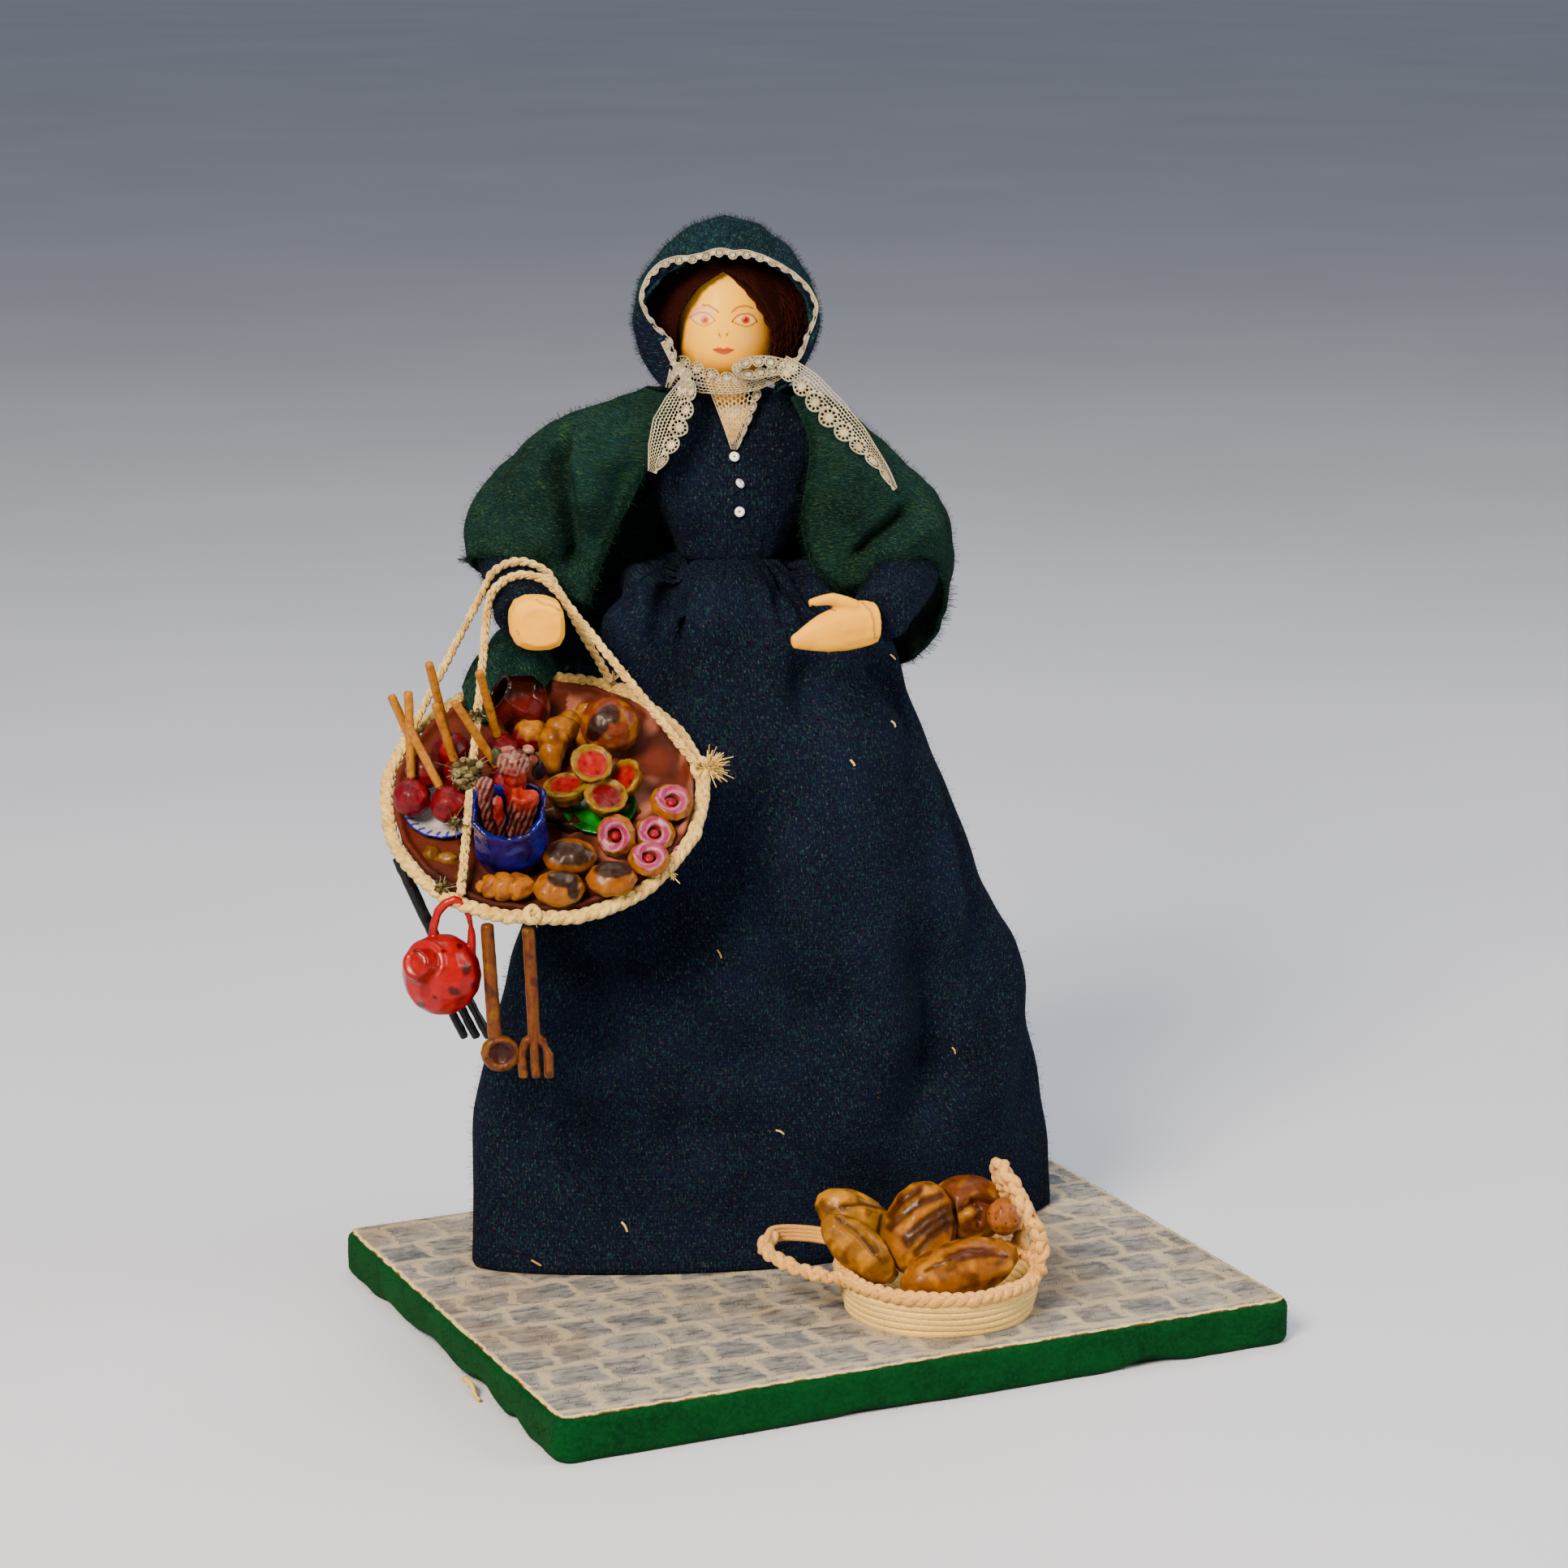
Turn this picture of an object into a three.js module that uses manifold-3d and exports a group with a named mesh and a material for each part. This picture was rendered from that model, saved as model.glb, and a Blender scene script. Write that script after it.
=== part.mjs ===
// A pedlar costume doll, 12 inches tall, on a felt-edged board that is papered with painted cobbles.
// The wooden lady wears a tweed dress, shawl and bonnet with lace ties. Two jute slings over her right arm
// carry a tray of sweets and pastries, with tools and a kettle hanging from its rim, and a basket of loaves
// stands on the cobbles. Millimetres, +Z up, the origin under the middle of the board, its front towards -Y.
import * as THREE from "three";
import { mergeVertices } from "three/addons/utils/BufferGeometryUtils.js";
import Module from "manifold-3d";

const wasm = await Module();
wasm.setup();

// The board: 8 1/2 by 6 1/2 inches of half-inch wood wrapped in felt, with a sheet of card on top.
const BOARD = { width: 216, depth: 166, thick: 12, corner: 5 };
const CARD = 0.5;
const FLOOR = BOARD.thick + CARD;
// The doll stands here on the board, turned to look out over its left front corner.
const DOLL = { x: -8, y: 36, turn: -24.7 };
const WAIST = 208;
const GAP = 0.3;

// The round tray hangs from the slings with its front edge low.
const TRAY = { x: -48, y: -55, z: 151, tilt: 36.5, radius: 40.2, thick: 2, lip: 4, cord: 1.5 };
// Where the two slings are tied on the rim, in degrees round the tray from its right side.
const TIES = { frontLeft: -119, frontRight: 11, backLeft: 151, backRight: 66 };
const SLING = { radius: 1.3, sides: 8 };
const CUFF = { radius: 8 };
const BASKET = { x: 17.6, y: -46.9, foot: 25.3, rim: 27.5, high: 11, wall: 1.8, braid: 1.9 };

const radians = (degrees) => (degrees * Math.PI) / 180;
const point = (x, y, z) => new THREE.Vector3(x, y, z);
const points = (list) => list.map(([x, y, z]) => point(x, y, z));

function blendStep(from, to, value) {
  const t = Math.min(1, Math.max(0, (value - from) / (to - from)));
  return t * t * (3 - 2 * t);
}

// Geometry with only positions, shared vertices merged and its faces turned outwards.
function closed(geometry) {
  const bare = geometry.clone();
  bare.deleteAttribute("normal");
  bare.deleteAttribute("uv");
  const merged = mergeVertices(bare, 1e-4);
  const at = merged.attributes.position;
  const index = merged.index.array;
  const [a, b, c] = [point(), point(), point()];
  let volume = 0;
  for (let i = 0; i < index.length; i += 3) {
    [a, b, c].forEach((corner, k) => corner.fromBufferAttribute(at, index[i + k]));
    volume += a.dot(b.cross(c));
  }
  if (volume < 0)
    for (let i = 0; i < index.length; i += 3) [index[i + 1], index[i + 2]] = [index[i + 2], index[i + 1]];
  merged.computeVertexNormals();
  return merged;
}

function fromTriangles(corners, triangles) {
  const geometry = new THREE.BufferGeometry();
  const numbers = corners.flatMap((p) => [p.x, p.y, p.z]);
  geometry.setAttribute("position", new THREE.Float32BufferAttribute(numbers, 3));
  geometry.setIndex(triangles.flat());
  return closed(geometry);
}

function middleOf(ring) {
  return ring.reduce((sum, p) => sum.add(p), point(0, 0, 0)).divideScalar(ring.length);
}

// A solid through a row of rings, its two ends closed by fans.
function loft(rings) {
  const count = rings[0].length;
  const corners = rings.flat();
  const triangles = [];
  for (let i = 0; i + 1 < rings.length; i++)
    for (let j = 0; j < count; j++) {
      const a = i * count + j;
      const b = i * count + ((j + 1) % count);
      triangles.push([a, b, b + count], [a, b + count, a + count]);
    }
  const last = (rings.length - 1) * count;
  const [low, high] = [corners.length, corners.length + 1];
  corners.push(middleOf(rings[0]), middleOf(rings.at(-1)));
  for (let j = 0; j < count; j++) {
    const next = (j + 1) % count;
    triangles.push([low, next, j], [high, last + j, last + next]);
  }
  return fromTriangles(corners, triangles);
}

// A sheet of cloth or card through a grid of points, given its thickness on the side away from its normal.
function thickSheet(grid, thickness) {
  const [rows, columns] = [grid.length, grid[0].length];
  const clamp = (value, most) => Math.min(most, Math.max(0, value));
  const normalAt = (i, j) => {
    const across = grid[i][clamp(j + 1, columns - 1)].clone().sub(grid[i][clamp(j - 1, columns - 1)]);
    const along = grid[clamp(i + 1, rows - 1)][j].clone().sub(grid[clamp(i - 1, rows - 1)][j]);
    return across.cross(along).normalize();
  };
  const front = grid.flat();
  const offset = (p, i, j) => p.clone().addScaledVector(normalAt(i, j), thickness);
  const back = grid.flatMap((row, i) => row.map((p, j) => offset(p, i, j)));
  const triangles = [];
  const quad = (a, b, c, d) => triangles.push([a, b, c], [a, c, d]);
  const at = (i, j) => i * columns + j;
  const under = front.length;
  for (let i = 0; i + 1 < rows; i++)
    for (let j = 0; j + 1 < columns; j++) {
      quad(at(i, j), at(i, j + 1), at(i + 1, j + 1), at(i + 1, j));
      quad(under + at(i, j), under + at(i + 1, j), under + at(i + 1, j + 1), under + at(i, j + 1));
    }
  for (let j = 0; j + 1 < columns; j++)
    for (const [i, a, b] of [[0, j + 1, j], [rows - 1, j, j + 1]])
      quad(at(i, a), at(i, b), under + at(i, b), under + at(i, a));
  for (let i = 0; i + 1 < rows; i++)
    for (const [j, a, b] of [[0, i, i + 1], [columns - 1, i + 1, i]])
      quad(at(a, j), at(b, j), under + at(b, j), under + at(a, j));
  return fromTriangles([...front, ...back], triangles);
}

function solid(geometry) {
  const { position } = geometry.attributes;
  const triVerts = new Uint32Array(geometry.index.array);
  const mesh = { numProp: 3, vertProperties: position.array, triVerts };
  return new wasm.Manifold(new wasm.Mesh(mesh));
}

// A solid's largest body as geometry, so that a cut leaves no loose crumb.
function geometryOf(manifold) {
  const bodies = manifold.decompose().sort((a, b) => b.volume() - a.volume());
  const { vertProperties, triVerts } = bodies[0].getMesh();
  const geometry = new THREE.BufferGeometry();
  geometry.setAttribute("position", new THREE.BufferAttribute(vertProperties, 3));
  geometry.setIndex(new THREE.BufferAttribute(triVerts, 1));
  return closed(geometry);
}

function join(...parts) {
  return geometryOf(parts.map(solid).reduce((all, part) => all.add(part)));
}

function cut(part, ...tools) {
  return geometryOf(tools.map(solid).reduce((left, tool) => left.subtract(tool), solid(part)));
}

function common(a, b) {
  return geometryOf(solid(a).intersect(solid(b)));
}

// Geometry swollen along its normals, for cutting a neighbour clear of it.
function grown(geometry, by = GAP) {
  const swollen = geometry.clone();
  const { position, normal } = swollen.attributes;
  for (let i = 0; i < position.count; i++) {
    const moved = point().fromBufferAttribute(normal, i).multiplyScalar(by);
    moved.add(point().fromBufferAttribute(position, i));
    position.setXYZ(i, moved.x, moved.y, moved.z);
  }
  return swollen;
}

function ball(rx, ry, rz, [x, y, z] = [0, 0, 0], round = 12, high = 8) {
  const sphere = new THREE.SphereGeometry(1, round, high).rotateX(Math.PI / 2);
  return closed(sphere.scale(rx, ry, rz).translate(x, y, z));
}

function box(from, to) {
  const size = to.map((value, k) => value - from[k]);
  const middle = to.map((value, k) => (value + from[k]) / 2);
  return closed(new THREE.BoxGeometry(...size).translate(...middle));
}

// A turned shape from [radius, height] pairs that start and end on the axis.
function turned(profile, round = 20) {
  const outline = profile.map(([r, z]) => new THREE.Vector2(r, z));
  return closed(new THREE.LatheGeometry(outline, round).rotateX(Math.PI / 2));
}

// A cord of one thickness along a smooth line.
function cord(route, radius, sides, steps) {
  const circle = new THREE.Shape().absarc(0, 0, radius, 0, 2 * Math.PI);
  const path = new THREE.CatmullRomCurve3(points(route), false, "centripetal");
  const settings = { steps, bevelEnabled: false, extrudePath: path, curveSegments: sides / 2 };
  return closed(new THREE.ExtrudeGeometry(circle, settings));
}

// A limb or rod: round sections of changing [across, up] radii along a smooth line.
function limb(route, radii, sides = 12, steps = 8) {
  const path = new THREE.CatmullRomCurve3(points(route), false, "centripetal");
  const rings = [];
  for (let i = 0; i <= steps; i++) {
    const t = i / steps;
    const along = path.getTangent(t);
    const across = point(0, 0, 1).cross(along);
    if (across.length() < 0.1) across.set(1, 0, 0);
    across.normalize();
    const up = along.clone().cross(across);
    const place = t * (radii.length - 1);
    const k = Math.min(radii.length - 2, Math.floor(place));
    const [wide, tall] = [0, 1].map((n) => radii[k][n] + (radii[k + 1][n] - radii[k][n]) * (place - k));
    const ring = [];
    for (let j = 0; j < sides; j++) {
      const a = (2 * Math.PI * j) / sides;
      const sideways = across.clone().multiplyScalar(wide * Math.cos(a));
      ring.push(path.getPoint(t).add(sideways).addScaledVector(up, tall * Math.sin(a)));
    }
    rings.push(ring);
  }
  return loft(rings);
}

// A level ring with rounded-square corners: power 2 is an oval, and more is squarer.
function levelRing(count, wide, deep, z, power = 2, shiftX = 0, shiftY = 0) {
  const ring = [];
  for (let j = 0; j < count; j++) {
    const a = (2 * Math.PI * j) / count;
    const [c, s] = [Math.cos(a), Math.sin(a)];
    const reach = Math.pow(Math.abs(c) ** power + Math.abs(s) ** power, -1 / power);
    ring.push(point(shiftX + wide * reach * c, shiftY + deep * reach * s, z));
  }
  return ring;
}

// Each piece in turn is cut clear of those before it, as things that are packed together press in.
function settle(pieces) {
  const placed = [];
  for (const piece of pieces) {
    const meets = (other) => solid(piece.shape).intersect(solid(grown(other.shape))).volume() > 0;
    const near = placed.filter(meets);
    if (near.length) piece.shape = cut(piece.shape, ...near.map((other) => grown(other.shape)));
    placed.push(piece);
  }
  return placed;
}

const MATERIALS = {
  felt: { color: 0x0f5a2c, roughness: 1 },
  paper: { color: 0xa8a698, roughness: 0.6 },
  dressTweed: { color: 0x1a2b45, roughness: 1 },
  shawlTweed: { color: 0x1d4a3c, roughness: 1 },
  lace: { color: 0xe6dcc4, roughness: 0.9 },
  paintedWood: { color: 0xeebb74, roughness: 0.35 },
  hairWool: { color: 0x351a12, roughness: 0.95 },
  trayClay: { color: 0xa04f3a, roughness: 0.6 },
  jute: { color: 0xd8bd8a, roughness: 0.9 },
  china: { color: 0xe8e6ea, roughness: 0.15 },
  toffee: { color: 0x8a1026, roughness: 0.15 },
  blueGlaze: { color: 0x1414b4, roughness: 0.2 },
  greenGlaze: { color: 0x1f8a4a, roughness: 0.25 },
  pastry: { color: 0xb8762a, roughness: 0.4 },
  jam: { color: 0xc01818, roughness: 0.25 },
  sugar: { color: 0xd8788c, roughness: 0.4 },
  chocolate: { color: 0x32201c, roughness: 0.3 },
  brownGlaze: { color: 0x8a3a12, roughness: 0.15 },
  redEnamel: { color: 0xc01410, roughness: 0.2 },
  blackIron: { color: 0x15161c, roughness: 0.4, metalness: 0.3 },
  carvedWood: { color: 0xa86a32, roughness: 0.45 },
  cane: { color: 0xe6cd9c, roughness: 0.6 },
  crust: { color: 0xa05e1c, roughness: 0.35 },
};
const finishes = Object.fromEntries(
  Object.entries(MATERIALS).map(([name, look]) => [name, new THREE.MeshStandardMaterial(look)]),
);

function piece(name, shape, finish) {
  const mesh = new THREE.Mesh(shape, finishes[finish]);
  mesh.name = name;
  return mesh;
}

function board() {
  const { width, depth, thick, corner } = BOARD;
  const [x, y] = [width / 2 - corner, depth / 2 - corner];
  const outline = new THREE.Shape();
  outline.absarc(x, y, corner, 0, Math.PI / 2);
  outline.absarc(-x, y, corner, Math.PI / 2, Math.PI);
  outline.absarc(-x, -y, corner, Math.PI, 1.5 * Math.PI);
  outline.absarc(x, -y, corner, 1.5 * Math.PI, 2 * Math.PI);
  const settings = { depth: thick, bevelEnabled: false, curveSegments: 4 };
  const slab = closed(new THREE.ExtrudeGeometry(outline, settings));
  const margin = 1.5;
  const [cardX, cardY] = [width / 2 - margin, depth / 2 - margin];
  const card = box([-cardX, -cardY, thick], [cardX, cardY, FLOOR]);
  return [piece("felt_board", slab, "felt"), piece("cobble_card", card, "paper")];
}

// The skirt's outline: height over the board, half width, depth in front, depth behind, sideways shift.
const SKIRT = [
  [0, 86.7, 30, 46, 11.7],
  [20, 85.3, 31, 46, 11.6],
  [43, 81.2, 33, 44, 9.3],
  [62, 75.2, 34, 42, 8.3],
  [84, 70.4, 34, 41, 9.4],
  [104, 61.2, 33, 39, 8.8],
  [127, 53.6, 31, 36, 8],
  [150, 47, 28.5, 32, 5.8],
  [170, 42, 26, 28, 2.8],
  [183, 36, 23.5, 24, 1.4],
  [191, 28.5, 19, 19, 1],
  [WAIST - FLOOR, 15.5, 12, 12, 1],
];
// At the hem the outline is turned, moved forward and drawn to a blunt point in front, an oval at the waist.
const HEM = { turn: 19.3, forward: 4.9, power: 1.5 };
const PLEATS = 10;
const SKIRT_SIDES = 40;

// Tight pleats fan out from the waist and melt into a few broad folds.
function skirtFold(angle, share) {
  const pleats = 0.07 * blendStep(0.72, 0.97, share) * Math.cos(PLEATS * angle);
  const broad = 0.035 * blendStep(0, 0.3, share) * blendStep(1, 0.6, share);
  return 1 + pleats + broad * (Math.sin(5 * angle) + 0.6 * Math.sin(8 * angle));
}

function skirt() {
  const top = WAIST - FLOOR;
  const rings = SKIRT.map(([height, wide, front, behind, shift]) => {
    const share = height / top;
    const turn = radians(HEM.turn * (1 - share));
    const follow = blendStep(1, 0.55, share);
    const power = 2 + (HEM.power - 2) * follow;
    const ring = [];
    for (let j = 0; j < SKIRT_SIDES; j++) {
      const a = (2 * Math.PI * j) / SKIRT_SIDES;
      const [c, s] = [Math.cos(a), Math.sin(a)];
      const outline = s < 0 ? Math.pow(Math.abs(c) ** power + Math.abs(s) ** power, -1 / power) : 1;
      const reach = outline * skirtFold(a, share);
      const [x, y] = [wide * reach * c, (s < 0 ? front : behind) * reach * s];
      const across = x * Math.cos(turn) - y * Math.sin(turn);
      const back = x * Math.sin(turn) + y * Math.cos(turn);
      ring.push(point(shift + across, back - HEM.forward * follow, FLOOR + height));
    }
    return ring;
  });
  return loft(rings);
}

// The bodice: height, half width, half depth.
const BODICE = [
  [WAIST, 14, 11],
  [214, 16, 12],
  [222, 20, 13.5],
  [230, 23.5, 14.5],
  [238, 25.5, 13.5],
  [243, 25, 11.5],
  [246.5, 20, 9.5],
  [249.5, 12, 8],
  [250.5, 8.5, 7.5],
];
// The neckline's V: its lowest point, its half width at the top, and how far back it is cut.
const NECKLINE = { x: 2, low: 239.5, wide: 8, top: 252, back: -4 };

function necklineWedge(spread) {
  const { x, low, wide, top, back } = NECKLINE;
  const outline = new THREE.Shape([
    new THREE.Vector2(x, low - spread),
    new THREE.Vector2(x + wide + spread, top),
    new THREE.Vector2(x - wide - spread, top),
  ]);
  const wedge = new THREE.ExtrudeGeometry(outline, { depth: 20, bevelEnabled: false });
  return closed(wedge.rotateX(Math.PI / 2).translate(0, back + spread, 0));
}

// The lace in the neckline is set a little way into the opening.
function dressTop() {
  const ring = ([z, wide, deep], inset) => levelRing(18, wide - inset, deep - inset, z, 2.3, 1);
  const hull = (inset) => loft(BODICE.map((level) => ring(level, inset)));
  return [
    piece("bodice", cut(hull(0), necklineWedge(GAP)), "dressTweed"),
    piece("chemisette_lace", common(hull(0.8), necklineWedge(0)), "lace"),
  ];
}

const HEAD = { z: 271.5, radius: 13.3, crown: 19, neck: 6.2, foot: 250.8 };

// Head and neck are turned from one piece of wood: a ball drawn up into an egg on a straight neck.
function head() {
  const { z, radius, crown, neck, foot } = HEAD;
  const profile = [[0, foot], [neck, foot]];
  const from = Math.asin(neck / radius);
  for (let i = 0; i <= 9; i++) {
    const a = from + ((Math.PI - from) * i) / 9;
    const rise = a < Math.PI / 2 ? radius : crown;
    profile.push([Math.max(0, radius * Math.sin(a)), z - rise * Math.cos(a)]);
  }
  profile[profile.length - 1][0] = 0;
  return turned(profile, 14);
}

// The hair is a wool wig parted in the middle, open over the face like a pointed arch.
function hair(headShape) {
  const wig = common(ball(20.5, 18.5, 21, [0, 1.5, 273], 12, 8), box([-30, -30, 256], [30, 30, 300]));
  const arch = [[0, 287.5], [7, 283], [10.2, 278.8], [12.5, 274.5], [13.4, 269], [13.6, 250]];
  const half = arch.map(([x, z]) => new THREE.Vector2(x, z));
  const other = arch.slice(1).reverse().map(([x, z]) => new THREE.Vector2(-x, z));
  const outline = new THREE.Shape([...half, ...other]);
  const opening = new THREE.ExtrudeGeometry(outline, { depth: 30, bevelEnabled: false });
  return cut(wig, grown(headShape), closed(opening.rotateX(Math.PI / 2).translate(0, -3, 0)));
}

// The bonnet from brim to back: depth, half width, height of the top. Its widest level is BONNET_Z.
const BONNET = [
  [-17, 24.6, 292.6],
  [-10, 25.4, 297.5],
  [-2, 25.6, 301],
  [6, 24.6, 300.8],
  [14, 21, 296.5],
  [20, 15, 289],
  [24, 6, 281],
];
const BONNET_Z = 274;
const BONNET_FOOT = 254.5;
const CLOTH = 1.7;
const LACE_CLOTH = 0.6;

// The brim's rings come to a blunt point above, and below they run on past the bonnet's foot.
function brimPoint(angle, wide, top, y) {
  const [c, s] = [Math.cos(angle), Math.sin(angle)];
  const reach = s > 0 ? Math.pow(Math.abs(c) ** 1.85 + s ** 1.85, -1 / 1.85) : 1;
  const tall = s > 0 ? top - BONNET_Z : BONNET_Z - (BONNET_FOOT - 4);
  return point(wide * c * reach, y, BONNET_Z + tall * s * reach);
}

function bonnetHull(inset) {
  const rings = BONNET.map(([y, wide, top], i) => {
    const depth = i === 0 && inset ? y - 3 : y - inset * blendStep(6, 24, y);
    const ring = [];
    for (let j = 0; j < 16; j++)
      ring.push(brimPoint((2 * Math.PI * j) / 16, wide - inset, top - inset, depth));
    return ring;
  });
  return loft(rings);
}

function bonnet() {
  const below = box([-40, -40, 200], [40, 40, BONNET_FOOT]);
  return cut(bonnetHull(0), bonnetHull(CLOTH), below);
}

// A lace band along the bonnet's brim, from one cheek over the top to the other.
function bonnetLace() {
  const [y, wide, top] = BONNET[0];
  const rows = [0, 2.6].map((inward) => {
    const row = [];
    for (let j = 0; j <= 18; j++)
      row.push(brimPoint(radians(-40 + (260 * j) / 18), wide - inward, top - inward, y - LACE_CLOTH));
    return row;
  });
  return thickSheet(rows, LACE_CLOTH);
}

// A flat ribbon of one width along a line, standing up across it in the picture plane.
function ribbon(route, widths, thickness, steps) {
  const path = new THREE.CatmullRomCurve3(points(route), false, "centripetal");
  const [upper, lower] = [[], []];
  for (let i = 0; i <= steps; i++) {
    const t = i / steps;
    const along = path.getTangent(t);
    const across = point(0, -1, 0).cross(along).normalize();
    const place = t * (widths.length - 1);
    const k = Math.min(widths.length - 2, Math.floor(place));
    const half = (widths[k] + (widths[k + 1] - widths[k]) * (place - k)) / 2;
    upper.push(path.getPoint(t).addScaledVector(across, half));
    lower.push(path.getPoint(t).addScaledVector(across, -half));
  }
  return thickSheet([upper, lower], thickness);
}

const CHIN_BAND = [[-14, -14, 260], [-7, -13.4, 257.4], [1, -13, 256.4], [9, -13.4, 258], [16.5, -14.5, 262]];
const TAIL_RIGHT_ARM = [[-13.6, -20, 257.5], [-15, -21, 246.5], [-19.6, -23.4, 234]];
const TAIL_LEFT_ARM = [[19.5, -20, 263], [25.5, -20.8, 253], [36, -22, 241], [45.8, -22.5, 229.5]];

// The shawl is drawn by ribs from the neck to the hem: on her right the front edge, the front panel, over
// the arm, outside it and behind it, then the point at the back, and the same on her left in reverse.
const SHAWL_RIBS = [
  [[-17, -12.5, 251], [-23.5, -19.5, 238], [-33, -22.5, 210], [-37, -21, 197]],
  [[-21, -8, 252.5], [-35, -19.5, 240], [-43, -23, 216], [-42, -21.5, 199]],
  [[-23, -3, 253], [-44, -9, 246.5], [-59, -19, 224], [-60, -20, 212]],
  [[-23.5, 0, 253], [-50, -2, 242], [-68.5, -6.5, 214], [-69, -9, 200]],
  [[-20, 6, 252], [-47, 10.5, 239], [-60.5, 12, 207], [-83, 14, 169]],
  [[0, 12, 249.5], [0, 23.5, 229], [0, 30, 196], [0, 43, 147]],
  [[19, 6, 252], [39, 9.5, 239], [53, 11.5, 209], [47, 13, 168]],
  [[23, 0, 252], [39, -2, 240], [59.5, -6.5, 212], [58.5, -8, 194]],
  [[22.5, -4, 252.5], [36, -10, 245], [53, -18.5, 222], [54, -20, 211]],
  [[19.5, -9, 252], [27, -18, 240], [38, -23, 218], [41, -21.5, 205]],
  [[14, -13, 250.5], [19.5, -20, 236], [20, -21.5, 219], [28, -22, 206]],
];
const SHAWL_COLUMNS = 26;
const SHAWL_ROWS = 6;

function shawl() {
  const ribs = SHAWL_RIBS.map((rib) => new THREE.CatmullRomCurve3(points(rib), false, "centripetal"));
  const grid = [];
  for (let i = 0; i <= SHAWL_ROWS; i++) {
    const level = ribs.map((rib) => rib.getPoint(i / SHAWL_ROWS));
    const around = new THREE.CatmullRomCurve3(level, false, "centripetal");
    const row = [];
    for (let j = 0; j <= SHAWL_COLUMNS; j++) row.push(around.getPoint(j / SHAWL_COLUMNS));
    grid.push(row);
  }
  return thickSheet(grid, CLOTH);
}

const ARMS = {
  right: { shoulder: [-24, -1, 238], elbow: [-60.5, -2.5, 207], cuff: [-52.8, -41.5, 198.4] },
  left: { shoulder: [25, -1, 238], elbow: [52.6, -3, 208], cuff: [42, -34, 197.5] },
};

function sleeve({ shoulder, elbow, cuff }, wide) {
  const upper = limb([shoulder, elbow], [[7, 7], [7.5, 7.5]], 9, 1);
  const middle = wide + 0.3;
  const fore = limb([elbow, cuff], [[wide, wide], [middle, middle], [CUFF.radius, CUFF.radius]], 12, 3);
  return join(upper, ball(wide, wide, wide, elbow, 9, 5), fore);
}

// Carved wooden hands: the right one is closed, the left one is a mitten with its thumb laid along the top.
function rightHand() {
  const along = [[-42.1, 5.6, 5.4], [-44.5, 7, 6.8], [-49, 7.4, 7.2], [-53.5, 7.2, 6.9], [-55.8, 5.4, 5]];
  const rings = along.map(([y, wide, tall], i) => {
    const flat = levelRing(16, wide, tall, 0, 3);
    return flat.map((p) => point(-51.2 + i * 0.7 + p.x, y, 198.3 + p.y));
  });
  return loft(rings);
}

function leftHand() {
  const palm = [[40.5, -37.2, 196], [35, -39.5, 195.8], [26, -42.6, 194], [18, -45.4, 192]];
  const mitten = limb(palm, [[4, 5.5], [4.2, 6.8], [3.8, 6.4], [3, 4.6], [1.2, 1.6]], 12, 6);
  const along = [[35, -40.5, 201], [28.5, -43, 203.4], [22.5, -44.6, 202.6]];
  const thumb = limb(along, [[2, 1.8], [2, 1.9], [1.1, 1.1]], 7, 4);
  return join(mitten, thumb);
}

// A point of the tray's own frame, in the doll's.
function fromTray(x, y, z) {
  const tilt = radians(TRAY.tilt);
  const [c, s] = [Math.cos(tilt), Math.sin(tilt)];
  return [TRAY.x + x, TRAY.y + y * c - z * s, TRAY.z + y * s + z * c];
}

const RIM = TRAY.radius + TRAY.cord + GAP;

function tie(name, inward, rise) {
  const a = radians(TIES[name]);
  return fromTray((RIM - inward) * Math.cos(a), (RIM - inward) * Math.sin(a), TRAY.lip / 2 + rise);
}

// A sling runs up from one tie, over the cuff, and down to the other. Turns are degrees round the arm.
function sling(from, to, arm, turns) {
  const reach = CUFF.radius + SLING.radius + 3 * GAP;
  const over = turns.map((turn) => {
    const a = radians(turn);
    return [arm[0] + reach * Math.cos(a), arm[1], arm[2] + reach * Math.sin(a)];
  });
  const between = (a, b, t) => a.map((value, k) => value + (b[k] - value) * t);
  const route = [from, between(from, over[0], 0.5), between(from, over[0], 0.9), ...over];
  route.push(between(over.at(-1), to, 0.1), between(over.at(-1), to, 0.5), to);
  return route;
}

const TIE_RISE = TRAY.cord + SLING.radius + 0.5;
const FRONT_SLING = sling(
  tie("frontLeft", 0.5, TIE_RISE),
  tie("frontRight", 0.5, TIE_RISE),
  [-53.4, -38.6, 199.05],
  [180, 150, 118, 88, 60, 38],
);
const BACK_SLING = sling(
  tie("backLeft", 0.5, TIE_RISE),
  tie("backRight", 0.5, TIE_RISE),
  [-55.2, -29.5, 201.05],
  [165, 135, 105, 72, 40],
);

function trayDish() {
  const { radius, thick, lip } = TRAY;
  const wall = 1.2;
  const profile = [[0, 0], [radius - 1, 0], [radius, 1], [radius, lip], [radius - wall, lip]];
  profile.push([radius - wall - 1, thick], [0, thick]);
  return turned(profile, 22);
}

function rimCord() {
  return closed(new THREE.TorusGeometry(RIM, TRAY.cord, 5, 28).translate(0, 0, TRAY.lip / 2));
}

function saucer(radius, x, y) {
  const z = TRAY.thick + GAP;
  const profile = [[0, 0], [radius * 0.6, 0], [radius, 1.6], [radius - 0.4, 2.3], [radius * 0.62, 1], [0, 1]];
  return turned(profile, 14).translate(x, y, z);
}

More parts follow.
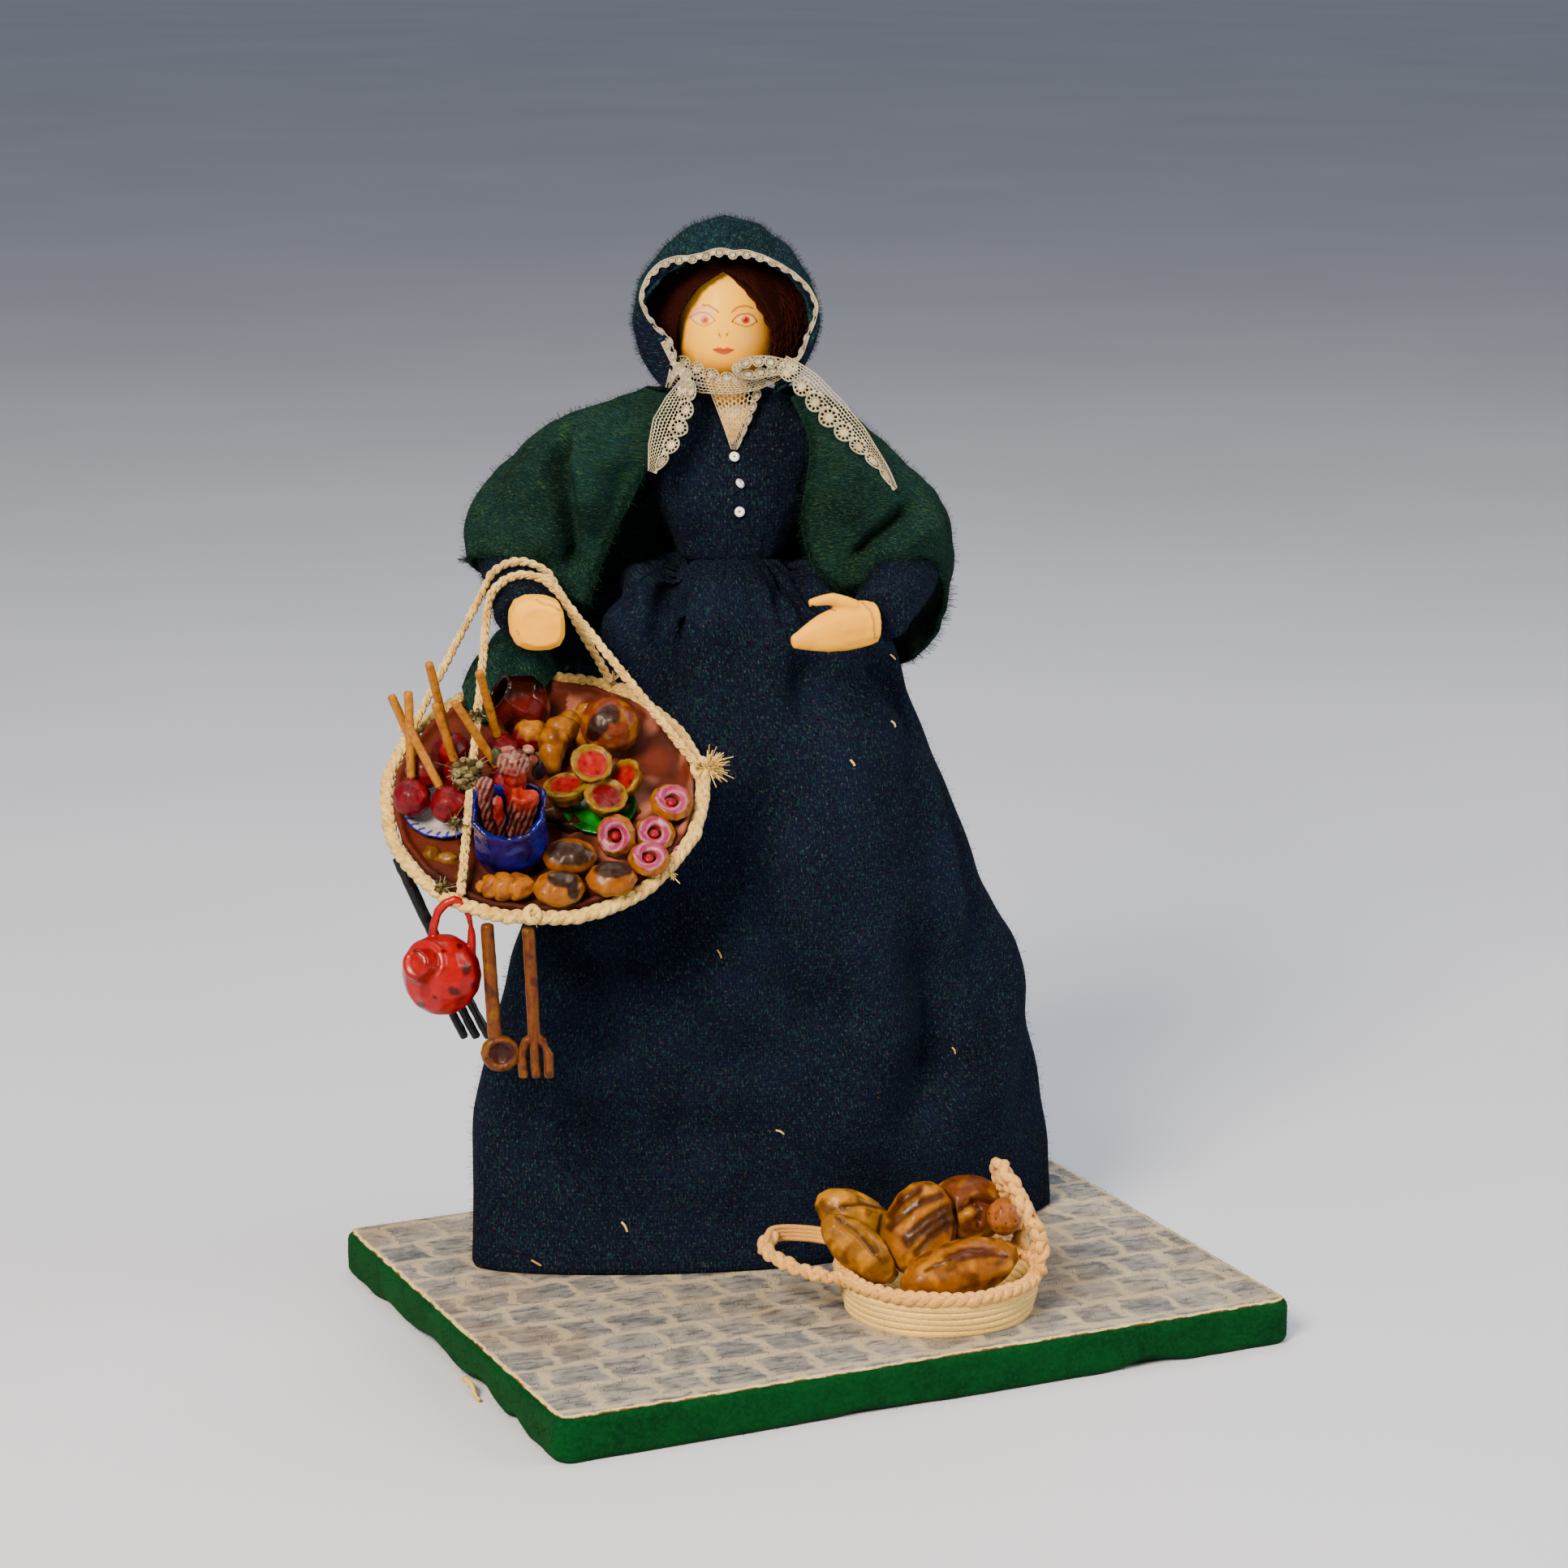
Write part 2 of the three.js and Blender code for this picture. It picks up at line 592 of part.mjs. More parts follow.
// Toffee apples: the place of each on the tray, and of its stick's tip.
const APPLE = { radius: 4.9, stick: 0.9 };
const APPLES = [
  [[-34.1, -8, 10.6], [-34.9, 12, 30]],
  [[-24.2, -10.4, 10.6], [-34.8, 4.5, 25]],
  [[-31.4, 1.6, 10.6], [-39.4, 11.5, 29]],
  [[-22.2, 1.8, 7.8], [-28, 10.5, 27]],
  [[-25, 11.2, 7.7], [-29.6, 18.6, 34]],
  [[-11.5, 10.6, 7.7], [-16.4, 17.4, 32]],
  [[-3.8, 16.6, 7.7], [-6.2, 19.5, 15]],
  [[-9.6, 0, 8.2], [-22.4, 6.8, 32]],
];

function toffeeApple([place, tip]) {
  const [center, end] = points([place, tip]);
  const way = end.clone().sub(center).normalize();
  const from = center.clone().addScaledVector(way, APPLE.radius - 2);
  const stick = limb([from.toArray(), tip], [[APPLE.stick, APPLE.stick], [APPLE.stick, APPLE.stick]], 6, 1);
  return join(ball(APPLE.radius, APPLE.radius, APPLE.radius * 0.94, place, 9, 6), stick);
}

const JUG = { x: -8.5, y: -20.3, foot: 7.6, belly: 9, mouth: 9.4, high: 18, wall: 1.2 };

// The jug's mouth is pinched into four points. A smaller hull from a higher foot is its inside.
function jugHull(inset, foot) {
  const { x, y, belly, mouth, high } = JUG;
  const levels = [[foot, JUG.foot], [high * 0.35, belly], [high * 0.75, belly * 0.95], [high, mouth]];
  const rings = levels.map(([z, radius]) => {
    const share = z / high;
    const over = z === high && inset ? inset : 0;
    const ring = [];
    for (let j = 0; j < 12; j++) {
      const a = (2 * Math.PI * j) / 12;
      const corner = Math.cos(4 * a - Math.PI);
      const reach = (radius - inset) * (1 + 0.1 * share * corner);
      const lift = z === high ? 1.4 * corner + over : 0;
      ring.push(point(x + reach * Math.cos(a), y + reach * Math.sin(a), z + lift));
    }
    return ring;
  });
  return loft(rings);
}

function jug() {
  return cut(jugHull(0, 0), jugHull(JUG.wall, JUG.wall)).translate(0, 0, TRAY.thick + GAP);
}

// Barley sugar, a candy stick and sugar roses, stuck together in a bunch in the jug.
function jugSweets() {
  const { x, y } = JUG;
  const foot = TRAY.thick + GAP + JUG.wall + GAP;
  const sticks = [
    [[x - 4, y - 1, foot], [x - 5, y + 1.5, 27], [2.3, 2.3]],
    [[x - 0.5, y - 3, foot], [x - 2, y - 3, 26], [1.5, 1.5]],
    [[x + 3.4, y - 1, foot], [x + 4.2, y - 0.5, 25], [3.6, 2.2]],
    [[x + 1.5, y + 3.4, foot], [x + 1.8, y + 4, 29], [3, 3]],
  ];
  const stem = ([from, to, [wide, deep]]) => limb([from, to], [[wide * 0.6, deep * 0.6], [wide, deep]], 7, 1);
  const stems = sticks.map(stem);
  const roses = ball(4.2, 3.6, 3.2, [x + 1.6, y + 4.2, 30.5], 8, 5);
  const core = ball(5.2, 4.6, 3, [x, y, foot + 4], 7, 4);
  return join(...stems, roses, core);
}

// Tarts and buns: place on the tray, tilt about X and Y in degrees.
function laid(shape, [x, y, z], tiltX = 0, tiltY = 0) {
  return shape.rotateX(radians(tiltX)).rotateY(radians(tiltY)).translate(x, y, z);
}

function tart() {
  return turned([[0, -2], [3.7, -2], [5.1, 1.6], [4.4, 2], [3.6, 1.3], [0, 1.3]], 12);
}

function icedRing() {
  return closed(new THREE.TorusGeometry(3.3, 1.85, 5, 10));
}

const TARTS = [
  [[5.8, -2.4, 8.6], -18, -8],
  [[22.8, -0.6, 8.6], 10, -34],
  [[14.6, -9.6, 8.2], 2, 8],
  [[13, 0.4, 13.6], 14, 8],
];
const RINGS = [
  [[19.2, -18.8, 6.4], 38, -26],
  [[29.2, -15.6, 5], 12, 4],
  [[33.8, -6.6, 6.2], 8, 8],
  [[27.6, -25.4, 6.6], 6, 4],
];
const CHOCOLATE_BUNS = [
  [6, -25.2, 7.2, 6.3, 4.7],
  [4.8, -34, 6.2, 6, 4.7],
  [17.2, -30.8, 6.9, 6, 4.8],
];

// A crescent roll stands on its two horns, with a plain roll leaning on it.
function crescentRolls() {
  const crescent = [[2, 6, 4.4], [3.2, 13.4, 9.4], [8, 18.6, 9.6]];
  const roll = [[10.2, 14.5, 6], [11.6, 22.4, 10.5]];
  return join(
    limb(crescent, [[1.5, 1.5], [3.4, 3.2], [2.4, 2.4]], 8, 5),
    limb(roll, [[1.4, 1.4], [3, 2.9], [1.8, 1.8]], 8, 3),
  );
}

// A round brown pot lies over on its side, its mouth towards her right.
function brownPot() {
  const outside = [[0, 0], [4, 0], [7, 3.6], [7.4, 7.4], [5.6, 10.8], [4.6, 12.4], [5, 13.4]];
  const inside = [[4, 13.4], [3.6, 12.2], [4.4, 10.4], [6.2, 7.2], [5.8, 4.2], [3.4, 1.6], [0, 1.4]];
  const pot = turned([...outside, ...inside], 11).translate(0, 0, -7);
  return pot.rotateY(radians(-52)).translate(-4.2, 25.6, TRAY.thick + 8.4);
}

function trayGoods() {
  const goods = [
    ["apple_plate", saucer(11.6, -26, -5), "china"],
    ["tart_plate", saucer(10.2, 15, -5), "greenGlaze"],
    ["jug", jug(), "blueGlaze"],
    ["jug_sweets", jugSweets(), "sugar"],
    ...APPLES.map((apple, i) => [`toffee_apple_${i + 1}`, toffeeApple(apple), "toffee"]),
    ...TARTS.map((place, i) => [`jam_tart_${i + 1}`, laid(tart(), ...place), "jam"]),
    ...RINGS.map((place, i) => [`iced_ring_${i + 1}`, laid(icedRing(), ...place), "sugar"]),
    ...CHOCOLATE_BUNS.map(([x, y, z, wide, deep], i) => [
      `chocolate_bun_${i + 1}`,
      ball(wide, deep, 3.5, [x, y, z], 10, 6),
      "chocolate",
    ]),
    ["pastry_roll", ball(8, 3.2, 2.8, [-8.6, -33.6, 5.3], 10, 6), "pastry"],
    ["glazed_bun", ball(7.2, 6.8, 6.4, [20.6, 16, 9.6], 10, 6), "crust"],
    ["crescent_rolls", crescentRolls(), "pastry"],
    ["brown_pot", brownPot(), "brownGlaze"],
  ];
  const placed = settle(goods.map(([name, shape, finish]) => ({ name, shape, finish })));
  return placed.map(({ name, shape, finish }) => piece(name, shape, finish));
}

function tray() {
  const group = new THREE.Group();
  group.add(piece("tray", trayDish(), "trayClay"), piece("tray_rim_cord", rimCord(), "jute"), ...trayGoods());
  group.position.set(TRAY.x, TRAY.y, TRAY.z);
  group.rotation.x = radians(TRAY.tilt);
  return group;
}

// A spoon hangs by its handle with its bowl facing forward.
function woodenSpoon(x, y, top) {
  const handle = limb([[x, y, top], [x + 1.6, y - 0.3, top - 30]], [[1.3, 1.3], [1.5, 1.4]], 8, 3);
  const bowl = ball(4.9, 2.2, 4.6, [x + 3, y - 0.6, top - 34.5], 10, 6);
  const hollow = ball(3.9, 2, 3.6, [x + 3, y - 2.4, top - 34.3], 9, 5);
  return cut(join(handle, bowl), hollow);
}

// A fork: a handle, a cross bar with round shoulders, and its prongs.
function prongedFork(x, y, top, { long, handle, prongs, spread, lean, crown }) {
  const foot = top - long;
  const parts = [limb([[x, y, top], [x + lean * 0.72, y, foot + prongs]], [handle, handle], 8, 2)];
  const hip = [x + lean * 0.72, y, foot + prongs];
  for (const side of [-1, 0, 1]) {
    const tip = [hip[0] + lean * 0.28 + side * spread, y, foot];
    const shoulder = [hip[0] + side * spread * crown, y, foot + prongs * 0.78];
    parts.push(limb([hip, shoulder, tip], [PRONG, PRONG], 6, 3));
  }
  return join(...parts);
}

const PRONG = [0.95, 0.9];
const WOOD_FORK = { long: 40, handle: [1.3, 1.2], prongs: 11, spread: 3.3, lean: 1.6, crown: 0.95 };
const IRON_FORK = { long: 49, handle: [1.4, 1.3], prongs: 16, spread: 3.2, lean: 20, crown: 0.8 };

// The kettle is a round bead with a short wide spout and a bail of bent wire.
function kettle(x, y, z) {
  const body = ball(9.8, 9.6, 9.4, [x, y, z], 12, 8);
  const nose = [[x - 3.6, y - 6.5, z + 3.6], [x - 5.6, y - 11, z + 5.2]];
  const spout = limb(nose, [[4.2, 4.2], [3.2, 3.2]], 9, 1);
  const bend = [[-2.4, 7], [-0.8, 15], [3.4, 18], [7, 15], [7.6, 4]];
  const bail = bend.map(([side, up]) => [x + side, y, z + up]);
  return join(body, spout, limb(bail, [[1, 1], [1, 1]], 5, 8));
}

function hangingThings() {
  const rimTop = (x, y) => fromTray(x, y, TRAY.lip / 2)[2];
  return [
    piece("wooden_spoon", woodenSpoon(-61.4, -88.6, rimTop(-13.4, -41) - 2.6), "carvedWood"),
    piece("wooden_fork", prongedFork(-50.6, -88.8, rimTop(-2.6, -43) - 2.4, WOOD_FORK), "carvedWood"),
    piece("iron_fork", prongedFork(-86, -69.8, rimTop(-38, -19) - 2.4, IRON_FORK), "blackIron"),
    piece("red_kettle", kettle(-73.6, -86, 110.5), "redEnamel"),
  ];
}

function doll() {
  const group = new THREE.Group();
  const headShape = head();
  const shawlShape = shawl();
  const [bodice, chemisette] = dressTop();
  const arms = [sleeve(ARMS.right, 7.9), sleeve(ARMS.left, 8.8)];
  const hands = [rightHand(), leftHand()];
  const sleeves = arms.map((arm) => cut(arm, grown(bodice.geometry)));
  const draped = cut(shawlShape, ...sleeves.map((arm) => grown(arm)), grown(bodice.geometry));
  const bonnetShape = bonnet();
  const skirtShape = cut(skirt(), grown(draped));
  const tails = [
    ["lace_tail_right", ribbon(TAIL_RIGHT_ARM, [5, 8.6, 5], LACE_CLOTH, 8)],
    ["lace_tail_left", ribbon(TAIL_LEFT_ARM, [6, 8.4, 7.4, 1.6], LACE_CLOTH, 10)],
  ];
  group.add(
    piece("skirt", skirtShape, "dressTweed"),
    bodice,
    chemisette,
    piece("sleeve_right", sleeves[0], "dressTweed"),
    piece("sleeve_left", sleeves[1], "dressTweed"),
    piece("hand_right", cut(hands[0], grown(sleeves[0])), "paintedWood"),
    piece("hand_left", cut(hands[1], grown(sleeves[1])), "paintedWood"),
    piece("head", headShape, "paintedWood"),
    piece("hair", hair(headShape), "hairWool"),
    piece("bonnet", bonnetShape, "dressTweed"),
    piece("shawl", draped, "shawlTweed"),
    piece("bonnet_lace", bonnetLace(), "lace"),
    piece("lace_chin_band", ribbon(CHIN_BAND, [5.4, 5.6, 5.4], LACE_CLOTH, 10), "lace"),
    ...tails.map(([name, shape]) => piece(name, cut(shape, grown(draped)), "lace")),
    piece("sling_front", cord(FRONT_SLING, SLING.radius, SLING.sides, 24), "jute"),
    piece("sling_back", cord(BACK_SLING, SLING.radius, SLING.sides, 20), "jute"),
    tray(),
    ...hangingThings(),
  );
  group.position.set(DOLL.x, DOLL.y, 0);
  group.rotation.z = radians(DOLL.turn);
  return group;
}

// A round coiled basket with a braided rim, one handle folded out flat and the other standing up.
function basketShape() {
  const { foot, rim, high, wall, braid } = BASKET;
  const profile = [[0, 0], [foot, 0], [rim, high], [rim - wall, high], [foot - wall, wall], [0, wall]];
  const bowl = turned(profile, 18);
  const edge = closed(new THREE.TorusGeometry(rim - wall / 2, braid, 4, 18).translate(0, 0, high));
  const folded = [[-24, 11], [-36, 12, 5], [-46, 6, 7.5], [-47, -3, 6.5], [-37, -10, 3.5], [-24.5, -10]];
  const upright = [[26, -5], [27, -6, 9], [22, -5, 20], [17, 2, 27], [17, 8, 22], [22, 13, 9], [23, 12]];
  const handle = (route, radius) => {
    const placed = route.map(([x, y, z = 0]) => [x, y, high + z]);
    return limb(placed, [[radius, radius], [radius, radius]], 6, 11);
  };
  return join(bowl, edge, handle(folded, 1.8), handle(upright, 2.1));
}

function loaf(rx, ry, rz, place, [turnX, turnY, turnZ]) {
  const shape = ball(rx, ry, rz, [0, 0, 0], 10, 7);
  shape.rotateX(radians(turnX)).rotateY(radians(turnY)).rotateZ(radians(turnZ));
  return shape.translate(...place);
}

function basketOfBread() {
  const group = new THREE.Group();
  const things = [
    { name: "basket", shape: basketShape(), finish: "cane" },
    { name: "loaf_slashed", shape: loaf(9.4, 7.6, 12.4, [-4.4, 2, 19.6], [-22, 12, 0]), finish: "crust" },
    { name: "loaf_front", shape: loaf(13.6, 7.4, 6.2, [6.5, -10.5, 11.8], [0, -14, 8]), finish: "crust" },
    { name: "loaf_left_low", shape: loaf(12.5, 6, 6, [-17, -4, 15.4], [0, 42, 0]), finish: "crust" },
    { name: "loaf_left_high", shape: loaf(12.5, 6.6, 6, [-18.5, 9, 20.6], [0, 22, 0]), finish: "crust" },
    { name: "loaf_back", shape: loaf(10.5, 8.5, 8.6, [7.5, 10.5, 21.6], [0, 0, 0]), finish: "crust" },
    { name: "seeded_bun", shape: loaf(5.6, 5.6, 6, [17.6, 2.4, 22.8], [0, 0, 0]), finish: "crust" },
  ];
  for (const { name, shape, finish } of settle(things)) group.add(piece(name, shape, finish));
  group.position.set(BASKET.x, BASKET.y, FLOOR);
  group.rotation.z = radians(DOLL.turn);
  return group;
}

const costumeDoll = new THREE.Group();
costumeDoll.add(...board(), doll(), basketOfBread());

export default costumeDoll;
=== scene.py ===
# %% [markdown]
# # A pedlar costume doll
#
# A wooden lady twelve inches tall stands on a felt-edged board. Her dress, shawl and bonnet are brushed
# tweed, her lace is cotton, and the sweets on her tray and the loaves in her basket are painted clay.
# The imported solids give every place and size. This lesson builds the fine surface over them, one piece and
# one finish at a time.

# %% Load the solids
import math

import bmesh
import bpy
import numpy as np
from mathutils import Matrix, Vector, noise
from mathutils.bvhtree import BVHTree


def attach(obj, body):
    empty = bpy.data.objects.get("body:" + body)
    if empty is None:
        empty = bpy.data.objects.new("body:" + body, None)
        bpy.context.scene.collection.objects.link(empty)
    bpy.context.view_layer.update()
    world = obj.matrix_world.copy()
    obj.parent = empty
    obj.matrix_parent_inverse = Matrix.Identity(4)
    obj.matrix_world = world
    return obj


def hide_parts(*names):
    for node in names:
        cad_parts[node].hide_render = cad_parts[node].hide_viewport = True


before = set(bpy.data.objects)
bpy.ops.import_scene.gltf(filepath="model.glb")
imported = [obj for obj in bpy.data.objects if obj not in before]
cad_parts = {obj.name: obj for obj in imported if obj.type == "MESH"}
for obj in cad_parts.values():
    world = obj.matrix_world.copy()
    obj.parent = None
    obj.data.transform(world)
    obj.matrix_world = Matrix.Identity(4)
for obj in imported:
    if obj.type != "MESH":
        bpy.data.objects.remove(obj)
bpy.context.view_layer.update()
MM = 0.001

# %% [markdown]
# ## Two working frames
#
# The doll and her basket are turned on the board, and the tray leans forward again within the doll's frame.
# A modeller thinks of the doll with her front towards -Y, so the pieces are drawn there in millimetres, and
# one function carries them to the board's frame in metres.

# %% Places of the doll and the tray
DOLL_PLACE = (-8.0, 36.0)
DOLL_TURN = math.radians(-24.7)
TRAY_PLACE = (-48.0, -55.0, 151.0)
TRAY_TILT = math.radians(36.5)
BOARD_TOP = 12.5
BASKET_PLACE = (17.6, -46.9, BOARD_TOP)


def turned(points, angle, axis):
    """Points turned about one axis, as rows of a numpy array."""
    c, s = math.cos(angle), math.sin(angle)
    matrix = {"x": ((1, 0, 0), (0, c, -s), (0, s, c)), "z": ((c, -s, 0), (s, c, 0), (0, 0, 1))}[axis]
    return np.asarray(points, float).reshape(-1, 3) @ np.array(matrix).T


def from_doll(points):
    return (turned(points, DOLL_TURN, "z") + (*DOLL_PLACE, 0)) * MM


def tray_to_doll(points):
    return turned(points, TRAY_TILT, "x") + TRAY_PLACE


def from_tray(points):
    return from_doll(tray_to_doll(points))


def from_basket(points):
    return (turned(points, DOLL_TURN, "z") + BASKET_PLACE) * MM


def to_doll(points):
    """Board metres back to doll millimetres."""
    return turned(np.asarray(points, float).reshape(-1, 3) / MM - (*DOLL_PLACE, 0), -DOLL_TURN, "z")


def to_tray(points):
    return turned(to_doll(points) - TRAY_PLACE, -TRAY_TILT, "x")


def to_basket(points):
    return turned(np.asarray(points, float).reshape(-1, 3) / MM - BASKET_PLACE, -DOLL_TURN, "z")


print("front of the doll looks along", np.round(from_doll([(0, -1, 0)]) - from_doll([(0, 0, 0)]), 5).tolist())

# %% [markdown]
# ## The camera
#
# The lens was long and a little above the doll, looking down by about thirteen degrees. The camera stands
# where the board's four corners and the top of the bonnet fall on the same spots as in the photograph.

# %% The photographer's place
CAMERA_PLACE = Vector((-481.83, -1032.67, 410.34)) * MM
CAMERA_AZIMUTH, CAMERA_ELEVATION = math.radians(-24.69), math.radians(12.88)
FOCAL_PIXELS, FRAME_PIXELS, SENSOR_MM = 5287.31, 1932, 36

camera = bpy.data.objects.new("camera", bpy.data.cameras.new("camera"))
bpy.context.scene.collection.objects.link(camera)
backwards = Vector(
    (
        math.sin(CAMERA_AZIMUTH) * math.cos(CAMERA_ELEVATION),
        -math.cos(CAMERA_AZIMUTH) * math.cos(CAMERA_ELEVATION),
        math.sin(CAMERA_ELEVATION),
    )
)
camera.location = CAMERA_PLACE
camera.rotation_mode = "QUATERNION"
camera.rotation_quaternion = (-backwards).to_track_quat("-Z", "Y")
camera.data.sensor_width = SENSOR_MM
camera.data.lens = FOCAL_PIXELS / FRAME_PIXELS * SENSOR_MM
camera.data.dof.use_dof = False
bpy.context.scene.camera = camera
print("lens:", round(camera.data.lens, 1), "mm")

# %% [markdown]
# ## Node helpers
#
# A material is a small graph. One function adds a node, sets its fields, and plugs numbers, colours or other
# nodes' outputs into its sockets, so each recipe below reads as a list of layers. Colours are written as a
# painter's hex values and turned to linear light once.

# %% Colour and node helpers
def linear(hex_colour):
    """An sRGB hex colour as linear RGBA."""
    parts = [int(hex_colour[i : i + 2], 16) / 255 for i in (1, 3, 5)]
    return tuple(c / 12.92 if c <= 0.04045 else ((c + 0.055) / 1.055) ** 2.4 for c in parts) + (1.0,)


def add(tree, kind, settings=None, **inputs):
    """Adds a node: settings are its fields, inputs its sockets by name (space as _) or place (_0, _1)."""
    node = tree.nodes.new(kind)
    for field, value in (settings or {}).items():
        setattr(node, field, value)
    for name, value in inputs.items():
        place = name[1:]
        socket = node.inputs[int(place)] if place.isdigit() else node.inputs[name.replace("_", " ")]
        if isinstance(value, bpy.types.NodeSocket):
            tree.links.new(value, socket)
        elif isinstance(value, str) and value.startswith("#"):
            socket.default_value = linear(value)
        else:
            socket.default_value = value
    return node


def ramp(tree, factor, *stops):
    """A colour ramp through (place, colour) stops; a colour is a hex value or a grey number."""
    node = add(tree, "ShaderNodeValToRGB", _0=factor)
    elements = node.color_ramp.elements
    for i, (place, colour) in enumerate(stops):
        element = elements[i] if i < 2 else elements.new(place)
        element.position = place
        element.color = linear(colour) if isinstance(colour, str) else (colour, colour, colour, 1)
    return node.outputs["Color"]


def mix(tree, factor, a, b, blend="MIX"):
    """Mixes two colours by a factor."""
    settings = {"data_type": "RGBA", "blend_type": blend}
    return add(tree, "ShaderNodeMix", settings, _0=factor, _6=a, _7=b).outputs[2]


def sums(tree, operation, a, b=0.0, c=0.0):
    """One step of arithmetic on numbers."""
    return add(tree, "ShaderNodeMath", {"operation": operation}, _0=a, _1=b, _2=c).outputs[0]


MATERIALS = {}


def new_material(name):
    """An empty material with its surface shader, kept by name; returns its tree and the shader."""
    material = bpy.data.materials.new(name)
    material.use_nodes = True
    tree = material.node_tree
    tree.nodes.clear()
    shader = add(tree, "ShaderNodeBsdfPrincipled")
    output = add(tree, "ShaderNodeOutputMaterial", Surface=shader.outputs[0])
    output.is_active_output = True
    MATERIALS[name] = material
    return tree, shader


def set_shader(shader, **values):
    """Fixed values straight on the shader's own sockets."""
    for name, value in values.items():
        fixed = linear(value) if isinstance(value, str) else value
        shader.inputs[name.replace("_", " ")].default_value = fixed


def bump(tree, height, distance_mm):
    """A bump whose height of 1 stands that many millimetres proud."""
    settings = {"Strength": 1.0, "Distance": distance_mm * MM, "Height": height}
    return add(tree, "ShaderNodeBump", **settings).outputs[0]


def surface(tree, shader, colour, height=None, distance_mm=0.0, **values):
    """The shader's colour, its relief where it has any, and its fixed values."""
    tree.links.new(colour, shader.inputs["Base Color"])
    set_shader(shader, **values)
    if height is not None:
        tree.links.new(bump(tree, height, distance_mm), shader.inputs["Normal"])


def object_place(tree):
    """Where a point lies in the object, in metres."""
    return add(tree, "ShaderNodeTexCoord").outputs["Object"]


def weave_place(tree):
    """Where a point lies on its unrolled cloth, cord or straw, in millimetres."""
    return add(tree, "ShaderNodeUVMap", {"uv_map": "weave"}).outputs[0]


def own_shade(tree):
    """A random number for each loose bit of a mesh."""
    return add(tree, "ShaderNodeNewGeometry").outputs["Random Per Island"]


def clouds(tree, place, size_mm, layers, **more):
    """Noise with patches about that size."""
    more["Scale"] = 1 / (size_mm * MM)
    return add(tree, "ShaderNodeTexNoise", Vector=place, Detail=layers, **more).outputs[0]


def waves(tree, along, length):
    """A sine wave along a number."""
    return sums(tree, "SINE", sums(tree, "MULTIPLY", along, 2 * math.pi / length))


def stain(tree, base, where, low, high, amount, colour):
    """Lays a colour over another where a noise is high."""
    return mix(tree, ramp(tree, where, (low, 0.0), (high, amount)), base, colour)


print("helpers ready")

# %% [markdown]
# ## Mesh helpers
#
# Three ways of making a surface cover almost everything here: a grid of points for cloth, a tube that
# follows a path for cord, sticks and braid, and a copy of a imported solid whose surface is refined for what
# was carved or pressed out of clay. Each mesh is built in place, so its object stays at the origin.

# %% Mesh helpers
def finish_piece(piece, material, slot, *stands_for):
    """Gives a piece its material and lets it ride on the doll's one body; slot is not used."""
    piece.data.materials.clear()
    piece.data.materials.append(MATERIALS[material])
    piece.data.polygons.foreach_set("use_smooth", [True] * len(piece.data.polygons))
    piece.data.update()
    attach(piece, "root")
    if stands_for:
        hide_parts(*stands_for)
    print(f"{piece.name}: {len(piece.data.polygons)} faces")
    return piece


def object_from(name, points, faces, uv=None):
    """A mesh object in metres; uv holds one (u, v) for each point."""
    mesh = bpy.data.meshes.new(name)
    mesh.from_pydata([tuple(p) for p in points], [], faces)
    if uv is not None:
        layer = mesh.uv_layers.new(name="weave")
        corners = np.zeros(len(mesh.loops), int)
        mesh.loops.foreach_get("vertex_index", corners)
        layer.data.foreach_set("uv", np.asarray(uv, np.float32)[corners].ravel())
    mesh.validate()
    return linked(name, mesh)


def grid_faces(rows, columns, loop_columns=False, loop_rows=False, start=0):
    """Four-sided faces over a grid of points, row by row, joined round where it loops."""
    faces = []
    for i in range(rows if loop_rows else rows - 1):
        for j in range(columns if loop_columns else columns - 1):
            a, b = i * columns + j, i * columns + (j + 1) % columns
            c = ((i + 1) % rows) * columns
            faces.append((start + a, start + b, start + c + (j + 1) % columns, start + c + j))
    return faces


def lengths_along(points):
    """How far along a path each of its points lies."""
    return np.concatenate([[0], np.cumsum(np.linalg.norm(np.diff(points, axis=0), axis=1))])


def read_at(places, along, rows):
    """Rows of numbers read off at places along a path."""
    return np.stack([np.interp(places, along, column) for column in rows.T], axis=1)


def full_turn(count):
    """Angles at even steps once round."""
    return np.linspace(0, 2 * math.pi, count, endpoint=False)


def circle(turns, radius, height=0.0):
    return np.stack([radius * np.cos(turns), radius * np.sin(turns), 0 * turns + height], 1)


def spline(points, count):
    """Points at even steps along a smooth curve through the given ones."""
    given = np.asarray(points, float)
    knots = np.concatenate([[0], np.cumsum(np.linalg.norm(np.diff(given, axis=0), axis=1) ** 0.5)])
    padded = np.vstack([2 * given[0] - given[1], given, 2 * given[-1] - given[-2]])
    ends = np.concatenate([[-knots[1]], knots, [2 * knots[-1] - knots[-2]]])
    fine = []
    for i in range(len(given) - 1):
        p, t = padded[i : i + 4], ends[i : i + 4]
        for at in np.linspace(t[1], t[2], 24, endpoint=False):
            a = [p[k] + (p[k + 1] - p[k]) * (at - t[k]) / (t[k + 1] - t[k]) for k in range(3)]
            b = [a[k] + (a[k + 1] - a[k]) * (at - t[k]) / (t[k + 2] - t[k]) for k in range(2)]
            fine.append(b[0] + (b[1] - b[0]) * (at - t[1]) / (t[2] - t[1]))
    fine = np.vstack([fine, given[-1]])
    along = lengths_along(fine)
    return read_at(np.linspace(0, along[-1], count), along, fine)


def length_of(points):
    return float(np.linalg.norm(np.diff(np.asarray(points, float), axis=0), axis=1).sum())


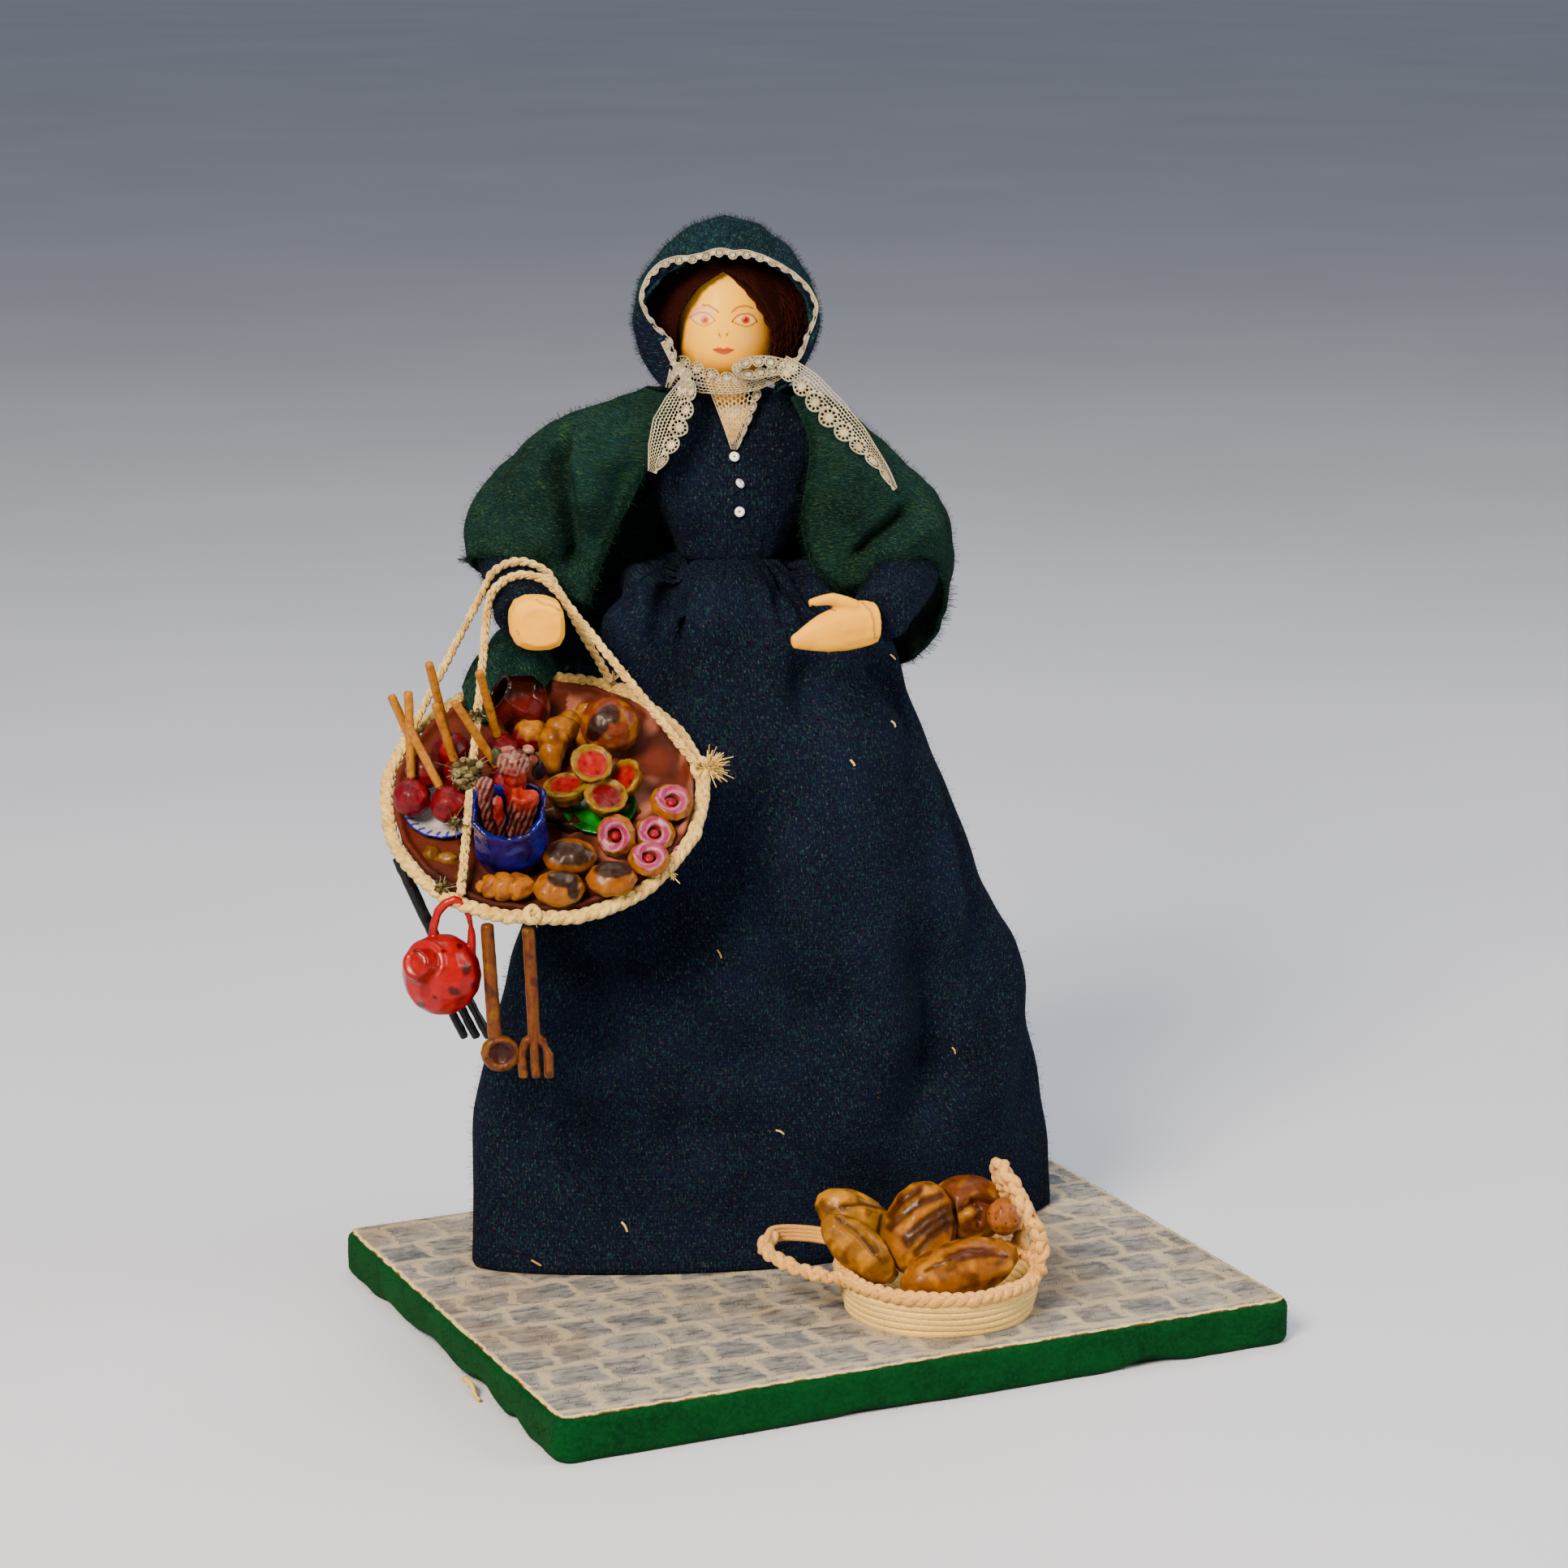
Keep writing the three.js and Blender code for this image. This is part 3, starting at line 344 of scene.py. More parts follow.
def frames_along(points, closed):
    """Two directions square to a path at each point, carried along it without twisting."""
    points = np.asarray(points, float)
    if closed:
        tangents = np.roll(points, -1, 0) - np.roll(points, 1, 0)
    else:
        tangents = np.gradient(points, axis=0)
    tangents /= np.linalg.norm(tangents, axis=1)[:, None]
    side = np.cross(tangents[0], (0.3, 0.2, 0.93))
    sides = []
    for tangent in tangents:
        side = side - tangent * (side @ tangent)
        side /= np.linalg.norm(side)
        sides.append(side.copy())
    sides = np.array(sides)
    if closed:
        ups = np.cross(tangents, sides)
        last = sides[-1] - tangents[0] * (sides[-1] @ tangents[0])
        gap = math.atan2(last @ ups[0], last @ sides[0])
        turn = -gap * np.arange(len(points)) / len(points)
        sides = sides * np.cos(turn)[:, None] + ups * np.sin(turn)[:, None]
    return sides, np.cross(tangents, sides)


def tube(path, radius, sides, closed=False, flat=1.0):
    """A tube's points, faces and (round, along) values."""
    path = np.asarray(path, float)
    reach = np.broadcast_to(radius, len(path)).astype(float)[:, None]
    across, up = frames_along(path, closed)
    along = lengths_along(path)
    angle = full_turn(sides)
    points = path[:, None] + across[:, None] * (reach * np.cos(angle))[..., None]
    points = points + up[:, None] * (reach * np.sin(angle) * flat)[..., None]
    points = points.reshape(-1, 3)
    faces = grid_faces(len(path), sides, loop_columns=True, loop_rows=closed)
    values = np.stack([np.tile(angle, len(path)), np.repeat(along, sides)], axis=1)
    if not closed:
        for row, order in ((0, -1), (len(path) - 1, 1)):
            faces.append(tuple(row * sides + k for k in range(sides))[::order])
    return points, faces, values


def gather(parts):
    """Several (points, faces, values) as one."""
    points, faces, values, start = [], [], [], 0
    for p, f, v in parts:
        points.append(np.asarray(p, float).reshape(-1, 3))
        values.append(np.asarray(v, float).reshape(-1, 2))
        faces += [tuple(i + start for i in face) for face in f]
        start += len(points[-1])
    return np.vstack(points), faces, np.vstack(values)


def linked(name, data):
    """An object at the origin that shows a mesh or holds a light."""
    piece = bpy.data.objects.new(name, data)
    bpy.context.scene.collection.objects.link(piece)
    return piece


def weld(piece, distance_mm=0.01):
    """Merges points that lie on each other; each face keeps its own unrolled coordinates."""
    work = bmesh.new()
    work.from_mesh(piece.data)
    bmesh.ops.remove_doubles(work, verts=work.verts, dist=distance_mm * MM)
    work.to_mesh(piece.data)
    work.free()
    return piece


def joined(name, parts, place, material, slot, *stands_for):
    """Several tubes or lumps as one finished piece; place carries their points to the board's frame."""
    points, faces, values = gather(parts)
    return finish_piece(object_from(name, place(points), faces, values), material, slot, *stands_for)


def refined(node, name, voxel, smooth):
    """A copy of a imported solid: merged, remeshed to an even skin and smoothed."""
    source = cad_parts[node].data.copy()
    source.name = name
    piece = weld(linked(name, source), 0.001)
    remesh = piece.modifiers.new("skin", "REMESH")
    remesh.mode, remesh.voxel_size = "VOXEL", voxel * MM
    soften = piece.modifiers.new("soften", "SMOOTH")
    soften.factor, soften.iterations = 0.5, smooth
    return baked(piece)


def baked(piece):
    """The same object with its modifiers worked into the mesh."""
    evaluated = piece.evaluated_get(bpy.context.evaluated_depsgraph_get())
    mesh = bpy.data.meshes.new_from_object(evaluated)
    piece.modifiers.clear()
    old = piece.data
    piece.data = mesh
    bpy.data.meshes.remove(old)
    mesh.name = piece.name
    return piece


def coordinates(piece, field="co"):
    """A piece's points in metres, or another field of theirs, as rows."""
    flat = np.zeros(len(piece.data.vertices) * 3, np.float32)
    piece.data.vertices.foreach_get(field, flat)
    return flat.reshape(-1, 3).astype(float)


def normals(piece):
    return coordinates(piece, "normal")


def move_points(piece, points):
    piece.data.vertices.foreach_set("co", np.asarray(points, np.float32).ravel())
    piece.data.update()


def rough(points, size_mm, seed):
    """Smooth noise from -1 to 1 at points in millimetres, with bumps about that size."""
    return np.array([noise.noise(Vector(p) / size_mm + Vector((seed, seed * 1.7, -seed))) for p in points])


def step_between(low, high, value):
    t = np.clip((np.asarray(value, float) - low) / (high - low), 0, 1)
    return t * t * (3 - 2 * t)


def paint(piece, colours):
    """Stores a linear colour for each point, which a material reads as painted colour."""
    data = np.ones((len(piece.data.vertices), 4), np.float32)
    data[:, :3] = np.asarray(colours)[:, :3]
    layer = piece.data.color_attributes.new("paint", "FLOAT_COLOR", "POINT")
    layer.data.foreach_set("color", data.ravel())


print("mesh helpers ready")

# %% [markdown]
# ## The studio
#
# The table is one pale sheet that runs out of sight. A broad softbox stands high on the left, a weaker one
# on the right fills the shadows and a faint one hangs above. All three fade with distance, so the table
# darkens towards the back on its own.

# %% Table and lights
def floor_finish():
    tree, shader = new_material("pale_table_sheet")
    cloud = add(tree, "ShaderNodeTexNoise", Vector=object_place(tree), Scale=3.0, Detail=2.0).outputs["Fac"]
    surface(tree, shader, ramp(tree, cloud, (0.3, "#BFC7D6"), (0.7, "#C7CFDE")), Roughness=0.55)


floor_finish()
FLOOR_REACH = 14.0
floor = object_from(
    "table_top",
    [(x * FLOOR_REACH, y * FLOOR_REACH, 0) for x, y in ((-1, -1), (1, -1), (1, 1), (-1, 1))],
    [(0, 1, 2, 3)],
)
floor.data.materials.append(MATERIALS["pale_table_sheet"])


def softbox(name, place, aim, size, watts, tint="#FFFFFF"):
    """A square area light that faces a point."""
    light = bpy.data.lights.new(name, "AREA")
    light.shape, light.size, light.energy = "SQUARE", size, watts
    light.color = linear(tint)[:3]
    lamp = linked(name, light)
    lamp.location = place
    lamp.rotation_mode = "QUATERNION"
    lamp.rotation_quaternion = (Vector(aim) - Vector(place)).to_track_quat("-Z", "Y")
    return lamp


DOLL_MIDDLE = (0, 0, 0.15)
softbox("key_softbox", (-1.05, -0.85, 1.05), DOLL_MIDDLE, 0.55, 73, "#FFE8CA")
softbox("fill_softbox", (1.2, -0.7, 0.85), DOLL_MIDDLE, 0.8, 22, "#FFF5EA")
softbox("top_softbox", (0.1, 0.35, 1.35), (0, 0.1, 0), 0.9, 12)

world = bpy.data.worlds.new("studio_room")
bpy.context.scene.world = world
world.use_nodes = True
room = world.node_tree.nodes["Background"]
room.inputs["Color"].default_value = linear("#C4C6D0")
room.inputs["Strength"].default_value = 0.42

# %% [markdown]
# ## Jute cord
#
# Jute is a long, stiff plant fibre. Three yarns plaited together make the slings and the tray's rim, so the
# cord shows a herringbone of short slanting strands, cream where it is worn and brown where dirt has
# settled between them. Each yarn is a tube that weaves from side to side; its material twists fine fibres
# round it.

# %% Jute finish
def jute_material(name, pale, middle, dirt):
    tree, shader = new_material(name)
    place = object_place(tree)
    split = add(tree, "ShaderNodeSeparateXYZ", _0=weave_place(tree))
    slant = sums(tree, "ADD", split.outputs[0], sums(tree, "MULTIPLY", split.outputs[1], 1.1))
    fibres = waves(tree, slant, 1.4)
    grain = clouds(tree, place, 0.7, 2.0)
    base = ramp(tree, clouds(tree, place, 4, 3.0), (0.3, middle), (0.62, pale))
    stained = stain(tree, base, grain, 0.6, 0.75, 0.7, dirt)
    lined = mix(tree, sums(tree, "MULTIPLY_ADD", fibres, 0.12, 0.14), stained, middle, "MULTIPLY")
    height = sums(tree, "MULTIPLY_ADD", grain, 0.6, sums(tree, "MULTIPLY", fibres, 0.5))
    surface(tree, shader, lined, height, 0.16, Roughness=0.75, Sheen_Weight=0.25, Sheen_Roughness=0.5)


jute_material("plaited_jute", "#D6B864", "#B48C36", "#5E4018")


def plait(path, width, closed, pitch, seed):
    """Three yarns woven along a path in millimetres: width is the whole plait's width."""
    path = np.asarray(path, float)
    yarn = width * 0.285
    across, up = frames_along(path, closed)
    along = lengths_along(path)
    total = along[-1] + (np.linalg.norm(path[0] - path[-1]) if closed else 0)
    laps = max(1, round(total / pitch / 2))
    draw = np.random.default_rng(seed)
    parts = []
    for k in range(3):
        phase = 2 * math.pi * (along / total * laps + k / 3)
        sway = (width / 2 - yarn) * np.sin(phase)
        dip = width * 0.13 * np.sin(2 * phase)
        line = path + across * sway[:, None] + up * dip[:, None]
        thick = yarn * (1 + 0.12 * np.interp(np.linspace(0, 40, len(path)), range(41), draw.normal(0, 1, 41)))
        if closed:
            thick[-8:] = np.linspace(thick[-8], thick[0], 8)
        parts.append(tube(line, thick, 8, closed))
    return gather(parts)


print("plaited jute ready")

# %% [markdown]
# ## The two slings
#
# The tray hangs on two lengths of cord over her cuff. Each is tied to the rim, rises taut, bends over the
# arm and comes down to the rim again. The tray's weight pulls them straight, so they are free cords that
# do not sag.

# %% Sling routes
RIM_RADIUS = 42.0
RIM_MIDDLE = 2.0
TIE_RISE = 3.3
TIES = {"frontLeft": -119, "frontRight": 11, "backLeft": 151, "backRight": 66}
ARM_REACH = 10.2
SLING_THICK, SLING_WIDTH = 2.4, 2.6


def tie(name):
    return tray_to_doll(circle(np.radians([TIES[name]]), RIM_RADIUS - 0.5, RIM_MIDDLE + TIE_RISE))[0]


def sling_route(start, end, arm, turns):
    """From one tie up over the arm, through points at these turns in degrees, and down to the other tie."""
    over = []
    for turn in turns:
        a = math.radians(turn)
        over.append(np.add(arm, (ARM_REACH * math.cos(a), 0, ARM_REACH * math.sin(a))))
    between = lambda a, b, share: a + (b - a) * share
    rise = [start, between(start, over[0], 0.5), between(start, over[0], 0.9)]
    return rise + over + [between(over[-1], end, 0.1), between(over[-1], end, 0.5), end]


SLINGS = {
    "sling_front": (
        sling_route(tie("frontLeft"), tie("frontRight"), (-53.4, -38.6, 199.05), (180, 150, 118, 88, 60, 38)),
        "jute_sling_front",
    ),
    "sling_back": (
        sling_route(tie("backLeft"), tie("backRight"), (-55.2, -29.5, 201.05), (165, 135, 105, 72, 40)),
        "jute_sling_back",
    ),
}
SLING_STEPS = 230
for number, (node, (route, name)) in enumerate(SLINGS.items()):
    line = spline(route, SLING_STEPS)
    yarns = [plait(line, SLING_WIDTH, False, 3.8, number)]
    cord = joined(name, yarns, from_doll, "plaited_jute", "jute", node)

# %% [markdown]
# ## The board's felt
#
# Felt is wool matted in every direction: no weave, only a soft deep green with a halo of loose fibres. It
# wraps the wooden board and was cut by hand, so its lower edge wanders, and along the left side it has
# lifted from the wood in three places.

# %% Felt finish
def felt_material():
    tree, shader = new_material("green_wool_felt")
    place = object_place(tree)
    matted = clouds(tree, place, 1.1, 5.0, Roughness=0.7)
    deep = ramp(tree, clouds(tree, place, 14, 3.0), (0.3, "#00230D"), (0.7, "#023614"))
    speckled = stain(tree, deep, matted, 0.42, 0.68, 0.55, "#0A461D")
    surface(tree, shader, speckled, matted, 0.35, Roughness=0.95, Specular_IOR_Level=0.05)
    set_shader(shader, Sheen_Weight=0.03, Sheen_Roughness=0.6, Sheen_Tint="#6FC08C")


felt_material()

# %% The felt-wrapped board
BOARD_HALF = (108.0, 83.0)
BOARD_CORNER = 5.0
FELT_TOP = 12.0


def rounded_outline(half_x, half_y, corner, step):
    """Points anticlockwise round a rectangle with round corners, from the middle of its front edge."""
    points = []
    straight_x, straight_y = half_x - corner, half_y - corner
    corners = [(straight_x, -straight_y, -90), (straight_x, straight_y, 0)]
    corners += [(-straight_x, straight_y, 90), (-straight_x, -straight_y, 180)]
    points.append((0.0, -half_y))
    for x, y, start in corners:
        for a in np.radians(np.arange(start, start + 91, 9)):
            points.append((x + corner * math.cos(a), y + corner * math.sin(a)))
    points = np.array(points + [points[0]])
    along = lengths_along(points)
    return read_at(np.linspace(0, along[-1], int(along[-1] / step), endpoint=False), along, points)


# Where the felt has lifted: middle along Y, half width, lift, all in millimetres, on the left side.
LIFTS_LEFT = [(8, 16, 2.6), (-28, 10, 3.6), (-52, 5, 2.2), (44, 9, 1.2)]
LIFTS_FRONT = [(64, 7, 1.8), (-20, 20, 0.7)]
outline = rounded_outline(*BOARD_HALF, BOARD_CORNER, 1.0)
outward = np.roll(outline, -1, 0) - np.roll(outline, 1, 0)
outward = np.stack([outward[:, 1], -outward[:, 0]], 1) / np.linalg.norm(outward, axis=1)[:, None]
lift = 0.35 + 0.35 * rough(np.c_[outline, np.zeros(len(outline))], 9, 3)
on_left, on_front = outward[:, 0] < -0.8, outward[:, 1] < -0.8
for middle, wide, high in LIFTS_LEFT:
    lift += on_left * high * np.exp(-(((outline[:, 1] - middle) / wide) ** 2))
for middle, wide, high in LIFTS_FRONT:
    lift += on_front * high * np.exp(-(((outline[:, 0] - middle) / wide) ** 2))
lift = np.clip(lift, 0.0, None)
FELT_ROWS = [(9, 1.0), (1.2, 1.0), (0.35, 0.93), (0.0, 0.84)]
FELT_ROWS += [(0.0, height) for height in np.linspace(0.76, 0.12, 11)]
felt_points = []
for inset, height in FELT_ROWS:
    z = lift + (FELT_TOP - lift) * height
    belly = 0.35 * rough(np.c_[outline, z], 7, 5) * (height < 0.9)
    felt_points.append(np.c_[outline - outward * (inset + np.clip(belly, -0.5, 0.0))[:, None], z])
under = outline - outward * (0.5 + 0.55 * lift)[:, None]
felt_points.append(np.c_[under, lift])
felt_points.append(np.c_[outline - outward * 4.0, np.full(len(outline), 0.0)])
columns = len(outline)
faces = grid_faces(len(felt_points), columns, loop_columns=True)
faces = [face[::-1] for face in faces]
faces.append(tuple(range(columns)))
last = (len(felt_points) - 1) * columns
faces.append(tuple(last + k for k in range(columns))[::-1])
felt = object_from("felt_wrap", np.vstack(felt_points) * MM, faces)
finish_piece(felt, "green_wool_felt", "felt", "felt_board")

# %% [markdown]
# ## Painted cobbles
#
# The top is card printed from a watercolour of cobbles. The stones lie in rows along the long edge, about
# fourteen millimetres deep, grey with blue and brown washes, each darker on its shadow side, with warm pale
# mortar. A brick pattern bent by noise places them, and finer noises make the washes. The card's edge is
# rubbed back to cream with a brown line against the felt.

# %% Cobble finish
def cobble_material():
    tree, shader = new_material("watercolour_cobble_card")
    place = object_place(tree)

    def shaken(start, size_mm, layers, reach_mm):
        """Places pushed about by noise; returns them and the noise."""
        noise_node = add(tree, "ShaderNodeTexNoise", Vector=place, Scale=1 / (size_mm * MM), Detail=layers)
        centred = add(tree, "ShaderNodeVectorMath", {"operation": "SUBTRACT"}, _0=noise_node.outputs["Color"])
        centred.inputs[1].default_value = (0.5, 0.5, 0.5)
        settings = {"operation": "MULTIPLY_ADD"}
        moved = add(tree, "ShaderNodeVectorMath", settings, _0=centred.outputs[0], _2=start)
        moved.inputs[1].default_value = (reach_mm[0] * MM, reach_mm[1] * MM, 0)
        return moved.outputs[0], noise_node.outputs[0]

    bent, _ = shaken(place, 11, 2.0, (10, 5.5))
    worn, ragged = shaken(bent, 3.2, 3.0, (4.6, 3.0))
    stones = add(tree, "ShaderNodeTexBrick", {"offset": 0.46}, Vector=worn, Scale=1.0, Mortar_Smooth=1.0)
    for socket, millimetres in (("Mortar Size", 2.3), ("Brick Width", 15.4), ("Row Height", 15.6)):
        stones.inputs[socket].default_value = millimetres * MM
    for socket, grey in (("Color1", 0.0), ("Color2", 1.0), ("Mortar", 0.5)):
        stones.inputs[socket].default_value = (grey, grey, grey, 1)
    wash = clouds(tree, worn, 6, 4.0)
    strokes = add(tree, "ShaderNodeMapping", Vector=place, Scale=(1.0, 3.2, 1.0)).outputs[0]
    greys = (0.0, "#4E535B"), (0.35, "#64666A"), (0.7, "#7E7C76"), (1.0, "#5E5E60")
    stone = stain(tree, ramp(tree, stones.outputs["Color"], *greys), wash, 0.35, 0.7, 0.55, "#A3A098")
    stone = stain(tree, stone, clouds(tree, strokes, 5, 3.0), 0.48, 0.66, 0.75, "#3C4048")
    mortar = mix(tree, wash, "#8A8272", "#BAAE92")
    printed = stain(tree, stone, stones.outputs["Fac"], 0.0, 0.75, 0.85, mortar)
    printed = stain(tree, printed, clouds(tree, place, 42, 2.0), 0.52, 0.72, 0.42, "#7E6848")
    edge = add(tree, "ShaderNodeAttribute", {"attribute_name": "edge"}).outputs["Fac"]
    scuffed = sums(tree, "ADD", edge, sums(tree, "MULTIPLY_ADD", ragged, 0.9, -0.5))
    printed = stain(tree, printed, scuffed, 0.42, 0.62, 0.9, "#CDB67C")
    printed = stain(tree, printed, scuffed, 0.82, 0.98, 0.95, "#5A3010")
    surface(tree, shader, printed, wash, 0.12, Roughness=0.6, Specular_IOR_Level=0.15)


cobble_material()

# %% The card
CARD_GAP = 1.0
CARD_STEP = 2.0
across = np.arange(-BOARD_HALF[0] + CARD_GAP, BOARD_HALF[0] - CARD_GAP + 0.01, CARD_STEP)
deep = np.arange(-BOARD_HALF[1] + CARD_GAP, BOARD_HALF[1] - CARD_GAP + 0.01, CARD_STEP)
grid_x, grid_y = np.meshgrid(across, deep)
flat = np.stack([grid_x.ravel(), grid_y.ravel(), np.zeros(grid_x.size)], axis=1)
# Distance in from the card's edge, with its corners rounded like the board's.
corner_x = np.clip(np.abs(flat[:, 0]) - (BOARD_HALF[0] - BOARD_CORNER), 0, None)
corner_y = np.clip(np.abs(flat[:, 1]) - (BOARD_HALF[1] - BOARD_CORNER), 0, None)
inward = BOARD_CORNER - CARD_GAP - np.hypot(corner_x, corner_y)
pull = np.where(inward < 0, inward, 0)
sign = np.sign(flat[:, :2])
reach = np.stack([corner_x, corner_y], 1) / np.maximum(np.hypot(corner_x, corner_y), 1e-6)[:, None]
flat[:, :2] += sign * reach * pull[:, None]
ragged = 0.35 * rough(flat, 4, 9) - 0.25
border = np.exp(-((np.maximum(inward, 0) / 1.2) ** 2))
flat[:, :2] += sign * reach * (border * np.clip(ragged, -0.6, 0))[:, None]
flat[:, 2] = BOARD_TOP - 0.25 * border + 0.06 * rough(flat, 30, 2)
card = object_from("cobble_print", flat * MM, grid_faces(len(deep), len(across)))
edge = card.data.attributes.new("edge", "FLOAT", "POINT")
edge.data.foreach_set("value", np.exp(-np.maximum(inward, 0) / 1.6).astype(np.float32))
thick = card.modifiers.new("thickness", "SOLIDIFY")
thick.thickness, thick.offset = 0.45 * MM, -1
finish_piece(baked(card), "watercolour_cobble_card", "cobble_paper", "cobble_card")

# %% [markdown]
# ## Brushed tweed
#
# The dress and shawl are woollen tweed: yarns spun from wool of several colours, woven plainly about one
# millimetre apart, then brushed until loose fibres stand up all over. Close to, navy is really blue, teal,
# violet and a little ochre; the shawl is green with the same flecks. The weave is drawn on each piece's own
# unrolled cloth, in millimetres.

# %% Tweed finish
THREAD_MM = 1.0


def tweed_material(name, ground, yarns, fleck, rare, sheen):
    """Warp and weft each change colour along their own threads; flecks and rare ochre bits lie on top."""
    tree, shader = new_material(name)
    place, cloth = object_place(tree), weave_place(tree)
    split = add(tree, "ShaderNodeSeparateXYZ", _0=cloth)

    def thread_noise(wide, long, seed):
        mapping = add(tree, "ShaderNodeMapping", _0=cloth, Location=(seed, seed * 0.37, 0))
        mapping.inputs["Scale"].default_value = (1 / wide, 1 / long, 1)
        place = mapping.outputs[0]
        settings = {"noise_dimensions": "2D"}
        return add(tree, "ShaderNodeTexNoise", settings, Vector=place, Scale=1.0, Detail=2.0).outputs[0]

    warp, weft = thread_noise(0.7, 2.8, 11.3), thread_noise(2.4, 0.7, 47.1)
    over, under = (waves(tree, split.outputs[k], 2 * THREAD_MM) for k in (0, 1))
    woven = sums(tree, "MULTIPLY_ADD", sums(tree, "MULTIPLY", over, under), 0.5, 0.5)
    warp_colour = ramp(tree, warp, (0.36, yarns[0]), (0.45, ground), (0.54, yarns[1]), (0.64, yarns[2]))
    weft_colour = ramp(tree, weft, (0.36, yarns[3]), (0.46, yarns[1]), (0.54, ground), (0.64, yarns[4]))
    colour = mix(tree, woven, warp_colour, weft_colour)
    colour = stain(tree, colour, clouds(tree, place, 9, 4.0, Roughness=0.6), 0.4, 0.6, 0.6, yarns[1])
    colour = stain(tree, colour, clouds(tree, place, 26, 2.0), 0.4, 0.7, 0.5, yarns[3])
    colour = stain(tree, colour, thread_noise(0.45, 1.3, 83.0), 0.64, 0.76, 0.85, fleck)
    colour = stain(tree, colour, thread_noise(1.3, 0.8, 131.0), 0.7, 0.78, 0.6, rare)
    # Painted shade: the colour is darker where the weave sinks between threads, and the same hollows also
    # sink in the relief below.
    hollow = ramp(tree, woven, (0.0, 0.55), (0.35, 1.0), (0.65, 1.0), (1.0, 0.55))
    colour = mix(tree, 0.35, colour, hollow, "MULTIPLY")
    sunk = sums(tree, "MULTIPLY", hollow, 0.5)
    height = sums(tree, "MULTIPLY_ADD", clouds(tree, place, 0.9, 3.0), 1.2, sunk)
    surface(tree, shader, colour, height, 0.3, Roughness=0.95, Specular_IOR_Level=0.04)
    set_shader(shader, Sheen_Weight=0.02, Sheen_Roughness=0.5, Sheen_Tint=sheen)


NAVY_YARNS = ("#1A102A", "#0B1026", "#12302E", "#020306", "#101A30")
GREEN_YARNS = ("#12321A", "#0A2426", "#2A461C", "#03090A", "#162A40")
tweed_material("navy_brushed_tweed", "#050E14", NAVY_YARNS, "#28424A", "#4C3C1A", "#2C4251")
TEAL_YARNS = ("#182440", "#0C2232", "#1C4A36", "#04080A", "#143438")
tweed_material("teal_brushed_tweed", "#07151A", TEAL_YARNS, "#30524E", "#4C461A", "#2C4A4C")
tweed_material("green_brushed_tweed", "#08190F", GREEN_YARNS, "#35583A", "#5A4C1A", "#2C4E3F")
print("tweeds ready")

# %% [markdown]
# ## Nap
#
# What makes brushed wool look soft is its outline: thousands of fine fibres standing off the cloth. A
# Geometry Nodes tree scatters points over a surface with a fixed seed, stands a bent ribbon on each, turns
# it at random, and makes everything real mesh. The same tree grows the felt's fibres and the shawl's frayed
# edge.

# %% A tree that grows fibres on a surface
def fibre_tree():
    tree = bpy.data.node_groups.new("grow_fibres", "GeometryNodeTree")
    face = tree.interface
    face.new_socket("Geometry", in_out="INPUT", socket_type="NodeSocketGeometry")
    for name in ("Density", "Length", "Thickness", "Lean"):
        face.new_socket(name, in_out="INPUT", socket_type="NodeSocketFloat")
    face.new_socket("Seed", in_out="INPUT", socket_type="NodeSocketInt")
    face.new_socket("Material", in_out="INPUT", socket_type="NodeSocketMaterial")
    face.new_socket("Geometry", in_out="OUTPUT", socket_type="NodeSocketGeometry")
    given = add(tree, "NodeGroupInput").outputs
    blade = add(tree, "GeometryNodeMeshGrid", _0=given["Thickness"], _1=given["Length"], _2=2, _3=3)
    lift = add(tree, "ShaderNodeCombineXYZ", _1=sums(tree, "MULTIPLY", given["Length"], 0.5))
    based = add(tree, "GeometryNodeSetPosition", Geometry=blade.outputs[0], Offset=lift.outputs[0])
    where = add(tree, "ShaderNodeSeparateXYZ", _0=add(tree, "GeometryNodeInputPosition").outputs[0])
    share = sums(tree, "DIVIDE", where.outputs[1], given["Length"])
    curl = sums(tree, "MULTIPLY", sums(tree, "MULTIPLY", share, share), given["Length"])
    bent = add(tree, "ShaderNodeCombineXYZ", _0=where.outputs[0], _1=sums(tree, "MULTIPLY", curl, 0.6))
    tree.links.new(where.outputs[1], bent.inputs[2])
    stood = add(tree, "GeometryNodeSetPosition", Geometry=based.outputs[0], Position=bent.outputs[0])
    settings = {"distribute_method": "RANDOM"}
    per_area, seed = given["Density"], given["Seed"]
    spread = add(tree, "GeometryNodeDistributePointsOnFaces", settings, Density=per_area, Seed=seed)
    tree.links.new(given["Geometry"], spread.inputs["Mesh"])
    low = add(tree, "ShaderNodeCombineXYZ", _0=sums(tree, "MULTIPLY", given["Lean"], -1.0)).outputs[0]
    high = add(tree, "ShaderNodeCombineXYZ", _0=given["Lean"], _2=2 * math.pi).outputs[0]
    turn = add(tree, "FunctionNodeRandomValue", {"data_type": "FLOAT_VECTOR"}, _0=low, _1=high, Seed=seed)
    about = add(tree, "FunctionNodeEulerToRotation", _0=turn.outputs[0]).outputs[0]
    settings = {"rotation_space": "LOCAL"}
    aimed = add(tree, "FunctionNodeRotateRotation", settings, _0=spread.outputs["Rotation"], _1=about)
    size = add(tree, "FunctionNodeRandomValue", {"data_type": "FLOAT"}, _2=0.4, _3=1.25, Seed=seed)
    grown = add(tree, "GeometryNodeInstanceOnPoints", Points=spread.outputs["Points"])
    tree.links.new(stood.outputs[0], grown.inputs["Instance"])
    tree.links.new(aimed.outputs[0], grown.inputs["Rotation"])
    tree.links.new(size.outputs[1], grown.inputs["Scale"])
    real = add(tree, "GeometryNodeRealizeInstances", _0=grown.outputs[0])
    dressed = add(tree, "GeometryNodeSetMaterial", Geometry=real.outputs[0], Material=given["Material"])
    add(tree, "NodeGroupOutput", _0=dressed.outputs[0])
    return tree


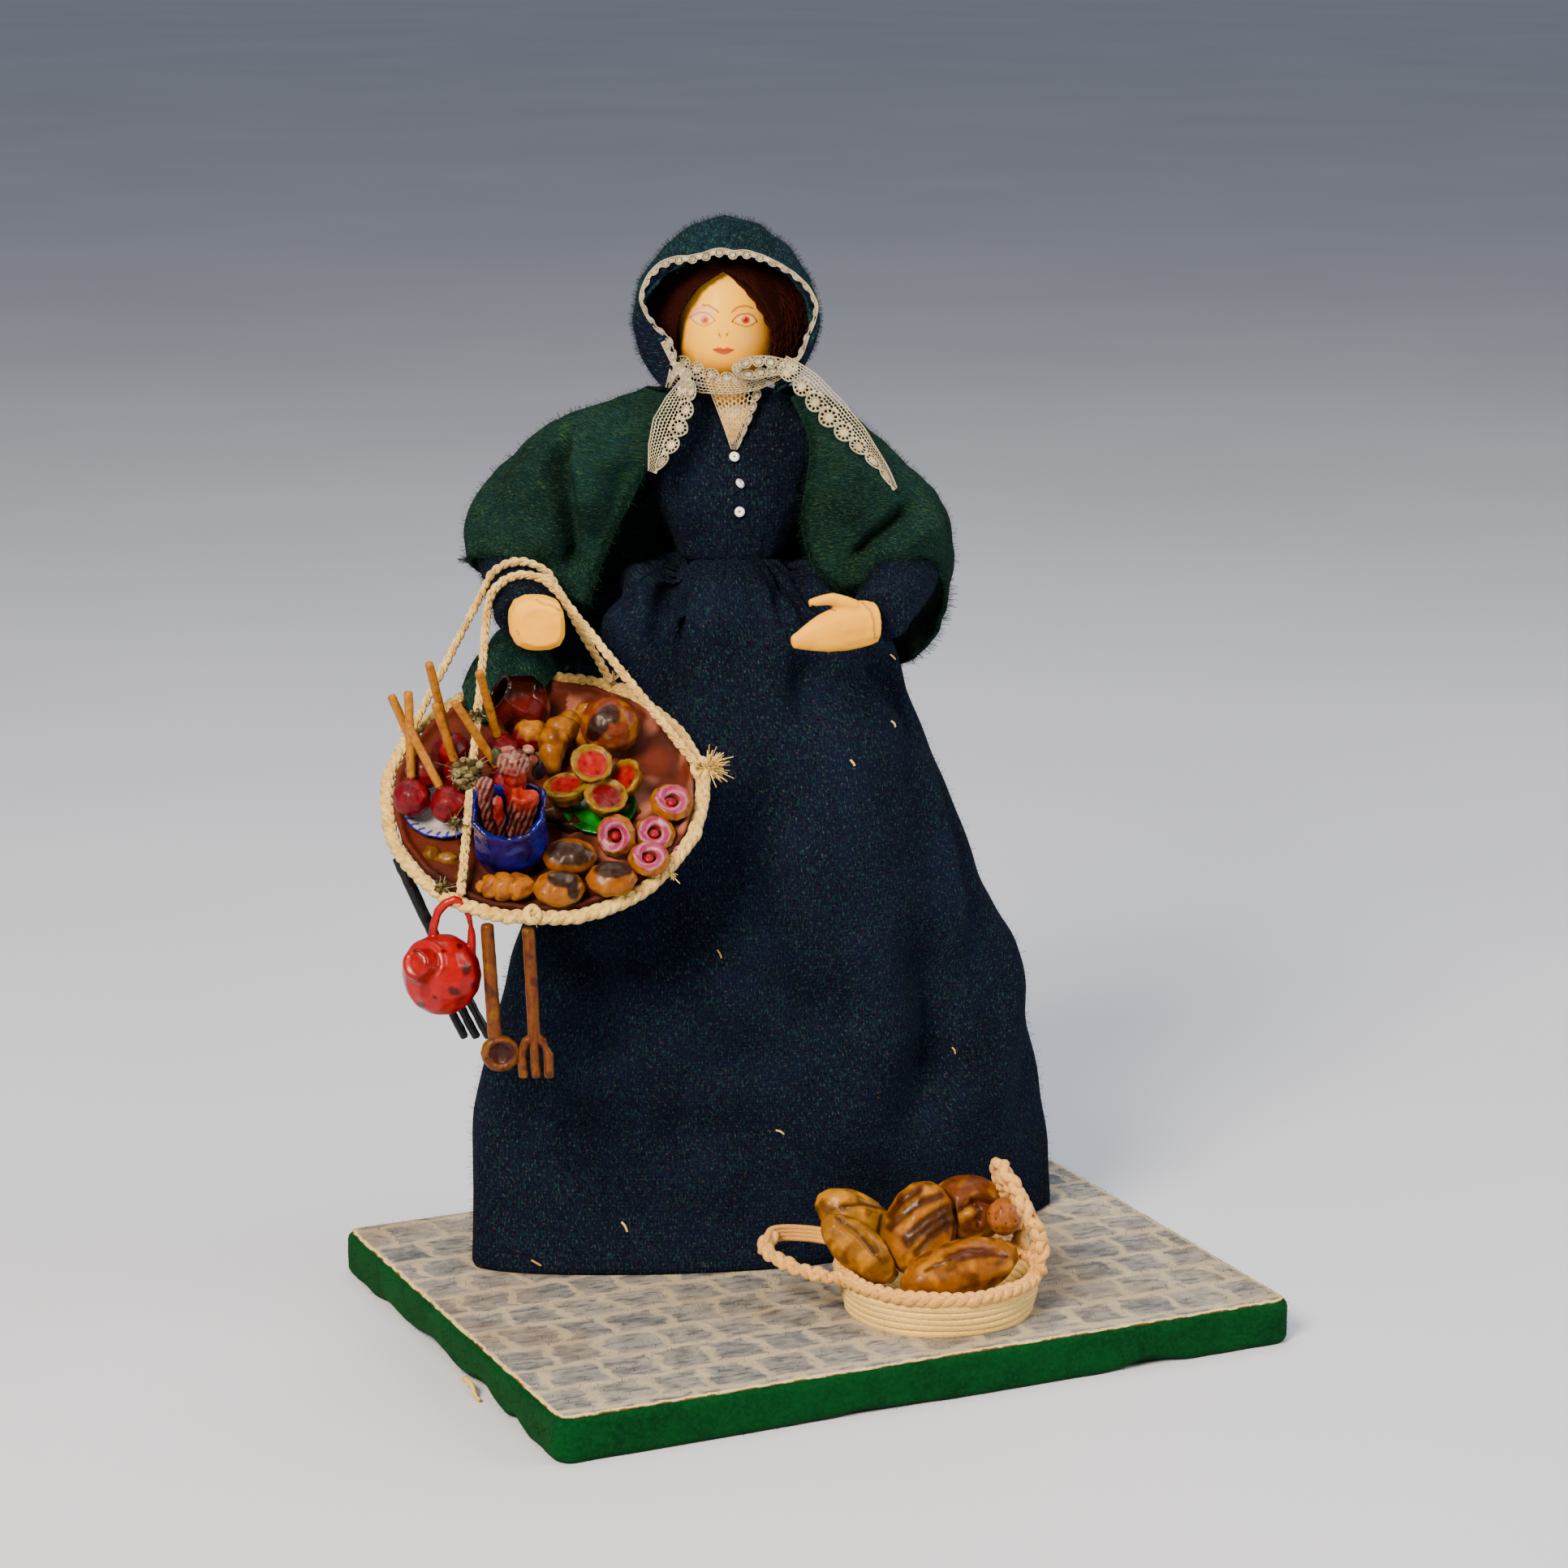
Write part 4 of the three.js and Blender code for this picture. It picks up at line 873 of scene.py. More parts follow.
FIBRES = fibre_tree()
SOCKETS = {item.name: item.identifier for item in FIBRES.interface.items_tree if item.in_out == "INPUT"}


def grow(name, skin, material, per_mm2, length_mm, seed, slot, thick_mm=0.07, lean=1.15):
    """Fibres on a copy of a piece's surface, as a plain mesh that rides with it."""
    piece = linked(name, skin.data.copy())
    growth = piece.modifiers.new("growth", "NODES")
    growth.node_group = FIBRES
    values = {"Density": per_mm2 * 1e6, "Length": length_mm * MM, "Thickness": thick_mm * MM}
    values |= {"Lean": lean, "Seed": seed, "Material": MATERIALS[material]}
    for socket, value in values.items():
        growth[SOCKETS[socket]] = value
    baked(piece)
    return finish_piece(piece, material, slot)


def fibre_material(name, dark, middle, light, sheen):
    """Loose fibres: each one takes its own shade."""
    tree, shader = new_material(name)
    colour = ramp(tree, own_shade(tree), (0.0, dark), (0.5, middle), (0.85, middle), (1.0, light))
    surface(tree, shader, colour, Roughness=0.9, Specular_IOR_Level=0.05)
    set_shader(shader, Sheen_Weight=0.03, Sheen_Tint=sheen)


fibre_material("navy_wool_fibre", "#04060C", "#080F15", "#1C3036", "#28393F")
fibre_material("green_wool_fibre", "#040D09", "#071C14", "#20432C", "#2B5140")
fibre_material("felt_wool_fibre", "#021A08", "#042A0E", "#12401F", "#1C4A2B")
fibre_material("jute_fibre", "#A47F32", "#C8AC66", "#DAC896", "#D2C18F")
felt_halo = grow("felt_halo", felt, "felt_wool_fibre", 0.4, 0.9, 5, "felt", 0.08, 1.1)
fibres = coordinates(felt_halo)
fibres[:, 2] = np.maximum(fibres[:, 2], 0.2 * MM)
move_points(felt_halo, fibres)

# %% [markdown]
# ## The skirt
#
# A long rectangle of tweed is gathered on a thread at the waist and hangs free to a turned-up hem. Its
# outline is a row of ovals, fitted to the photograph from waist to hem. Tight pleats leave the waist and
# melt into broad folds, and each fold that the photograph shows is pressed in along its own line.

# %% Where a pixel of the photograph meets a surface
CAMERA_AXES = camera.rotation_quaternion.to_matrix()


def sight(pixel_x, pixel_y):
    """The line of sight through a pixel of the square photograph, as start and direction in doll space."""
    half = FRAME_PIXELS / 2
    away = CAMERA_AXES @ Vector((pixel_x - half, half - pixel_y, -FOCAL_PIXELS)).normalized()
    ends = to_doll([CAMERA_PLACE, CAMERA_PLACE + away])
    way = ends[1] - ends[0]
    return Vector(ends[0]), Vector(way).normalized()


def at_depth(pixels, depth):
    """Doll-space points that those pixels show, at a given depth y behind the doll's front."""
    found = []
    for pixel in pixels:
        start, way = sight(*pixel)
        found.append(tuple(start + way * ((depth - start.y) / way.y)))
    return found


def tree_from(points, faces):
    return BVHTree.FromPolygons([tuple(p) for p in points], faces)


# From the lens to the doll, in millimetres.
DOLL_DISTANCE = 1150


def seen(tree, pixels):
    """The points of a surface that those pixels show; a pixel that misses takes the nearest point."""
    found = []
    for pixel in pixels:
        start, way = sight(*pixel)
        hit = tree.ray_cast(start, way)[0]
        if hit is None:
            hit = tree.find_nearest(start + way * DOLL_DISTANCE)[0]
        found.append(tuple(hit))
    return np.array(found)


def along_line(points, line):
    """For each point, its distance from a line of points and how far along the line it lies, 0 to 1."""
    line = np.asarray(line, float)
    lengths = np.linalg.norm(np.diff(line, axis=0), axis=1)
    starts = np.concatenate([[0], np.cumsum(lengths)])
    best = np.full(len(points), 1e9)
    share = np.zeros(len(points))
    for k in range(len(line) - 1):
        way = line[k + 1] - line[k]
        t = np.clip((points - line[k]) @ way / (way @ way), 0, 1)
        gap = np.linalg.norm(points - line[k] - t[:, None] * way, axis=1)
        closer = gap < best
        best = np.where(closer, gap, best)
        share = np.where(closer, (starts[k] + t * lengths[k]) / starts[-1], share)
    return best, share


def press_folds(points, outward, tree, folds):
    """Moves points out along each fold's line by its height, or in where the height is negative."""
    moved = np.zeros(len(points))
    for pixels, wide, high, start, end in folds:
        line = seen(tree, pixels)
        gap, share = along_line(points, spline(line, 16) if len(line) > 2 else line)
        fade = step_between(0, start, share) if start else 1.0
        fade = fade * (1 - step_between(1 - end, 1, share)) if end else fade
        moved += high * fade * np.exp(-((gap / wide) ** 2))
    return points + outward * moved[:, None]


def grid_normals(grid, loop_columns=False):
    """Outward directions of a grid of points, rows going up and columns going anticlockwise."""
    if loop_columns:
        across = np.roll(grid, -1, 1) - np.roll(grid, 1, 1)
    else:
        across = np.gradient(grid, axis=1)
    upward = np.gradient(grid, axis=0)
    square = np.cross(across, upward)
    return square / np.maximum(np.linalg.norm(square, axis=2), 1e-9)[..., None]


def cloth_uv(grid):
    """Unrolled cloth coordinates in millimetres: across from the middle column, and up from the first row."""
    steps = np.linalg.norm(np.diff(grid, axis=1), axis=2)
    u = np.concatenate([np.zeros((len(grid), 1)), np.cumsum(steps, axis=1)], axis=1)
    middle = grid.shape[1] // 2
    u -= u[:, middle : middle + 1]
    rise = np.linalg.norm(np.diff(grid, axis=0), axis=2).mean(axis=1)
    v = np.concatenate([[0], np.cumsum(rise)])[:, None] + np.zeros((1, grid.shape[1]))
    return np.stack([u, v], axis=2)


print("the waist is seen along", np.round(sight(905, 660)[1], 3).tolist())

# %% The skirt's outline
# Height over the board, half width, depth in front, depth behind, sideways shift.
SKIRT = np.array([
    (0, 86.7, 30, 46, 11.7),
    (20, 85.3, 31, 46, 11.6),
    (43, 81.2, 33, 44, 9.3),
    (62, 75.2, 34, 42, 8.3),
    (84, 70.4, 34, 41, 9.4),
    (104, 61.2, 33, 39, 8.8),
    (127, 53.6, 31, 36, 8.0),
    (150, 47.0, 28.5, 32, 5.8),
    (170, 42.0, 26, 28, 2.8),
    (183, 36.0, 23.5, 24, 1.4),
    (191, 28.5, 19, 19, 1.0),
    (195.5, 15.5, 12, 12, 1.0),
])
HEM_TURN, HEM_FORWARD, HEM_POWER = 19.3, 4.9, 1.5
PLEATS = 10
SKIRT_COLUMNS, SKIRT_ROWS = 380, 132
HEM_FOLD, HEM_THICK, HEM_GAP = 11.0, 1.1, 0.6
GATHER_ROWS = 30


def skirt_ring(height, angles):
    """One level of the skirt in doll millimetres."""
    top = SKIRT[-1, 0]
    wide, front, behind, shift = (np.interp(height, SKIRT[:, 0], SKIRT[:, k]) for k in range(1, 5))
    share = height / top
    turn = math.radians(HEM_TURN * (1 - share))
    follow = 1 - step_between(0.55, 1, share)
    power = 2 + (HEM_POWER - 2) * follow
    c, s = np.cos(angles), np.sin(angles)
    blunt = (np.abs(c) ** power + np.abs(s) ** power) ** (-1 / power)
    reach = np.where(s < 0, blunt, 1.0)
    pleats = 0.07 * step_between(0.72, 0.97, share) * np.cos(PLEATS * angles)
    fine = 0.03 * step_between(0.86, 0.99, share) * np.cos(3 * PLEATS * angles + 1.0)
    broad = 0.035 * step_between(0, 0.3, share) * (1 - step_between(0.6, 1, share))
    reach = reach * (1 + pleats + fine + broad * (np.sin(5 * angles) + 0.6 * np.sin(8 * angles)))
    x, y = wide * reach * c, np.where(s < 0, front, behind) * reach * s
    across = x * math.cos(turn) - y * math.sin(turn)
    back = x * math.sin(turn) + y * math.cos(turn)
    level = np.full(len(angles), BOARD_TOP + height)
    return np.stack([shift + across, back - HEM_FORWARD * follow, level], 1)


angles = full_turn(SKIRT_COLUMNS) + math.pi / 2
falling = np.linspace(HEM_GAP, 170, SKIRT_ROWS - GATHER_ROWS)
heights = np.concatenate([falling, np.linspace(171.5, SKIRT[-1, 0], GATHER_ROWS)])
plain = np.array([skirt_ring(h, angles) for h in heights])
for _ in range(3):
    plain[1:-1] = (plain[:-2] + plain[1:-1] * 2 + plain[2:]) / 4
print("hem round:", round(length_of(plain[0])), "mm")

# %% Folds from the photograph
# Each fold: pixels along its line, half width, height (negative goes in), and how it fades at its two ends.
SKIRT_FOLDS = [
    ([(842, 680), (826, 740), (824, 820), (834, 930)], 4.2, -9.5, 0.05, 0.5),
    ([(905, 690), (892, 770), (884, 870)], 10, 4.2, 0.1, 0.6),
    ([(872, 690), (852, 725), (846, 780)], 1.6, -2.8, 0.1, 0.6),
    ([(893, 686), (896, 715)], 1.4, -1.8, 0.1, 0.6),
    ([(918, 684), (922, 722)], 1.6, -2.2, 0.1, 0.6),
    ([(944, 684), (962, 735), (968, 800)], 2.4, -4.6, 0.1, 0.6),
    ([(958, 682), (990, 722), (1020, 770)], 2.8, -6.0, 0.1, 0.4),
    ([(975, 700), (1000, 740)], 2.4, 2.6, 0.1, 0.4),
    ([(800, 700), (770, 770), (760, 860)], 8, 4.6, 0.15, 0.6),
    ([(752, 690), (738, 760), (730, 840)], 4.0, -6.0, 0.1, 0.5),
    ([(1012, 800), (998, 850), (1008, 915)], 6.0, -6.5, 0.3, 0.5),
    ([(1120, 790), (1124, 880), (1108, 950)], 4.5, -5.0, 0.2, 0.5),
    ([(962, 880), (948, 960), (940, 1080), (970, 1170), (1040, 1262), (1080, 1330)], 10, -7.5, 0.25, 0.25),
    ([(1040, 900), (1062, 1000), (1092, 1130)], 12, 3.6, 0.3, 0.4),
    ([(1106, 870), (1146, 1000), (1178, 1130), (1186, 1210)], 5.0, 4.8, 0.3, 0.3),
    ([(1110, 1110), (1166, 1235), (1156, 1330), (1096, 1430)], 9.0, -10.5, 0.3, 0.4),
    ([(1215, 1120), (1238, 1220), (1228, 1330), (1204, 1430)], 8.5, 5.0, 0.3, 0.5),
    ([(728, 1140), (734, 1240), (764, 1320)], 8, -6.0, 0.3, 0.3),
    ([(806, 1170), (796, 1270), (806, 1360)], 13, 4.0, 0.3, 0.4),
    ([(632, 1285), (676, 1358), (744, 1392)], 5.5, -5.5, 0.3, 0.3),
    ([(790, 1376), (862, 1400), (960, 1380)], 8, -3.6, 0.3, 0.4),
    ([(905, 1120), (890, 1220), (900, 1330)], 13, 3.8, 0.3, 0.4),
    ([(1010, 1330), (1040, 1400), (1050, 1490)], 12, 3.4, 0.4, 0.5),
]
flat = plain.reshape(-1, 3)
skirt_faces = grid_faces(len(heights), SKIRT_COLUMNS, loop_columns=True)
outward = grid_normals(plain, True).reshape(-1, 3)
folded = press_folds(flat, outward, tree_from(flat, skirt_faces), SKIRT_FOLDS)
stretched = folded * (1.0, 1.0, 0.45)
gentle = 0.9 * rough(stretched, 17, 21) + 0.35 * rough(stretched, 6, 33)
settled = step_between(0, 18, folded[:, 2] - BOARD_TOP) * 0.75 + 0.25
folded = folded + outward * (gentle * settled)[:, None]
grid = folded.reshape(plain.shape)
grid[0, :, 2] = BOARD_TOP + HEM_GAP

# %% Turn up the hem and make the piece
ring_out = grid_normals(grid, True)
inner_heights = np.linspace(0, HEM_FOLD, 8)
hem_rows = []
for rise in inner_heights[::-1]:
    columns = grid[:, :, :2].reshape(len(grid), -1).T
    row = [np.interp(rise, heights - heights[0], column) for column in columns]
    level = np.c_[np.reshape(row, (-1, 2)), np.full(SKIRT_COLUMNS, BOARD_TOP + HEM_GAP + rise)]
    level[:, :2] -= ring_out[0][:, :2] * HEM_THICK
    hem_rows.append(level)
turn_under = grid[0].copy()
turn_under[:, :2] -= ring_out[0][:, :2] * HEM_THICK * 0.5
turn_under[:, 2] = BOARD_TOP + 0.15
whole = np.concatenate([np.array(hem_rows), turn_under[None], grid], axis=0)
wrapped = np.concatenate([whole, whole[:, :1]], axis=1)
skirt = object_from(
    "gathered_skirt",
    from_doll(wrapped.reshape(-1, 3)),
    grid_faces(len(whole), SKIRT_COLUMNS + 1),
    cloth_uv(wrapped).reshape(-1, 2),
)
finish_piece(weld(skirt), "navy_brushed_tweed", "dress_tweed", "skirt")
area = sum(face.area for face in skirt.data.polygons)
skirt_nap = grow("skirt_nap", skirt, "navy_wool_fibre", 0.36, 1.5, 7, "dress_tweed")
print("skirt cloth:", round(area, 4), "square metres")

# %% [markdown]
# ## Bodice and sleeves
#
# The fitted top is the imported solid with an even, softened skin. Cloth that small keeps a few wrinkles of
# its own where it bends, so slow noise stretched across the arm moves the skin, and the nap covers it.

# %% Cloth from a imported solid
def box_uv(piece):
    """Cloth coordinates in millimetres, drawn on each face from the side it looks towards."""
    local = to_doll(coordinates(piece))
    mesh = piece.data
    corner_points = np.zeros(len(mesh.loops), int)
    mesh.loops.foreach_get("vertex_index", corner_points)
    facing = np.zeros(len(mesh.polygons) * 3, np.float32)
    mesh.polygons.foreach_get("normal", facing)
    facing = np.abs(to_doll(facing.reshape(-1, 3)) - to_doll([(0, 0, 0)]))
    counts = np.zeros(len(mesh.polygons), int)
    mesh.polygons.foreach_get("loop_total", counts)
    side = np.repeat(np.argmax(facing * (1, 1.1, 0.9), axis=1), counts)
    u = np.where(side == 0, local[corner_points, 1], local[corner_points, 0])
    v = np.where(side == 2, local[corner_points, 1], local[corner_points, 2])
    layer = mesh.uv_layers.get("weave") or mesh.uv_layers.new(name="weave")
    layer.data.foreach_set("uv", np.stack([u, v], 1).astype(np.float32).ravel())


def faces_of(piece):
    return [tuple(face.vertices) for face in piece.data.polygons]


def outward_of(piece):
    return to_doll(normals(piece)) - to_doll([(0, 0, 0)])


def unit(rows):
    return rows / np.maximum(np.linalg.norm(rows, axis=1), 1e-9)[:, None]


def dressed_copy(node, name, folds, voxel, smooth, wrinkle, across=(1, 1, 1), seed=3, lift=0.0):
    """A softened copy of a cloth solid in doll space, with pressed folds and gentle wrinkles."""
    piece = refined(node, name, voxel, smooth)
    points = to_doll(coordinates(piece))
    way = unit(outward_of(piece))
    tree = tree_from(points, faces_of(piece))
    points = press_folds(points, way, tree, folds)
    height, size = wrinkle
    points += way * (height * rough(points * across, size, seed))[:, None]
    points += way * (0.18 * rough(points, 2.2, seed + 5))[:, None]
    points[:, 2] += lift * step_between(238, 250, points[:, 2])
    move_points(piece, from_doll(points))
    box_uv(piece)
    return piece


BODICE_FOLDS = [
    ([(908, 636), (914, 652), (934, 668)], 0.9, -1.1, 0.2, 0.2),
    ([(905, 556), (909, 600), (908, 636)], 0.7, -0.45, 0.0, 0.0),
    ([(842, 560), (850, 620), (862, 668)], 5, 0.8, 0.3, 0.3),
]
bodice = dressed_copy("bodice", "tweed_bodice", BODICE_FOLDS, 0.8, 3, (0.35, 8), seed=14, lift=4.5)
finish_piece(bodice, "navy_brushed_tweed", "dress_tweed", "bodice")
grow("bodice_nap", bodice, "navy_wool_fibre", 1.6, 1.2, 8, "dress_tweed")

LEFT_FOLDS = [
    ([(1078, 716), (1105, 706), (1140, 720)], 1.5, -0.9, 0.3, 0.3),
    ([(1090, 735), (1125, 728), (1160, 748)], 1.6, -0.9, 0.3, 0.3),
]
RIGHT_FOLDS = [([(622, 715), (612, 745), (618, 780)], 1.6, -0.8, 0.3, 0.3)]
for side, folds in (("left", LEFT_FOLDS), ("right", RIGHT_FOLDS)):
    node = f"sleeve_{side}"
    sleeve = dressed_copy(node, f"tweed_{node}", folds, 0.75, 5, (0.7, 7), (0.6, 1, 1.5), seed=len(side))
    finish_piece(sleeve, "navy_brushed_tweed", "dress_tweed", node)
    grow(f"{node}_nap", sleeve, "navy_wool_fibre", 1.8, 1.2, 9, "dress_tweed")

# %% [markdown]
# ## The shawl
#
# A triangle of green tweed lies round her shoulders, open in front and pointed behind. Ribs drawn from
# the neck to the hem set its shape; the cloth is stretched between them as a fine grid. Two deep
# creases show in the photograph, one on each shoulder. The cut edges are frayed, so longer fibres grow
# along them.

# %% Ribs and cloth
SHAWL_RIBS = [
    [(-12, -13, 254), (-21.5, -20, 235), (-32, -22.5, 213), (-37, -21, 198)],
    [(-17, -9, 254.5), (-33, -19.5, 240), (-43, -23, 216), (-42, -21.5, 199)],
    [(-21, -3, 255), (-43, -9, 246.5), (-58, -18, 224), (-59, -20, 210)],
    [(-22.5, 0, 255), (-50, -2, 243), (-69.5, -5, 224), (-71.5, -7, 208)],
    [(-21.5, 3, 254.5), (-50, 4, 242), (-69.5, 3, 221), (-70.5, 2, 204)],
    [(-21, 4, 254.3), (-49, 7, 241), (-67, 7, 218), (-66, 6, 206), (-61, 3, 196)],
    [(-20.5, 5, 254), (-46, 10, 239.5), (-62, 11, 215), (-62, 9, 199), (-60, -2, 189), (-64, -15, 182)],
    [(-18, 8, 253.5), (-42, 13, 238), (-57, 15, 212), (-60, 12, 196), (-62, -6, 187), (-67, -24, 182),
     (-71, -31, 176)],
    [(-17, 9, 253.3), (-39, 15, 237.5), (-54, 19, 210), (-58, 15, 192), (-59, -6, 186.5), (-62, -27, 183),
     (-65, -37, 168)],
    [(-16, 9.5, 253), (-37, 16, 237), (-51, 22, 208), (-57, 17, 189), (-54, -6, 186), (-54, -27, 183.5),
     (-55, -35, 172)],
    [(-14, 10.3, 252.6), (-33, 18.5, 236.5), (-47, 25, 206), (-54, 22, 183), (-48, 2, 181), (-44, -12, 179)],
    [(-12, 11, 252), (-30, 20, 236), (-43, 28, 205), (-55, 30, 158)],
    [(0, 12, 251), (0, 23.5, 229), (0, 32, 196), (0, 43, 147)],
    [(10, 11, 252), (26, 20, 235), (36, 28, 203), (34, 34, 166)],
    [(18, 6, 254), (39, 9.5, 239), (57, 9, 213), (58, 10, 192), (51.5, 13, 176)],
    [(22, 0, 255), (42, -2, 240.5), (62.5, -5.5, 217), (61, -7, 197)],
    [(23, -4, 255), (37, -10, 245.5), (54, -18, 222), (54, -20, 211)],
    [(22, -9, 254.5), (30, -17, 240), (38, -23, 218), (41, -21.5, 205)],
    [(18.5, -12.5, 254), (23, -17.5, 242), (20.5, -21.5, 220), (24, -22, 208), (31, -22, 202)],
]
SHAWL_ROWS, SHAWL_COLUMNS = 96, 250
SHAWL_THICK = 1.3
SHAWL_FOLDS = [
    ([(676, 522), (688, 560), (697, 610), (703, 660), (702, 715)], 2.6, -9.0, 0.08, 0.15),
    ([(650, 560), (652, 630), (676, 700)], 6.5, 4.0, 0.2, 0.2),
    ([(716, 524), (722, 590), (722, 660)], 5.0, 3.2, 0.2, 0.3),
    ([(786, 560), (760, 620), (732, 690)], 4.5, -4.0, 0.2, 0.2),
    ([(618, 600), (600, 650), (606, 700)], 4.0, -2.4, 0.2, 0.3),
    ([(1156, 610), (1118, 630), (1080, 662), (1054, 692)], 1.9, -5.5, 0.12, 0.12),
    ([(1166, 645), (1124, 662), (1090, 696)], 4.0, 3.0, 0.2, 0.2),
    ([(1060, 560), (1040, 600), (1020, 640)], 5.0, 2.4, 0.2, 0.3),
    ([(1110, 560), (1080, 610), (1050, 650)], 8, 1.6, 0.2, 0.3),
    ([(1022, 540), (1010, 600), (1012, 660)], 5, -0.9, 0.2, 0.2),
]


def cloth_area_of(piece):
    """Half the surface of thick cloth, in square metres."""
    return sum(face.area for face in piece.data.polygons) / 2


def cloth_of_ribs(ribs, rows, columns):
    """A fine grid stretched over ribs: along each rib, then across them."""
    fine = [spline(rib, rows) for rib in ribs]
    return np.array([spline([rib[i] for rib in fine], columns) for i in range(rows)])


def thick_cloth(name, grid, thickness, faces_out):
    """A grid of cloth with a front, a back and closed edges; both faces share unrolled coordinates."""
    rows, columns = grid.shape[:2]
    way = grid_normals(grid) * faces_out
    back = grid - way * thickness
    uv = cloth_uv(grid)
    front_faces = grid_faces(rows, columns)
    if faces_out < 0:
        front_faces = [face[::-1] for face in front_faces]
    count = rows * columns
    back_faces = [tuple(i + count for i in face[::-1]) for face in front_faces]
    edge = [j for j in range(columns)] + [i * columns + columns - 1 for i in range(1, rows)]
    edge += [(rows - 1) * columns + j for j in range(columns - 2, -1, -1)]
    edge += [i * columns for i in range(rows - 2, 0, -1)]
    rim = []
    for a, b in zip(edge, edge[1:] + edge[:1]):
        quad = (b, a, a + count, b + count)
        rim.append(quad if faces_out > 0 else quad[::-1])
    points = np.concatenate([grid.reshape(-1, 3), back.reshape(-1, 3)])
    flat_uv = np.concatenate([uv.reshape(-1, 2)] * 2)
    return object_from(name, from_doll(points), front_faces + back_faces + rim, flat_uv)


cloth = cloth_of_ribs(SHAWL_RIBS, SHAWL_ROWS, SHAWL_COLUMNS)
way = grid_normals(cloth)
faces_out = 1.0 if way[SHAWL_ROWS // 2, SHAWL_COLUMNS // 2][1] > 0 else -1.0
way = (way * faces_out).reshape(-1, 3)
flat = cloth.reshape(-1, 3)
flat = press_folds(flat, way, tree_from(flat, grid_faces(SHAWL_ROWS, SHAWL_COLUMNS)), SHAWL_FOLDS)
flat += way * (1.5 * rough(flat, 17, 8) + 0.8 * rough(flat, 6, 2))[:, None]
cloth = flat.reshape(cloth.shape)
ragged = rough(cloth[-1], 3.5, 17)[:, None] * 0.5 + rough(cloth[-1], 1.1, 5)[:, None] * 0.3
cloth[-1] += (cloth[-1] - cloth[-2]) * ragged
shawl = thick_cloth("tweed_shawl", cloth, SHAWL_THICK, faces_out)
finish_piece(shawl, "green_brushed_tweed", "shawl_tweed", "shawl")
shawl_nap = grow("shawl_nap", shawl, "green_wool_fibre", 0.85, 1.25, 11, "shawl_tweed")


def edge_strips(cloth):
    """The border of a grid of cloth on its two sides and its last row, as one surface to fray."""
    bands = [cloth[-2:], cloth[:, :2], cloth[:, -2:]]
    return gather([(b.reshape(-1, 3), grid_faces(*b.shape[:2]), np.zeros((b.size // 3, 2))) for b in bands])


points, faces, _ = edge_strips(cloth)
border = object_from("shawl_border", from_doll(points), faces)
shawl_fray = grow("shawl_fray", border, "green_wool_fibre", 14, 2.0, 13, "shawl_tweed", 0.09, 1.4)
bpy.data.objects.remove(border)

# %% [markdown]
# ## The bonnet
#
# A soft tweed hood shaped over the wig, open in front. Inside the brim it is in deep shadow, and the cloth
# puckers a little where the lace is sewn on.

# %% Bonnet
BONNET_FOLDS = [
    ([(850, 300), (845, 330), (838, 352)], 2.5, -0.7, 0.2, 0.2),
    ([(950, 290), (965, 320), (978, 345)], 3, -0.7, 0.2, 0.2),
    ([(1000, 350), (1004, 400), (996, 440)], 3, 0.8, 0.2, 0.2),
    ([(905, 275), (880, 300), (866, 312)], 3, 0.6, 0.3, 0.3),
]
bonnet = dressed_copy("bonnet", "tweed_bonnet", BONNET_FOLDS, 0.75, 3, (0.6, 9), (1, 0.7, 1), seed=31)
finish_piece(bonnet, "teal_brushed_tweed", "dress_tweed", "bonnet")
bonnet_nap = grow("bonnet_nap", bonnet, "navy_wool_fibre", 1.6, 1.1, 15, "dress_tweed")

# %% [markdown]
# ## Painted clay, wood and glaze
#
# Everything small on this doll was shaped by hand and painted with a brush, then varnished. Each piece
# carries its brushwork as a colour for every point of its mesh; one recipe turns that into a finish with
# uneven gloss, small dents and a thin coat of varnish.

# %% A finish that reads brushwork
def painted_material(name, gloss, coat, grain_mm, dent, mottle):
    """Gloss is the roughness where the varnish is good; grain is the size of its unevenness."""
    tree, shader = new_material(name)
    place = object_place(tree)
    brushed = add(tree, "ShaderNodeAttribute", {"attribute_name": "paint"}).outputs["Color"]
    uneven = clouds(tree, place, grain_mm, 4.0)
    fine = clouds(tree, place, grain_mm / 4, 2.0)
    colour = mix(tree, 1.0, brushed, ramp(tree, uneven, (0.3, 1 - mottle), (0.7, 1.0)), "MULTIPLY")
    dull = ramp(tree, uneven, (0.3, gloss), (0.75, min(1.0, gloss + 0.25)))
    tree.links.new(dull, shader.inputs["Roughness"])
    height = sums(tree, "MULTIPLY_ADD", fine, 0.35, uneven)
    surface(tree, shader, colour, height, dent, Coat_Weight=coat)
    set_shader(shader, Coat_Roughness=0.07, Specular_IOR_Level=0.16)


painted_material("painted_limewood", 0.45, 0.03, 2.2, 0.05, 0.06)
painted_material("varnished_clay", 0.32, 0.07, 1.4, 0.06, 0.3)
painted_material("dry_clay", 0.6, 0.0, 0.9, 0.14, 0.25)
painted_material("gloss_glaze", 0.14, 0.2, 2.4, 0.035, 0.12)
painted_material("carved_boxwood", 0.38, 0.08, 0.9, 0.08, 0.35)
painted_material("stove_black_paint", 0.35, 0.1, 0.8, 0.06, 0.2)
painted_material("red_stove_enamel", 0.2, 0.12, 1.6, 0.03, 0.12)


def colour_rows(count, hex_colour):
    return np.tile(linear(hex_colour)[:3], (count, 1))


def brush(colours, hex_colour, amount):
    """Lays a colour over others; amount is 0 to 1 for each point."""
    amount = np.clip(np.broadcast_to(amount, len(colours)), 0, 1)[:, None]
    return colours * (1 - amount) + np.array(linear(hex_colour)[:3]) * amount


